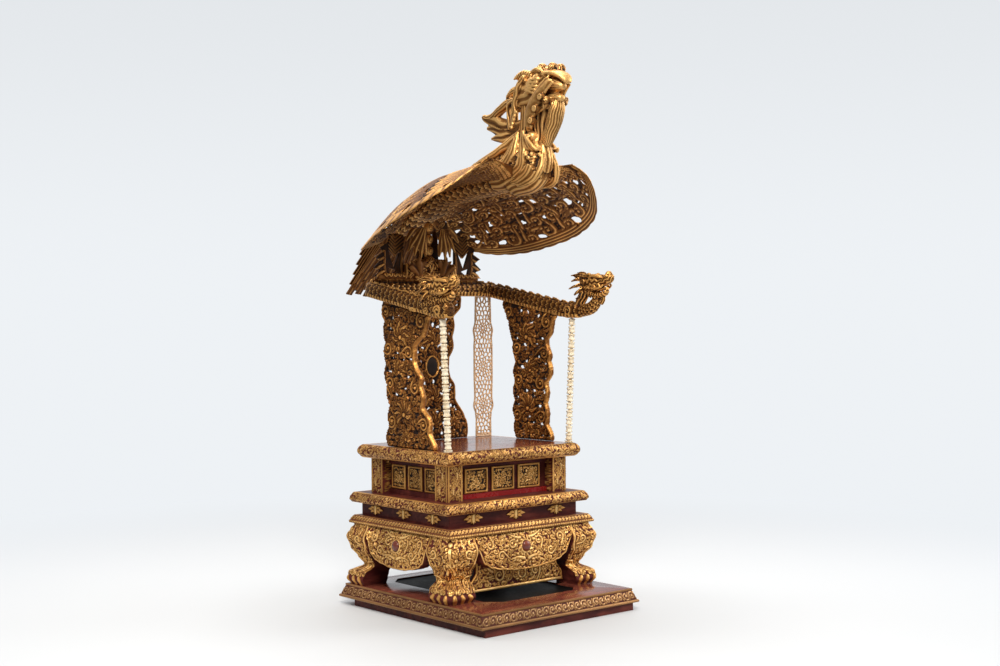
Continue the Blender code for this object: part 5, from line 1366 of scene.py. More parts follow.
splat = {"cell": 0.0011, "wide": 0.040, "spacing": 0.0084, "vein": 0.0011, "rim": 0.0017, "foot": 0.0075,
         "clear": 0.0185}
bulges = [(0.0, 0.98), (0.12, 0.96), (0.16, 1.02), (0.22, 1.28), (0.28, 1.14), (0.45, 1.20), (0.64, 1.20),
          (0.70, 1.14), (0.76, 1.28), (0.82, 1.04), (1.0, 0.98)]
lo, hi = low("right_splat"), high("right_splat")
splatX, splatY = (lo.x + hi.x) / 2, (lo.y + hi.y) / 2
splatBottom, splatTall = lo.z, hi.z - lo.z
medallions = [(splatX, splatBottom + share * splatTall) for share in (0.235, 0.50, 0.775)]
seeds = []
for centre in medallions:
    for count, radius in ((1, 0.0), (9, 0.0070), (12, 0.0140)):
        seeds += [centre + radius * toward(2 * math.pi * (k + 0.5) / count) for k in range(count)]
rng = np.random.default_rng(121)
for row in range(int(splatTall / splat["spacing"]) + 1):
    for column in range(-6, 7):
        x = splatX + splat["spacing"] * (column + 0.5 * (row % 2)) + rng.uniform(-0.0027, 0.0027)
        z = splatBottom + splat["spacing"] * row + rng.uniform(-0.0027, 0.0027)
        if min(math.dist((x, z), centre) for centre in medallions) > splat["clear"]:
            seeds.append((x, z))


def splatInside(x, z):
    t = np.clip((z - splatBottom) / splatTall, 0, 1)
    return np.minimum(0.5 * splat["wide"] * follow(bulges, t) - abs(x - splatX),
                      np.minimum(t, 1 - t) * splatTall)


def splatVein(x, z):
    nearest, second = np.full(np.shape(x), 1.0), np.full(np.shape(x), 1.0)
    for seedX, seedZ in seeds:
        away = np.hypot(x - seedX, z - seedZ)
        second = np.minimum(second, np.maximum(nearest, away))
        nearest = np.minimum(nearest, away)
    return splat["vein"] - 0.5 * (second - nearest)


def splatField(x, z):
    edge = splatInside(x, z)
    solid = np.maximum(splat["rim"] - edge, splat["foot"] - (z - splatBottom))
    return np.minimum(np.maximum(splatVein(x, z), solid), edge)


def splatPlace(x, z, face):
    rise = np.clip(splatVein(x, z) / splat["vein"], 0, 1)
    rise = np.where(splatInside(x, z) < splat["rim"], 1.0, rise)
    return np.column_stack((x, splatY - face * (0.0009 + 0.0015 * rise), z)), rise


piece = piercedPiece("right_splat_fretwork", (lo.x, lo.z, hi.x, hi.z), splat["cell"], splatField, splatPlace,
                     [paleWood])
finishPiece(piece, "pale_wood", "right_splat")


# Turned posts: one bead profile, repeated up each post above a wider foot

beads = {"count": 16, "segments": 14, "foot": 0.004, "footRadius": 0.0085, "lean": 0.046}
beadProfile = [(0.0, 0.42), (0.05, 0.46), (0.09, 0.90), (0.13, 1.0), (0.27, 1.0), (0.32, 0.88), (0.42, 0.82),
               (0.58, 0.82), (0.68, 0.88), (0.73, 1.0), (0.87, 1.0), (0.91, 0.90), (0.95, 0.46), (1.0, 0.42)]
postLow = low("left_bone_post").z
pitch = (postTopZ - postLow - beads["foot"]) / beads["count"]
turns = np.linspace(0, 2 * math.pi, beads["segments"], endpoint=False)
rows = [[(*(r * postRadius * toward(turn)), (z - 0.5) * pitch) for turn in turns] for z, r in beadProfile]
beadShape = makeMesh("bead shape", rows, tubeFaces(len(rows), len(turns)), [boneLook], sharp=math.radians(40))
faceOutwards(beadShape)
for sign, side in ((-1, "left"), (1, "right")):
    places, sizes = [], []
    for k in range(beads["count"]):
        share = (k + 0.5) * pitch / (postTopZ - postLow)
        wobble = 0.985 + 0.015 * math.sin(7.3 * k + sign)
        places.append((sign * (0.150 + 0.011 * share), postY, postLow + beads["foot"] + (k + 0.5) * pitch))
        sizes.append((wobble, wobble, 1.0))
    places.append((sign * 0.150, postY, postLow + beads["foot"] / 2))
    sizes.append((beads["footRadius"] / postRadius, beads["footRadius"] / postRadius, beads["foot"] / pitch))
    posts = repeated(side + "BonePost", beadShape, places, (0, sign * beads["lean"], 0), sizes, boneLook)
    finishPiece(posts, "bone", side + "_bone_post")
discard(beadShape)
print("boards and posts done")


# Sculpted pieces: swept forms joined into one skin, then carved by patterns

def smoothRows(rows, count):
    keys = np.asarray(rows, float)
    at = np.linspace(0, len(keys) - 1, count)
    i = np.clip(at.astype(int), 0, len(keys) - 2)
    f = (at - i)[:, None]
    before, here, after, later = (keys[np.clip(i + step, 0, len(keys) - 1)] for step in (-1, 0, 1, 2))
    path = 0.5 * (2 * here + (after - before) * f + (2 * before - 5 * here + 4 * after - later) * f ** 2
                  + (3 * here - before - 3 * after + later) * f ** 3)
    path[:, 3:] = np.maximum(path[:, 3:], keys[:, 3:].min(0) * 0.5)
    return path


# Each row is a place and two half widths, the first of them along "side"
def sweep(rows, pattern=None, side=(1, 0, 0), sides=14, square=1.0, step=0.003, smooth=True):
    rows = np.asarray(rows, float)
    length = np.linalg.norm(np.diff(rows[:, :3], axis=0), axis=1).sum()
    path = smoothRows(rows, max(int(length / step), 6)) if smooth else rows
    centre = path[:, :3]
    along = unit(np.gradient(centre, axis=0))
    across = np.broadcast_to(np.asarray(side, float), centre.shape)
    across = unit(across - along * (across * along).sum(1)[:, None])
    run = np.concatenate(([0], np.cumsum(np.linalg.norm(np.diff(centre, axis=0), axis=1))))
    return {"centre": centre, "along": along, "across": across, "other": np.cross(along, across),
            "half": path[:, 3:5], "pattern": pattern or plainPattern(), "sides": sides, "square": square,
            "run": run}


def ball(place, radius, pattern=None, squash=(1, 1), side=(0, 1, 0), axis=(1, 0, 0)):
    t = 0.96 * np.linspace(-1, 1, 7)
    centre = np.asarray(place) + np.outer(radius * t, axis)
    return sweep(np.column_stack((centre, np.outer(radius * np.sqrt(1 - t ** 2), squash))), pattern, side, 12,
                 smooth=False)


def sweepMesh(form):
    angle = np.linspace(0, 2 * math.pi, form["sides"], endpoint=False)
    c, s = (np.sign(wave) * abs(wave) ** form["square"] for wave in (np.cos(angle), np.sin(angle)))
    a, b = form["half"][:, :1, None], form["half"][:, 1:2, None]
    rings = (form["centre"][:, None, :] + form["across"][:, None, :] * (a[..., 0] * c)[..., None]
             + form["other"][:, None, :] * (b[..., 0] * s)[..., None])
    ends = []
    for index, sign in ((0, -1), (-1, 1)):
        tip = form["centre"][index] + form["along"][index] * sign * 0.5 * form["half"][index].min()
        ends.append(tip + 0.6 * (rings[index] - form["centre"][index]))
    rings = np.concatenate((ends[0][None], rings, ends[1][None]))
    return rings.reshape(-1, 3), tubeFaces(len(rings), form["sides"])


# A pattern gives the height for a distance along the form, an angle round it and a reach from its middle

def scalesPattern(pitch, around, ribs=0.0, lean=1, rounding=2.4):
    def height(run, angle, reach):
        row = lean * run / pitch
        k = np.floor(row)
        column = angle / (2 * math.pi) * around + 0.5 * (k % 2)
        g = column - np.floor(column) - 0.5
        t = np.clip((row - k) / np.maximum(1.0 - rounding * g ** 2, 0.05), 0, 1.4)
        level = np.where(t < 1, 0.38 + 0.62 * t ** 0.8, 0.22 + 0.25 * (t - 1))
        level = np.where((t > 0.93) & (t < 1.06), 0.16, level)
        return level - ribs * (0.5 + 0.5 * np.cos(g * 24)) * (t < 1)
    return height


def strandsPattern(around, wave=0.0, waveLength=0.03, sharpness=1.0, trough=0.30):
    def height(run, angle, reach):
        phase = around * angle + wave * np.sin(2 * math.pi * run / waveLength)
        phase = phase + 0.8 * np.sin(3 * angle + run * 60)
        return trough + (1 - trough) * (0.5 + 0.5 * np.cos(phase)) ** sharpness
    return height


def ringsPattern(pitch, depth=1.0):
    return lambda run, angle, reach: 1 - depth * (0.5 - 0.5 * np.cos(2 * math.pi * run / pitch)) ** 2


def swirlPattern(turns=2.0):
    return lambda run, angle, reach: 0.62 + 0.38 * np.cos(2 * math.pi * turns * reach - angle)


def plainPattern(level=0.75):
    return lambda run, angle, reach: np.full(len(run), level)


def neighbourMean(points, edges, degree):
    total = [sum(np.bincount(edges[:, end], points[edges[:, 1 - end], i], len(points)) for end in (0, 1))
             for i in range(3)]
    return np.stack(total, 1) / degree


# The height that the nearest form's pattern gives at each point
def carvedLevel(points, forms):
    nearest = np.full(len(points), 1e9)
    level = np.full(len(points), 0.7)
    for form in forms:
        margin = form["half"].max() + 0.004
        inBox = (points > form["centre"].min(0) - margin) & (points < form["centre"].max(0) + margin)
        near = np.nonzero(inBox.all(1))[0]
        if not len(near):
            continue
        here = points[near]
        index = ((here[:, None, :] - form["centre"][None]) ** 2).sum(2).argmin(1)
        away = here - form["centre"][index]
        a = (away * form["across"][index]).sum(1) / form["half"][index, 0]
        b = (away * form["other"][index]).sum(1) / form["half"][index, 1]
        c = (away * form["along"][index]).sum(1)
        reach = np.hypot(a, b)
        isEnd = (index == 0) | (index == len(form["centre"]) - 1)
        distance = np.maximum(reach, np.where(isEnd, abs(c) / form["half"][index].min(1), 0))
        closer = distance < nearest[near]
        nearest[near[closer]] = distance[closer]
        carved = form["pattern"](form["run"][index][closer] + c[closer], np.arctan2(b, a)[closer],
                                 reach[closer])
        level[near[closer]] = carved
    return level


# Forms under one voxel skin, softened, carved to a depth and kept inside a limit.
# Hollows of the carved skin get a lower relief value, by the contrast: painted shade in the hollows.
def fused(name, forms, voxel, material, depth, limit, contrast=0.42):
    points, faces, start = [], [], 0
    for form in forms:
        vertices, groups = sweepMesh(form)
        points.append(vertices)
        faces += [group + start for group in groups]
        start += len(vertices)
    shell = faceOutwards(makeMesh(name + " shell", np.concatenate(points), faces, [material]))
    modifier = shell.modifiers.new("Skin", "REMESH")
    modifier.mode = "VOXEL"
    modifier.voxel_size = voxel
    bpy.context.view_layer.update()
    skin = bpy.data.meshes.new_from_object(shell.evaluated_get(bpy.context.evaluated_depsgraph_get()))
    discard(shell)
    made = bpy.data.objects.new(name, skin)
    bpy.context.scene.collection.objects.link(made)
    count = len(skin.vertices)
    co, normal = np.zeros(count * 3), np.zeros(count * 3)
    edges = np.zeros(len(skin.edges) * 2, np.int64)
    skin.vertices.foreach_get("co", co)
    skin.edges.foreach_get("vertices", edges)
    co, edges = co.reshape(-1, 3), edges.reshape(-1, 2)
    degree = np.maximum(np.bincount(edges.ravel(), minlength=count)[:, None], 1)
    for _ in range(2):
        co = co + 0.55 * (neighbourMean(co, edges, degree) - co)
    skin.vertices.foreach_set("co", co.ravel())
    skin.update()
    skin.vertices.foreach_get("normal", normal)
    normal = normal.reshape(-1, 3)
    level = carvedLevel(co, forms)
    co = limit(co + normal * (depth * (level - 0.8))[:, None])
    blurred = co
    for _ in range(7):
        blurred = 0.4 * blurred + 0.6 * neighbourMean(blurred, edges, degree)
    hollow = ((blurred - co) * normal).sum(1) / 0.0011
    level = np.clip(level - contrast * np.clip(hollow, -1.0, 1.6), 0.0, 1.15)
    skin.vertices.foreach_set("co", co.ravel())
    skin.update()
    if not skin.materials:
        skin.materials.append(material)
    skin.attributes.new("relief", "FLOAT", "POINT").data.foreach_set("value", level)
    skin.polygons.foreach_set("use_smooth", np.full(len(skin.polygons), True))
    skin.name = name
    return made


def insideBox(points, name):
    return np.clip(points, np.array(low(name)) + 1e-5, np.array(high(name)) - 1e-5)


# Dragon arms

arm = {"wide": 0.022, "high": 0.025, "swell": 0.14, "corner": 0.030, "toothPitch": 0.023, "tooth": 0.0072,
       "voxel": 0.0015, "carve": 0.0022, "reach": 0.0205, "seat": 0.0070, "postTopX": 0.161}
crestBase = low("back_crest").z
armBase = postTopZ + gap


# Rows drawn in tenths, or at another size, set at a place. Rows of four lie in the plane of the place's x.
def shifted(rows, place, size=0.1, mirror=1):
    rows = np.asarray(rows, float)
    if rows.shape[1] == 4:
        rows = np.column_stack((np.zeros(len(rows)), rows))
    return rows * size * (mirror, 1, 1, 1, 1) + (*place, 0, 0)


def dragonHead(place, lift):
    place = np.asarray(place, float)
    hair, plain, curls = strandsPattern(5, 0.8, 0.02), plainPattern(0.8), swirlPattern(1.5)
    forms = []

    def add(rows, pattern, offset=(0, 0, 0), **options):
        forms.append(sweep(shifted(rows, place + offset), pattern, **options))

    def addBall(offset, radius, pattern, squash=(1, 1)):
        forms.append(ball(place + offset, radius, pattern, squash))

    add([(0.16, -0.02, 0.10, 0.10), (0.02, 0.02, 0.150, 0.165), (-0.14, 0.06, 0.155, 0.160),
         (-0.27, 0.05, 0.125, 0.100),
         (-0.38, 0.07, 0.115, 0.085), (-0.47, 0.12, 0.105, 0.095), (-0.53, 0.15, 0.08, 0.075)],
        strandsPattern(9, 1.2, 0.012, 1.0, 0.45))  # skull and snout
    add([(0.04, -0.12, 0.10, 0.07), (-0.20, -0.19, 0.10, 0.055), (-0.37, -0.16, 0.08, 0.042),
         (-0.43, -0.09, 0.05, 0.030)],
        ringsPattern(0.006, 0.6))  # lower jaw
    addBall((0, -0.047, 0.0185), 0.0080, plain, (0.8, 1.0))  # nose
    add([(-0.10, -0.11, 0.05, 0.03), (-0.28, -0.09, 0.05, 0.02), (-0.44, -0.05, 0.035, 0.018)],
        plain)  # tongue
    for side in (-1, 1):
        for y, z, radius in ((-0.004, -0.005, 0.0052), (-0.019, -0.004, 0.0044), (0.009, 0.007, 0.0054),
                             (-0.031, -0.001, 0.0038), (-0.006, 0.019, 0.0046)):
            addBall((side * 0.0125, y, z), radius, curls)
        addBall((side * 0.0095, -0.020, 0.0125), 0.0044, plain)  # eye
        addBall((side * 0.0075, -0.046, 0.0150), 0.0042, curls)  # nostril
        for rows, pattern in (
                ([(0.075, -0.32, 0.15, 0.035, 0.03), (0.11, -0.20, 0.17, 0.04, 0.035),
                  (0.12, -0.06, 0.17, 0.04, 0.035), (0.10, 0.06, 0.20, 0.03, 0.025)], plain),  # brow
                ([(0.09, 0.02, 0.13, 0.035, 0.045), (0.12, 0.16, 0.15, 0.03, 0.05),
                  (0.13, 0.28, 0.17, 0.025, 0.035), (0.12, 0.33, 0.20, 0.02, 0.02)], hair),  # ear
                ([(0.12, -0.08, -0.04, 0.025, 0.03), (0.15, -0.22, -0.07, 0.02, 0.03),
                  (0.13, -0.36, -0.05, 0.02, 0.025), (0.11, -0.43, 0.0, 0.02, 0.02)], plain)):  # lip
            forms.append(sweep(shifted(rows, place, mirror=side), pattern))
    for k in range(11):  # mane
        c, s = toward(2 * math.pi * (k + 0.4) / 11)
        tipY = 0.25 + 0.07 * (k % 2)
        add([(0.07 * c, 0.04, 0.08 * s, 0.040, 0.040), (0.16 * c, 0.09, 0.18 * s, 0.040, 0.040),
             (0.21 * c - 0.03 * s, 0.14, 0.235 * s + 0.03 * c, 0.034, 0.034),
             (0.20 * c - 0.08 * s, tipY, 0.235 * s + 0.08 * c, 0.016, 0.016)],
            strandsPattern(3), (0, 0.008, 0), side=(0, 1, 0), sides=8)
    for k in range(7):  # beard
        c, s = toward(math.pi * (1.05 + 0.15 * k))
        add([(0.09 * c, -0.02, 0.10 * s, 0.03, 0.03), (0.13 * c, 0.02, 0.17 * s, 0.03, 0.03),
             (0.12 * c, -0.02, 0.17 * s - 0.07, 0.018, 0.018)], strandsPattern(3), (0, 0.004, 0),
            side=(0, 1, 0), sides=8)
    if lift:
        add([(-0.10, -0.22, 0.06, 0.05), (-0.16, -0.30, 0.05, 0.045), (-0.13, -0.40, 0.04, 0.035)], hair)
        add([(-0.30, -0.20, 0.05, 0.03), (-0.33, -0.28, 0.045, 0.035), (-0.28, -0.36, 0.04, 0.03)], hair)
    return forms


def carvedArm(side, sign):
    name = side + "_dragon_arm"
    corner = arm["corner"]
    keys = [(0.0, armBackY), (0.33 * armX, armBackY), (armX - 1.4 * corner, armBackY),
            (armX - 0.3 * corner, armBackY - 0.3 * corner), (armX, armBackY - 1.4 * corner),
            (armX + 0.001, 0.0)]
    bend = smoothRows([(x, y, 0, 1, 1) for x, y in keys], 60)[:, :2]
    straight = np.column_stack((armX + (arm["postTopX"] - armX) * np.linspace(0.1, 1, 24),
                                np.linspace(-0.006, postY - arm["reach"] + 0.002, 24)))
    plan = np.concatenate((bend, straight))
    length = np.concatenate(([0], np.cumsum(np.hypot(*np.diff(plan, axis=0).T))))
    at = np.linspace(0, length[-1], 150)
    x, y = (np.interp(at, length, plan[:, i]) for i in range(2))
    swell = 1 + arm["swell"] * at / at[-1]
    half, tall = arm["wide"] / 2 * swell, arm["high"] * swell
    under = armUnder(y)
    tangent = unit(np.column_stack((np.gradient(x), np.gradient(y))))
    across = np.column_stack((-tangent[:, 1] * sign, tangent[:, 0], np.zeros(150)))

    def band(middle, halfWide, halfTall, pattern, sides, square, first=0):
        rows = np.column_stack((sign * x, y, middle, halfWide, halfTall))
        forms.append(sweep(rows[first:], pattern, across[first:], sides, square, smooth=False))

    forms = []
    band(under + tall / 2, half, tall / 2, scalesPattern(0.0130, 9, 0.30, -1, 1.8), 24, 0.75)
    phase = (at[-1] - at) / arm["toothPitch"]
    saw = 0.5 * arm["tooth"] * (phase - np.floor(phase)) * np.where(at > 0.14, 1, 0.15)
    band(under + tall * 0.75 + saw, 0.0024 + 0 * x, 0.25 * tall + saw, ringsPattern(0.0035, 0.5), 8, 1.0)
    band(under + 0.17 * tall, half * 0.98, 0.17 * tall, ringsPattern(0.009, 0.55), 16, 0.7, 12)
    topX = sign * arm["postTopX"]
    u = np.linspace(0, 1, 26)
    for face in (-1, 1):  # curls along both sides of the arm
        for curlY, curlZ, size in ((-0.120, 0.0135, 0.0100), (-0.086, 0.0130, 0.0070),
                                   (-0.045, 0.0130, 0.0078), (0.030, 0.0130, 0.0074)):
            turn = 2 * math.pi * 1.4 * u
            r = size * (1 - 0.75 * u)
            curlX = topX + (0.0118 * face if curlY < -0.1 else 0.0108 * face - sign * 0.0012)
            rows = np.column_stack((0 * u + curlX, curlY + r * np.cos(turn),
                                    armBase + curlZ + r * np.sin(turn), 0 * u + 0.0018, 0 * u + 0.0017))
            forms.append(sweep(rows, plainPattern(1.0), sides=8, smooth=False))
    post = (topX, postY, armBase)
    if side == "right":
        neck = [(-0.065, 0.14, 0.12, 0.13), (-0.305, 0.14, 0.12, 0.12), (-0.545, 0.20, 0.12, 0.12),
                (-0.675, 0.34, 0.10, 0.10), (-0.645, 0.48, 0.085, 0.085), (-0.60, 0.54, 0.07, 0.07)]
        nape = [(-0.20, 0.26, 0.08, 0.10), (-0.30, 0.40, 0.085, 0.11), (-0.38, 0.52, 0.10, 0.12)]
        forms.append(sweep(shifted(neck, post), scalesPattern(0.0070, 11, 0.1, -1), sides=20))
        forms.append(sweep(shifted(nape, post), strandsPattern(8, 1.0), sides=16))
        forms += dragonHead((topX, postY - 0.0525, armBase + 0.062), True)
    else:
        neck = [(0.495, 0.29, 0.12, 0.12), (0.275, 0.29, 0.12, 0.12), (0.075, 0.35, 0.12, 0.12),
                (0.035, 0.47, 0.11, 0.11), (0.175, 0.53, 0.11, 0.10)]
        forms.append(sweep(shifted(neck, post), scalesPattern(0.0070, 11, 0.1, -1), sides=20))
        forms += dragonHead((topX, postY + 0.0135, armBase + 0.052), False)

    # Flat underneath for the boards and posts, and flat on top for the crest
    def limit(co):
        co = insideBox(co, name)
        co[:, 2] = np.maximum(co[:, 2], np.where(co[:, 1] > postY - 0.024, armUnder(co[:, 1]), armBase))
        back = (co[:, 1] > 0.095) & (abs(co[:, 0]) < 0.14)
        co[:, 2] = np.where(back, np.minimum(co[:, 2], crestBase - gap), co[:, 2])
        flat = back & (co[:, 2] > crestBase - arm["seat"]) & (abs(co[:, 1] - armBackY) < 0.006)
        co[:, 2] = np.where(flat, crestBase - gap, co[:, 2])
        near = np.minimum(abs(abs(co[:, 0]) - armX), abs(co[:, 1] - armBackY)) < 0.0095
        foot = near & (co[:, 1] > postY + 0.02) & (co[:, 2] < armUnder(co[:, 1]) + 0.0045)
        co[:, 2] = np.where(foot, armUnder(co[:, 1]) + 1e-5, co[:, 2])
        co[:, 0] = sign * np.maximum(sign * co[:, 0], gap)
        return co

    piece = fused(name + "_carved", forms, arm["voxel"], armGold, arm["carve"], limit, 0.60)
    finishPiece(piece, "antique_gilding", name)


carvedArm("left", -1)
carvedArm("right", 1)
print("dragon arms done")


# Bird: body, neck, raised head and leafy crest. Its rows are in shares of its height.

bird = {"height": 0.200, "voxel": 0.0018, "carve": 0.0026, "joint": 0.034}
canopy = {"rise": 0.180, "length": 0.340, "half": 0.241, "shift": 0.010, "springing": 0.5}
bodyEdges = {"top": [(0.0, -0.42), (0.18, -0.16), (0.40, 0.05), (0.62, 0.18), (0.85, 0.25), (1.0, 0.27)],
             "bottom": [(0.0, -0.52), (0.15, -0.35), (0.36, -0.20), (0.60, -0.16), (0.80, -0.13),
                        (1.0, -0.06)]}
bodyBackY = 0.186
chestY = bodyBackY - 1.12 * canopy["length"]
springing = seatTop + canopy["springing"]
crestHigh = max(vertex.co.z + gap for vertex in nodes["back_crest"].data.vertices if abs(vertex.co.x) < 0.010)


def bodyLine(share, edge):
    return springing + canopy["rise"] * follow(bodyEdges[edge], share)


def birdForms():
    hair = strandsPattern(20, 1.4, 0.06, 1.0, 0.55)
    fine = strandsPattern(10, 0.8, 0.04, 1.0, 0.55)
    lock = strandsPattern(8, 0.6, 0.03, 1.0, 0.62)
    soft = strandsPattern(5, 0.5, 0.04, 1.3, 0.42)
    plain = plainPattern(0.85)
    swirl = swirlPattern(2.2)
    side = 1
    share = np.linspace(0, 1, 60)
    top, bottom = bodyLine(share, "top"), bodyLine(share, "bottom")
    y = bodyBackY + (chestY - bodyBackY) * share
    rows = np.column_stack((0 * y, y, (top + bottom) / 2, 0 * y + bird["joint"], (top - bottom) / 2))
    forms = [sweep(rows, scalesPattern(0.0160, 15, 0.25, -1), sides=28, square=0.62, smooth=False)]

    def add(pattern, sides, *rows):
        forms.append(sweep(shifted(rows, (0, chestY, springing), bird["height"], side), pattern, sides=sides))

    def addBall(x, y, z, radius, pattern=plain):
        size = bird["height"]
        forms.append(ball((side * x * size, chestY + y * size, springing + z * size), radius * size, pattern))

    # Neck and nape
    add(hair, 26, (0.274, 0.000, 0.165, 0.180), (0.084, 0.050, 0.165, 0.200), (0.010, 0.150, 0.150, 0.200),
        (0.052, 0.260, 0.118, 0.165), (0.056, 0.360, 0.098, 0.142), (0.050, 0.480, 0.090, 0.130),
        (0.064, 0.640, 0.080, 0.100))
    add(strandsPattern(12, 0.9, 0.04, 1.0, 0.40), 16, (-0.060, 0.200, 0.070, 0.110),
        (-0.075, 0.330, 0.052, 0.100), (-0.090, 0.480, 0.052, 0.120), (-0.090, 0.640, 0.060, 0.130))

    # Head, then the beak's ridge, upper and lower halves, its beard and tongue
    add(strandsPattern(14, 1.2, 0.05, 1.0, 0.62), 22, (0.174, 0.700, 0.080, 0.115),
        (0.054, 0.730, 0.104, 0.165),
        (-0.066, 0.775, 0.108, 0.150), (-0.166, 0.845, 0.096, 0.090), (-0.226, 0.870, 0.090, 0.050))
    add(plainPattern(0.82), 18, (-0.120, 0.868, 0.100, 0.026), (-0.216, 0.892, 0.112, 0.034),
        (-0.326, 0.878, 0.104, 0.034), (-0.395, 0.838, 0.076, 0.032), (-0.424, 0.795, 0.046, 0.026))
    add(strandsPattern(11, 0.8, 0.05, 1.0, 0.75), 18, (-0.120, 0.810, 0.082, 0.060),
        (-0.230, 0.800, 0.078, 0.064), (-0.320, 0.780, 0.062, 0.052), (-0.370, 0.760, 0.040, 0.030))
    add(strandsPattern(13, 0.6, 0.05, 1.0, 0.75), 18, (0.024, 0.560, 0.075, 0.080),
        (-0.136, 0.620, 0.080, 0.070), (-0.256, 0.672, 0.066, 0.045), (-0.350, 0.664, 0.042, 0.030))
    add(strandsPattern(18, 1.3, 0.034, 1.0, 0.55), 22, (-0.300, 0.655, 0.050, 0.036),
        (-0.290, 0.590, 0.080, 0.054),
        (-0.262, 0.500, 0.084, 0.060), (-0.215, 0.400, 0.074, 0.056), (-0.160, 0.300, 0.056, 0.046),
        (-0.110, 0.215, 0.030, 0.026))
    add(plain, 10, (-0.15, 0.72, 0.03, 0.03), (-0.27, 0.735, 0.035, 0.022), (-0.34, 0.76, 0.03, 0.018))
    plate = [(0.096, -0.320, 0.820, 0.016, 0.016), (0.104, -0.280, 0.795, 0.028, 0.036),
             (0.114, -0.220, 0.740, 0.034, 0.048), (0.126, -0.145, 0.660, 0.034, 0.060),
             (0.130, -0.085, 0.575, 0.032, 0.066), (0.126, -0.050, 0.490, 0.030, 0.064),
             (0.116, -0.045, 0.425, 0.022, 0.040)]
    ruff = [((0.095, 0.080, 0.400), (0.150, 0.020, 0.140), (0.152, 0.110, 0.030), (0.140, 0.270, -0.010)),
            ((0.060, -0.060, 0.330), (0.130, -0.085, 0.110), (0.152, 0.010, -0.010), (0.145, 0.170, -0.060)),
            ((0.030, -0.120, 0.270), (0.095, -0.150, 0.060), (0.140, -0.070, -0.050), (0.140, 0.100, -0.090)),
            ((0.090, 0.150, 0.400), (0.140, 0.165, 0.215), (0.150, 0.260, 0.120), (0.130, 0.420, 0.110)),
            ((0.090, 0.200, 0.340), (0.138, 0.240, 0.165), (0.145, 0.360, 0.080), (0.125, 0.520, 0.070))]
    ruffWidths = ((0.012, 0.018), (0.028, 0.052), (0.024, 0.052), (0.010, 0.016))
    for side in (-1, 1):
        # Brow curls and eye
        addBall(0.050, -0.150, 0.945, 0.050, swirl)
        addBall(0.048, -0.285, 0.938, 0.048, swirl)
        addBall(0.040, -0.212, 0.925, 0.030)
        addBall(0.088, -0.128, 0.880, 0.030)
        add(fine, 10, (0.090, -0.060, 0.915, 0.030, 0.020), (0.100, -0.130, 0.935, 0.030, 0.022),
            (0.095, -0.200, 0.905, 0.025, 0.018), (0.090, -0.215, 0.860, 0.02, 0.015))

        # Cheek plate with ridges, rims and studs
        add(plainPattern(0.74), 16, *plate)
        for t in np.linspace(0, 1, 5):
            add(plainPattern(0.95), 8, (0.088, 0.020 + 0.03 * t, 0.830 - 0.09 * t, 0.014, 0.012),
                (0.112, -0.060 + 0.03 * t, 0.850 - 0.10 * t, 0.016, 0.014),
                (0.108, -0.150 + 0.045 * t, 0.850 - 0.13 * t, 0.015, 0.012))
        for shift in (-0.040, 0.052):
            add(plain, 8, *((x + 0.006, y + 0.75 * shift, z + 0.66 * shift * (0.6 if z < 0.5 else 1), 0.012,
                             0.011)
                            for x, y, z, _, _ in plate))
        for y, z in ((-0.232, 0.672), (-0.160, 0.575), (-0.105, 0.475)):
            addBall(0.132, y, z, 0.040, plainPattern(0.40))
            addBall(0.158, y, z, 0.030, plainPattern(1.0))
        addBall(0.104, -0.262, 0.640, 0.040, swirl)
        for t in np.linspace(0, 1, 4):
            add(plain, 8, (0.095, -0.135 - 0.05 * t, 0.700 + 0.02 * t, 0.016, 0.012),
                (0.105, -0.20 - 0.02 * t, 0.70 - 0.05 * t, 0.016, 0.012),
                (0.10, -0.235 + 0.02 * t, 0.64 - 0.055 * t, 0.016, 0.012))

        # Strap, beads, and loops and studs round the chest
        add(strandsPattern(5, 1.6, 0.03, 1.0, 0.55), 12, (0.086, 0.060, 0.900, 0.020, 0.022),
            (0.096, 0.120, 0.830, 0.022, 0.026), (0.098, 0.165, 0.720, 0.022, 0.026),
            (0.096, 0.185, 0.590, 0.022, 0.028), (0.100, 0.215, 0.450, 0.022, 0.026))
        for k in range(5):
            addBall(0.100 + 0.004 * k, 0.150 + 0.012 * k, 0.585 - 0.035 * k, 0.017)
        addBall(0.072, -0.034, 0.345, 0.048, plainPattern(0.9))
        addBall(0.085, -0.010, 0.420, 0.030, plainPattern(0.9))
        for k in range(0, 5, 2):
            add(plain, 8, (0.105 + 0.008 * k, 0.050 - 0.02 * k, 0.400 - 0.018 * k, 0.016, 0.015),
                (0.118 + 0.006 * k, 0.020 - 0.03 * k, 0.300 - 0.01 * k, 0.018, 0.016),
                (0.126, -0.030 - 0.030 * k, 0.235 - 0.006 * k, 0.016, 0.015),
                (0.110, -0.100 - 0.020 * k, 0.225 + 0.004 * k, 0.014, 0.013))
        for k in range(8):
            a = 0.25 + 0.16 * k
            lift = 0.03 * (k % 2)
            addBall(0.150 * math.sin(a * 1.5), 0.035 - 0.215 * math.cos(a * 1.12) + 0.02, 0.145 + lift, 0.022)
            addBall(0.146 * math.sin(a * 1.5 + 0.1), 0.050 - 0.215 * math.cos(a * 1.12 + 0.1) + 0.02,
                    0.190 - lift, 0.014)

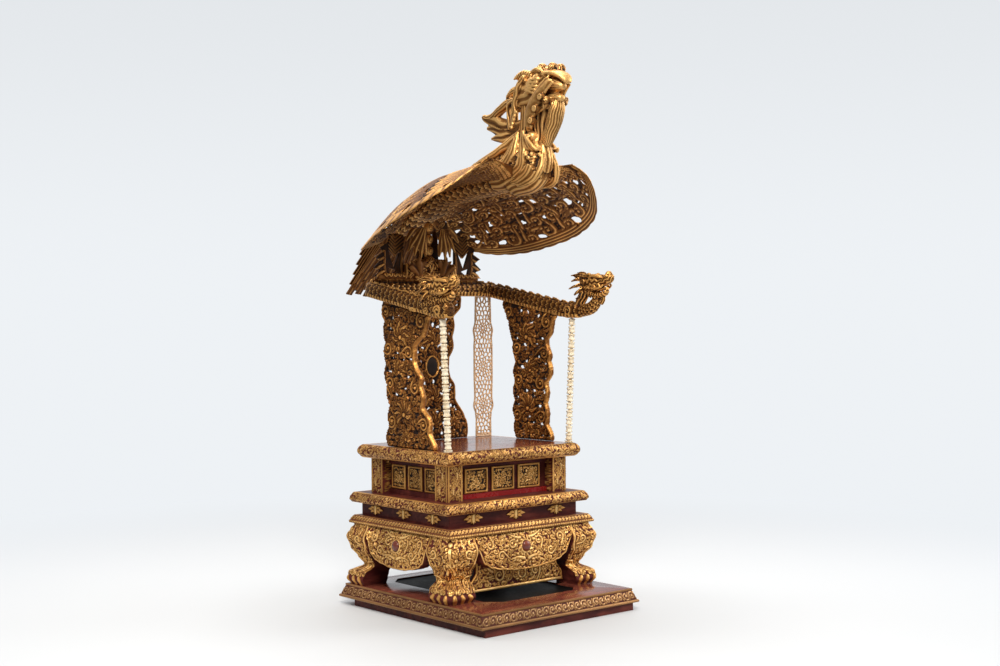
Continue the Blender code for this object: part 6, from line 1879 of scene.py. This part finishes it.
        # Leaves of the shoulder and the ruff, then three crest leaves
        add(lock, 12, (0.050, 0.120, 0.400, 0.030, 0.050), (0.085, 0.260, 0.305, 0.050, 0.050),
            (0.105, 0.420, 0.228, 0.055, 0.042), (0.100, 0.600, 0.178, 0.045, 0.034),
            (0.080, 0.780, 0.150, 0.018, 0.016))
        for path in ruff:
            add(lock, 12, *(place + width for place, width in zip(path, ruffWidths)))
        add(ringsPattern(0.006, 0.6), 12, (0.030, 0.000, 0.900, 0.034, 0.040),
            (0.032, 0.110, 0.935, 0.030, 0.036),
            (0.030, 0.190, 0.925, 0.024, 0.026), (0.020, 0.262, 0.907, 0.014, 0.010))
        add(lock, 12, (0.034, 0.100, 0.770, 0.034, 0.040), (0.038, 0.180, 0.800, 0.030, 0.036),
            (0.036, 0.270, 0.800, 0.024, 0.028), (0.020, 0.372, 0.752, 0.014, 0.010))
        add(strandsPattern(4, 0.6), 14, (0.045, 0.120, 0.640, 0.030, 0.034),
            (0.050, 0.215, 0.690, 0.032, 0.036),
            (0.048, 0.300, 0.680, 0.030, 0.036), (0.040, 0.318, 0.590, 0.026, 0.034),
            (0.036, 0.312, 0.490, 0.022, 0.030), (0.024, 0.330, 0.400, 0.012, 0.012))

    # Plumes behind the neck
    wide = 0.048
    add(fine, 14, (0.200, 0.640, wide, 0.050), (0.330, 0.698, wide, 0.048), (0.452, 0.662, wide, 0.044),
        (0.560, 0.602, wide, 0.040), (0.640, 0.585, wide, 0.040), (0.690, 0.600, wide, 0.030))
    add(soft, 16, (0.180, 0.450, wide, 0.080), (0.320, 0.455, wide, 0.080), (0.450, 0.490, wide, 0.082),
        (0.570, 0.550, wide, 0.064), (0.670, 0.590, wide, 0.042), (0.706, 0.612, wide, 0.020))
    add(soft, 14, (0.200, 0.430, wide, 0.080), (0.370, 0.435, wide, 0.072), (0.520, 0.470, wide, 0.056),
        (0.655, 0.497, 0.030, 0.018))
    add(soft, 14, (0.180, 0.400, wide, 0.080), (0.340, 0.378, wide, 0.068), (0.470, 0.388, wide, 0.050),
        (0.594, 0.388, 0.030, 0.014))
    return forms


# Flat beside the wings, on the back crest and in front of the tail
def birdLimit(co):
    co = insideBox(co, "bird")
    top = bodyLine(np.clip((bodyBackY - co[:, 1]) / (bodyBackY - chestY), 0, 1), "top")
    beside = (co[:, 1] > chestY + 0.02) & (co[:, 2] < top)
    co[:, 0] = np.where(beside, np.clip(co[:, 0], -bird["joint"], bird["joint"]), co[:, 0])
    onCrest = (abs(co[:, 0]) < 0.014) & (abs(co[:, 1] - armBackY) < 0.014)
    co[:, 2] = np.where(onCrest, np.maximum(co[:, 2], crestHigh), co[:, 2])
    co[:, 1] = np.minimum(co[:, 1], bodyBackY)
    return co


piece = fused("birdCarving", birdForms(), bird["voxel"], antiqueBright, bird["carve"], birdLimit, 0.60)
finishPiece(piece, "antique_gilding", "bird")
print("bird done")


# Pierced wings: s runs from front to back, t from the body to the rim

wing = {"cell": 0.0025, "edge": 0.007, "dome": 0.026, "backInset": 0.012, "ridge": 0.0015, "under": 0.0046,
        "over": 0.0032, "long": 0.44, "wide": 0.20, "pixel": 0.001, "plume": 0.0150, "open": 0.80}
rimKeys = [(0.43, -0.51, 0.15), (0.58, -0.525, 0.035), (0.77, -0.455, -0.17), (0.93, -0.33, -0.36),
           (0.99, -0.15, -0.52), (0.94, 0.04, -0.63), (0.84, 0.21, -0.70), (0.70, 0.37, -0.71),
           (0.52, 0.465, -0.66), (0.34, 0.53, -0.60)]
rim = np.array(rimKeys) * (canopy["half"], canopy["length"], canopy["rise"])
rim = rim + (0, -canopy["shift"], springing)
rim = smoothRows(np.column_stack((rim, np.ones((len(rim), 2)))), 181)[:, :3]


def wingFaces(s, t):
    at = np.clip(s, 0, 1) * 180
    i = np.minimum(at.astype(int), 179)
    edge = rim[i] + (rim[i + 1] - rim[i]) * (at - i)[:, None]
    frontY = -0.50 * canopy["length"]
    rootY = frontY + (bodyBackY - wing["backInset"] - frontY) * s
    share = (bodyBackY - rootY) / (bodyBackY - chestY)
    top, bottom = bodyLine(share, "top"), bodyLine(share, "bottom")
    rootHigh = top - (0.18 + 0.24 * (1 - s) ** 3) * (top - bottom)
    inner = bird["joint"] + gap
    x = inner + (edge[:, 0] - inner) * t
    y = rootY + (edge[:, 1] - rootY) * t
    thick = wing["edge"] + (0.45 * (top - bottom) - wing["edge"]) * (1 - t) ** 2
    dome = wing["dome"] * np.sin(math.pi * t) * np.sin(math.pi * s)
    return x, y, rootHigh + (edge[:, 2] + wing["edge"] / 2 - rootHigh) * t + dome, thick


def mixed(canvas, share, height):
    canvas["height"][:] = canvas["height"] * (1 - share) + share * height


# Leaf curls under a wing, and the holes between them
def wingCurls(under, rng):
    long, wide = wing["long"], wing["wide"]
    holes = []
    for k in range(9):
        u, v = long * (0.06 + 0.10 * ((3 * k) % 5)), wide * (0.34 + 0.07 * k)
        stroke(under, [(u, v + 0.012), (u + 0.07, v), (u + 0.15, v - 0.004), (u + 0.20, v - 0.001)],
               [0.0016, 0.0026, 0.0026, 0.0012], 0.9, groove=-0.35)
    for row in range(5):
        for column in range(12):
            u = long * (column + (0.55 if row % 2 else 0.15) + 0.25) / 12.4 + rng.uniform(-0.005, 0.005)
            v = wide * (0.31 + 0.138 * row) + rng.uniform(-0.004, 0.004)
            if not 0.02 < u < long - 0.02:
                continue
            hand = 1 if (row + column) % 2 else -1
            start = rng.uniform(-0.6, 0.6) + (0 if hand > 0 else math.pi)
            curl(under, u, v, 0.0122, start, 1.30, hand, 0.0041, 1.0, tail=0.024)
            leaf(under, u + 0.008, v + hand * 0.008, hand * 0.5, 0.026, -hand * 1.0, 2, 0.0038, 0.95)
            if rng.random() < wing["open"]:
                size = rng.uniform(0.0075, 0.0100), rng.uniform(0.60, 0.90), rng.uniform(-0.7, 0.7)
                holes.append((u - 0.0165, v + hand * 0.004, *size))
    return holes


def buildWing(side, sign):
    name = side + "_wing"
    long, wide, plume = wing["long"], wing["wide"], wing["plume"]
    under, over = newCanvas(0, 0, long, wide, wing["pixel"]), newCanvas(0, 0, long, wide, wing["pixel"])
    across, along = (np.arange(count) * wing["pixel"] for count in under["height"].shape)
    u, v = np.meshgrid(along, across)
    bend = 0.30 * wide * (u / long) * (1 - u / long)

    # Underside: small scales near the body, fine lines, curls, and ribs at the rim
    smallScale = scalesPattern(0.0150, 1.0, 0.15)(u, 2 * math.pi * (v - bend * 0.3) / 0.0105, 0)
    lines = 0.22 + 0.16 * np.cos(2 * math.pi * (v + bend) / 0.0056)
    nearBody = (v < 0.24 * wide) | ((u < 0.11 * long) & (v < 0.75 * wide))
    under["height"][:] = np.where(nearBody, smallScale, lines)
    holes = wingCurls(under, np.random.default_rng(8 + sign))
    mixed(under, smoothStep(v, 0.89 * wide, 0.92 * wide), 0.62 + 0.30 * np.cos(2 * math.pi * v / 0.0050))

    # Upper side: scales, long plumes with barbs and quills, a crossed band in front and a scalloped rim
    row = (v + bend) / plume
    longPlume = scalesPattern(0.085, 1.0, 0.0, 1, 0.7)(u + 0.02, 2 * math.pi * (v + bend) / plume, 0)
    barbs = 0.10 * np.cos(2 * math.pi * (u + 0.8 * abs(row % 1 - 0.5) * plume) / 0.0042)
    quill = 0.25 * np.exp(-(((row + 0.5) % 1 - 0.5) / 0.09) ** 2)
    crossed = 0.62 + 0.19 * np.cos(2 * math.pi * (u + v) / 0.0090)
    crossed = crossed + 0.19 * np.cos(2 * math.pi * (u - v) / 0.0090)
    inFront = smoothStep(0.20 * long - u, 0, 0.010) * smoothStep(v, 0.34 * wide, 0.38 * wide)
    topScale = scalesPattern(0.026, 1.0, 0.25, 1, 1.6)(u, 2 * math.pi * (v - 0.3 * bend) / 0.0140, 0)
    over["height"][:] = np.clip(np.where(v < 0.36 * wide, topScale, longPlume + barbs + quill), 0.05, 1.05)
    mixed(over, inFront, crossed)
    mixed(over, smoothStep(v, 0.90 * wide, 0.92 * wide), 0.70 + 0.30 * abs(np.sin(math.pi * u / 0.0175)))
    deepen(under, 10, 0.6)
    deepen(over, 10, 0.9)

    def field(u, v):
        clear = np.full(np.shape(u), 0.02)
        for holeU, holeV, radius, stretch, tilt in holes:
            du, dv = u - holeU, v - holeV
            a = du * math.cos(tilt) + dv * math.sin(tilt)
            b = (-du * math.sin(tilt) + dv * math.cos(tilt)) / stretch
            clear = np.minimum(clear, np.hypot(a, b) - radius)
        clear = np.maximum(clear, read(under, "cover", u, v) - 0.0004)
        lobes = 0.0010 * (1 - abs(np.sin(math.pi * u / long * 19)))
        return np.minimum(clear, np.minimum(np.minimum(u, long - u), np.minimum(v, wide - v - lobes)) + 1e-6)

    def place(u, v, face):
        s, t = u / long, v / wide
        x, y, z, thick = wingFaces(s, t)
        fade = np.clip(np.minimum(s, 1 - s) / 0.02, 0, 1)
        if face > 0:
            sunk = wing["under"] * (1 - read(under, "height", u, v) * fade)
            z = z - thick + wing["ridge"] + sunk * np.clip(thick / 0.009, 0.6, 1)
            z = np.where(t > 0.985, z + 0.0008, z)
            front = (1 - smoothStep(s, 0.04, 0.16)) * (1 - smoothStep(t, 0.5, 0.8))
            tone = read(under, "tone", u, v) + 0.30 * front
        else:
            z = z - wing["ridge"] * t - wing["over"] * (1 - read(over, "height", u, v) * fade)
            tone = read(over, "tone", u, v)
        return insideBox(np.column_stack((sign * x, y, z)), name), tone

    piece = piercedPiece(name + "_carved", (0, 0, long, wide), wing["cell"], field, place, [antiqueGold])
    finishPiece(piece, "antique_gilding", name)


buildWing("left", -1)
buildWing("right", 1)
print("wings done")


# Tail of layered square-ended feathers, on a carved root

tail = {"wide": 0.178, "long": 0.150, "slope": math.radians(52), "thick": 0.007, "columns": 8, "layers": 9,
        "stack": 0.027, "strip": 0.66, "hidden": 4}
down = np.array((0, math.cos(tail["slope"]), -math.sin(tail["slope"])))
outward = np.array((0, math.sin(tail["slope"]), math.cos(tail["slope"])))
rootLow, rootHigh = bodyLine(0.0, "bottom"), bodyLine(0.0, "top")
tailRoot = np.array((0, bodyBackY + 0.08 * tail["long"], rootLow))
section = [(-0.5, 0.10, 0.6), (-0.5, 0.78, 0.8), (-0.32, 0.70, 0.35), (-0.11, 0.78, 0.5), (-0.08, 1.0, 1.0),
           (0.08, 1.0, 1.0), (0.11, 0.78, 0.5), (0.32, 0.70, 0.35), (0.5, 0.78, 0.8), (0.5, 0.10, 0.6),
           (0.32, 0.20, 0.30), (0.12, 0.12, 0.4), (0.08, 0.0, 0.8), (-0.08, 0.0, 0.8), (-0.12, 0.12, 0.4),
           (-0.32, 0.20, 0.30)]
stations = [0.0, 0.25, 0.5, 0.75, 0.965, 1.0]
rows = [[(x, along, z) for x, z, _ in section] for along in stations]
featherShape = makeMesh("feather shape", rows, tubeFaces(len(rows), len(section)), [antiqueGold],
                        relief=np.tile([tone for _, _, tone in section], len(rows)), sharp=math.radians(35))
faceOutwards(featherShape)
places, turns, sizes = [], [], []
pitch = tail["wide"] / tail["columns"]
overlap = 0.080 * tail["long"]
for layer in range(-tail["hidden"], tail["layers"]):
    depth = tail["stack"] * layer / tail["layers"] - 0.5 * tail["thick"] + 0.0006
    reach = tail["long"] * (1.0 - 0.068 * layer if layer > 0 else 1.0 + 0.105 * layer)
    for column in range(tail["columns"] - layer % 2):
        c = column - (tail["columns"] - 1 - layer % 2) / 2
        endX = c * pitch * (1 - 0.018 * abs(layer))
        rootX = c * pitch * 0.62
        length = reach - 0.045 * tail["long"] * (abs(c) / 4.0) ** 2 - 0.004 * (column % 2) + overlap
        turn = math.atan2(endX - rootX, length)
        spin = Matrix(((1, 0, 0), (0, down[1], outward[1]), (0, down[2], outward[2])))
        places.append(tailRoot + np.array((rootX, 0, 0)) - down * overlap + outward * depth)
        turns.append((spin @ Matrix.Rotation(-turn, 3, "Z")).to_euler())
        sizes.append((pitch * tail["strip"] * (1.0 + 0.25 * (layer % 2)), length / math.cos(turn),
                      tail["stack"] / tail["layers"] * 1.10))
feathers = repeated("tailFeathers", featherShape, places, turns, sizes, antiqueGold)
discard(featherShape)
middle, half = (rootLow + rootHigh) / 2, (rootHigh - rootLow) / 2
forms = [sweep([(0, bodyBackY + gap + 0.002, middle, 0.8 * bird["joint"], half + 0.001),
                (0, bodyBackY + 0.1 * tail["long"], middle - 0.001, 0.8 * bird["joint"], half + 0.001),
                (0, bodyBackY + 0.19 * tail["long"], middle - 0.003, 0.72 * bird["joint"], half - 0.001)],
               scalesPattern(0.009, 14, 0.2), sides=20, square=0.7)]
for side in (-1, 1):
    for k in range(4):
        x = side * (0.006 + 0.0125 * k)
        base = tailRoot + outward * (0.018 - 0.5 * tail["thick"] - 0.002) + down * (0.002 + 0.006 * k)
        path = [(*(base + (x * spread, 0, 0) + along * down), wide, thick) for spread, along, wide, thick in
                ((1, -0.012, 0.0055, 0.0022), (1.15, 0.014, 0.0075, 0.0026), (1.25, 0.032, 0.0026, 0.0016))]
        forms.append(sweep(path, strandsPattern(4, 0.3), sides=12))


def tailLimit(co):
    co = insideBox(co, "tail")
    co[:, 1] = np.maximum(co[:, 1], bodyBackY + gap)
    return co


tailBlock = fused("tailRoot", forms, 0.0014, antiqueGold, 0.0016, tailLimit)
tailPiece = mergedPiece("tailCarving", [feathers, tailBlock])
movePoints(tailPiece, lambda co: insideBox(co, "tail"))
finishPiece(tailPiece, "antique_gilding", "tail")
print("tail done")


# Back crest: pierced leaf brackets, then a rail, sprays, beads and flowers under one skin

crest = {"thick": 0.010, "halfWide": 0.128, "long": 0.320, "spray": 0.105, "bead": 0.0095, "beads": 5,
         "flowers": 0.040, "cell": 0.0013, "voxel": 0.0016, "carve": 0.0016}
leafShape = [(0.00, 0.05), (0.00, 1.00), (0.52, 1.00), (0.60, 0.79), (0.94, 0.76), (0.82, 0.60), (1.12, 0.49),
             (0.90, 0.40), (1.18, 0.25), (0.93, 0.19), (1.16, 0.05)]
windows = [[(0.12, 0.66), (0.36, 0.50), (0.64, 0.68), (0.40, 0.24)],
           [(0.30, 0.20), (0.62, 0.27), (0.54, 0.08)]]
bracketTop = max(v.co.z for v in nodes["back_crest"].data.vertices if abs(v.co.x) > 0.075)
bracketSize = np.array((0.19 * crest["long"], bracketTop - crestBase))
bracketBox = (0, 0, 1.2 * bracketSize[0], bracketSize[1])


def outlineDistance(outline, x, y):
    nearest = np.full(np.shape(x), 1e9)
    inside = np.zeros(np.shape(x), bool)
    for (ax, ay), (bx, by) in zip(outline, np.roll(outline, -1, 0)):
        ex, ey = bx - ax, by - ay
        t = np.clip(((x - ax) * ex + (y - ay) * ey) / (ex * ex + ey * ey), 0, 1)
        nearest = np.minimum(nearest, np.hypot(x - ax - t * ex, y - ay - t * ey))
        inside ^= ((ay > y) != (by > y)) & (x < ex * (y - ay) / (ey if by != ay else 1e-12) + ax)
    return np.where(inside, nearest, -nearest)


def bracketField(x, y):
    field = outlineDistance(np.array(leafShape) * bracketSize, x, y)
    for window in windows:
        field = np.minimum(field, -outlineDistance(np.array(window) * bracketSize, x, y))
    return field


bracketCanvas = newCanvas(*bracketBox, 0.0005)
bracketCanvas["height"][:] = 0.25
for v in (0.58, 0.66, 0.74, 0.82, 0.90, 0.98):
    path = [(0.02, v + 0.10), (0.35, v - 0.06), (0.60, v + 0.10)]
    stroke(bracketCanvas, np.array(path) * bracketSize, [0.0016, 0.0026, 0.0016], 0.9, groove=-0.3)
for x in (0.06, 0.74):
    path = [(x, 0.02), (x + 0.03, 0.35), (x, 0.62)]
    stroke(bracketCanvas, np.array(path) * bracketSize, [0.0030, 0.0036, 0.0020], 0.9, groove=-0.3)
for k in range(6):
    path = np.array([(x, 0.06 + 0.15 * k) for x in (0.80, 0.98, 1.16)]) * bracketSize
    path[:, 1] += (0.010, 0.005, -0.004)
    stroke(bracketCanvas, path, [0.0026, 0.0036, 0.0016], 1.0, groove=-0.2)
deepen(bracketCanvas)
pieces = []
for sign in (-1, 1):
    # Painted shade: the brackets' tone is lowered to 0.85 of the carving's
    def bracketPlace(u, v, face):
        y = armBackY - face * crest["thick"] * (0.16 + 0.17 * read(bracketCanvas, "height", u, v))
        return (np.column_stack((sign * (0.20 * crest["long"] + u), y, crestBase + v)),
                read(bracketCanvas, "tone", u, v) * 0.85)

    pieces.append(piercedPiece("bracket", bracketBox, crest["cell"], bracketField, bracketPlace,
                               [antiqueGold]))

# A column of beads on rings carries the bird
forms = []
columnTop = crestHigh - gap
beadPitch = (columnTop - crestBase) / crest["beads"]
for k in range(crest["beads"]):
    z = crestBase + (k + 0.5) * beadPitch
    squash = (1, 0.47 * beadPitch / crest["bead"])
    forms.append(ball((0, armBackY, z), crest["bead"] * 0.98, plainPattern(1.0), squash, (1, 0, 0),
                      (0, 1, 0)))
    rows = [(0, armBackY, z - 0.5 * beadPitch + up, r, r)
            for up, r in ((0, 0.0062), (0.002, 0.0068), (0.004, 0.0062))]
    forms.append(sweep(rows, plainPattern(0.6), sides=14, smooth=False))
rows = [(0, armBackY, z, 0.0052, 0.0052) for z in (crestBase + 0.004, columnTop - 0.0015)]
forms.append(sweep(rows, plainPattern(0.3), sides=12))

# Leaves that hang from the top and leaves that rise from the rail, as shares of the spray's height
hanging = [((0.15, 0.99), (0.24, 0.82), (0.36, 0.66), (0.47, 0.47)),
           ((0.13, 0.97), (0.21, 0.76), (0.29, 0.58), (0.34, 0.38)),
           ((0.12, 0.95), (0.15, 0.73), (0.19, 0.54), (0.20, 0.33)),
           ((0.18, 1.00), (0.31, 0.92), (0.44, 0.80), (0.54, 0.66)),
           ((0.11, 0.90), (0.10, 0.72), (0.09, 0.54), (0.07, 0.38))]
rising = [((0.24, 0.04), (0.34, 0.13), (0.42, 0.18), (0.48, 0.18)),
          ((0.20, 0.04), (0.28, 0.16), (0.33, 0.25), (0.40, 0.31)),
          ((0.14, 0.04), (0.15, 0.18), (0.11, 0.25), (0.05, 0.31)),
          ((0.17, 0.04), (0.21, 0.19), (0.23, 0.29), (0.25, 0.38))]
for sign in (-1, 1):
    for index, path in enumerate(hanging + rising):
        rows = []
        for (u, v), width in zip(path, (0.0030, 0.0056, 0.0064, 0.0012)):
            u, v = (u + (0.085 if sign < 0 else -0.015)) * crest["spray"], v * crest["spray"]
            rows.append((sign * (0.6 * crest["thick"] + u),
                         armBackY - 1.2 * crest["thick"] - 0.10 * v - 0.0022 * (index % 3),
                         crestBase + 0.5 * crest["thick"] + v, width, 0.0034))
        pattern = strandsPattern(4, 0.2, trough=0.45) if index < len(hanging) else plainPattern(0.42)
        forms.append(sweep(rows, pattern, sides=14))
    # Painted shade: a stem at a low, dark level beside the bead column fills the gap behind it
    shadeStem = [(sign * 0.0185, armBackY + 0.004, crestBase + share * crest["spray"], width, 0.0030)
            for share, width in ((0.10, 0.0080), (0.45, 0.0110), (0.75, 0.0100), (0.93, 0.0050))]
    forms.append(sweep(shadeStem, plainPattern(0.20), sides=12))
    for k in range(5):
        place = (sign * (0.064 + 0.011 * k), armBackY - 0.004, crestBase + 0.009)
        forms.append(ball(place, 0.0050, swirlPattern(1.5), side=(1, 0, 0), axis=(0, 1, 0)))
rail = np.linspace(-crest["halfWide"] + 0.003, crest["halfWide"] - 0.003, 60)
rows = [(x, armBackY, crestBase + 0.5 * crest["thick"], 0.0055, 0.0050) for x in rail]
forms.append(sweep(rows, plainPattern(0.45), (0, 1, 0), 16, 0.6, smooth=False))


# A bank of flowers and leaves in front of the rail, lobed along its top
def bankHeight(x):
    s = (x / bracketSize[0] + 1) / 2
    return crest["flowers"] * (0.65 + 0.35 * math.cos(math.pi * (s - 0.5))
                               + 0.10 * math.cos(2 * math.pi * s * 4))


rng = np.random.default_rng(17)
bankFoot = crestBase + 0.3 * crest["thick"]
for k in range(46):
    x = rng.uniform(-1, 1) * (bracketSize[0] - 0.006)
    z = bankFoot + bankHeight(x) * rng.uniform(0.12, 0.88)
    y = armBackY - 1.30 * crest["thick"] + rng.uniform(-0.001, 0.003)
    size = rng.uniform(0.0050, 0.0078)
    if k % 3 == 0:
        forms.append(ball((x, y + 0.002, z), size, swirlPattern(1.6), side=(1, 0, 0), axis=(0, 1, 0)))
        continue
    c, s = toward(rng.uniform(0, 2 * math.pi))
    rows = [(x + size * (out * c - aside * s), y + back, z + size * (out * s + aside * c), wide, thick)
            for out, aside, back, wide, thick in ((-1, 0, 0.003, 0.0026, 0.0024),
                                                  (0, 0, -0.001, 0.0040, 0.0028),
                                                  (0.9, 0.3, -0.001, 0.0030, 0.0022),
                                                  (1.1, 0.9, 0.001, 0.0014, 0.0014))]
    forms.append(sweep(rows, strandsPattern(3), side=(-s, 0, c), sides=10))
bank = []
for x in np.linspace(-bracketSize[0], bracketSize[0], 30):
    tall = bankHeight(x)
    bank.append((x, armBackY - 0.3 * crest["thick"], bankFoot + tall / 2, 0.0075, tall / 2 - 0.001))
forms.append(sweep(bank, ringsPattern(0.006, 0.6), (0, 1, 0), 20, 0.6, smooth=False))


def crestLimit(co):
    co = insideBox(co, "back_crest")
    foot = (co[:, 2] < crestBase + 0.0035) & (abs(co[:, 1] - armBackY) < 0.005)
    co[:, 2] = np.where(foot, crestBase + 1e-5, co[:, 2])
    co[:, 2] = np.minimum(co[:, 2], np.where(abs(co[:, 0]) < 0.014, columnTop, bracketTop + 0.012))
    return co


pieces.append(fused("crest forms", forms, crest["voxel"], antiqueGold, crest["carve"], crestLimit))
finishPiece(mergedPiece("crestCarving", pieces), "antique_gilding", "back_crest")
print("crest done")


# Floor, light and camera

stageSize = {"floorRadius": 9.0, "blendStart": 0.62, "blendEnd": 1.8}
room = {"colour": (0.855, 0.885, 0.915, 1), "dim": 0.25, "behind": (0.64, 0.77, 0.0), "floorTone": 0.54,
        "floorRoughness": 0.6, "floorShine": 0.2, "top": 0.90}
bm = bmesh.new()
bmesh.ops.create_circle(bm, cap_ends=True, segments=96, radius=stageSize["floorRadius"])
floorMesh = bpy.data.meshes.new("floor")
bm.to_mesh(floorMesh)
bm.free()
floor = bpy.data.objects.new("floor", floorMesh)
bpy.context.scene.collection.objects.link(floor)
floorLook = bpy.data.materials.new("pale floor")
floorLook.use_nodes = True
floorTree = floorLook.node_tree
shader = floorTree.nodes["Principled BSDF"]
shader.inputs["Base Color"].default_value = (*(room["floorTone"] * tint for tint in (1, 1.01, 1.02)), 1)
shader.inputs["Roughness"].default_value = room["floorRoughness"]
shader.inputs["Specular IOR Level"].default_value = room["floorShine"]
glow = floorTree.nodes.new("ShaderNodeEmission")
glow.inputs["Color"].default_value = room["colour"]
seen = floorTree.nodes.new("ShaderNodeLightPath").outputs["Is Camera Ray"]
floorTree.links.new(rampNode(floorTree, seen, 0.0, 1.0, room["dim"], 1.0), glow.inputs["Strength"])
coords = floorTree.nodes.new("ShaderNodeTexCoord")
away = floorTree.nodes.new("ShaderNodeVectorMath")
away.operation = "LENGTH"
floorTree.links.new(coords.outputs["Object"], away.inputs[0])
far = rampNode(floorTree, away.outputs["Value"], stageSize["blendStart"], stageSize["blendEnd"])
mixShader = floorTree.nodes.new("ShaderNodeMixShader")
for socket, value in zip(mixShader.inputs, (far, shader.outputs[0], glow.outputs[0])):
    floorTree.links.new(value, socket)
floorTree.links.new(mixShader.outputs[0], floorTree.nodes["Material Output"].inputs["Surface"])
floorMesh.materials.append(floorLook)

# The room is bright behind the object as the camera sees it, and dim on the other side
world = bpy.data.worlds.new("studio")
bpy.context.scene.world = world
world.use_nodes = True
skyTree = world.node_tree
sky = skyTree.nodes["Background"]
sky.inputs["Color"].default_value = room["colour"]
direction = skyTree.nodes.new("ShaderNodeTexCoord").outputs["Generated"]
facing = skyTree.nodes.new("ShaderNodeVectorMath")
facing.operation = "DOT_PRODUCT"
facing.inputs[1].default_value = room["behind"]
skyTree.links.new(direction, facing.inputs[0])
seen = skyTree.nodes.new("ShaderNodeLightPath").outputs["Is Camera Ray"]
rise = skyTree.nodes.new("ShaderNodeSeparateXYZ")
skyTree.links.new(direction, rise.inputs[0])
shown = mathNode(skyTree, "MULTIPLY", rampNode(skyTree, rise.outputs["Z"], 0.02, 0.26, 1.0, room["top"]),
                 seen)
bright = rampNode(skyTree, facing.outputs["Value"], 0.15, 0.85, room["dim"], 0.9)
skyTree.links.new(mathNode(skyTree, "MAXIMUM", bright, shown), sky.inputs["Strength"])

lights = {
    "keyLight": {"place": (-1.6, -1.9, 2.6), "power": 122, "size": 1.3, "colour": (1.0, 0.96, 0.90)},
    "fillLight": {"place": (2.4, -1.3, 1.5), "power": 44, "size": 1.6, "colour": (0.97, 0.98, 1.0)},
    "topLight": {"place": (0.3, 0.4, 3.0), "power": 62, "size": 1.8, "colour": (1.0, 1.0, 1.0)},
    "rimLight": {"place": (-1.5, 2.2, 1.9), "power": 34, "size": 1.2, "colour": (1.0, 1.0, 1.0)},
}
lightTarget = Vector((0, 0, 0.5))
for name, look in lights.items():
    lamp = bpy.data.lights.new(name, "AREA")
    lamp.energy = look["power"]
    lamp.size = look["size"]
    lamp.color = look["colour"]
    lampObject = bpy.data.objects.new(name, lamp)
    lampObject.location = look["place"]
    lampObject.rotation_euler = (lightTarget - Vector(look["place"])).to_track_quat("-Z", "Y").to_euler()
    bpy.context.scene.collection.objects.link(lampObject)
    lampObject.visible_camera = False
    lampObject.visible_glossy = name != "rimLight"

cameraLook = {"place": (-1.7818, -2.1265, 0.5436), "forward": (0.6422, 0.7665, -0.00855),
              "roll": math.radians(-0.35), "lens": 51.86, "sensor": 36.0, "shiftX": 0.032}
camera = bpy.data.cameras.new("camera")
camera.sensor_width = cameraLook["sensor"]
camera.lens = cameraLook["lens"]
camera.shift_x = cameraLook["shiftX"]
cameraObject = bpy.data.objects.new("camera", camera)
forward = Vector(cameraLook["forward"]).normalized()
right = forward.cross(Vector((0, 0, 1))).normalized()
up = right.cross(forward)
rollCos, rollSin = toward(cameraLook["roll"])
axes = Matrix((rollCos * right + rollSin * up, rollCos * up - rollSin * right, -forward)).transposed()
cameraObject.matrix_world = Matrix.Translation(cameraLook["place"]) @ axes.to_4x4()
bpy.context.scene.collection.objects.link(cameraObject)
bpy.context.scene.camera = cameraObject
bpy.context.scene.view_settings.view_transform = "Standard"
print("stage ready")
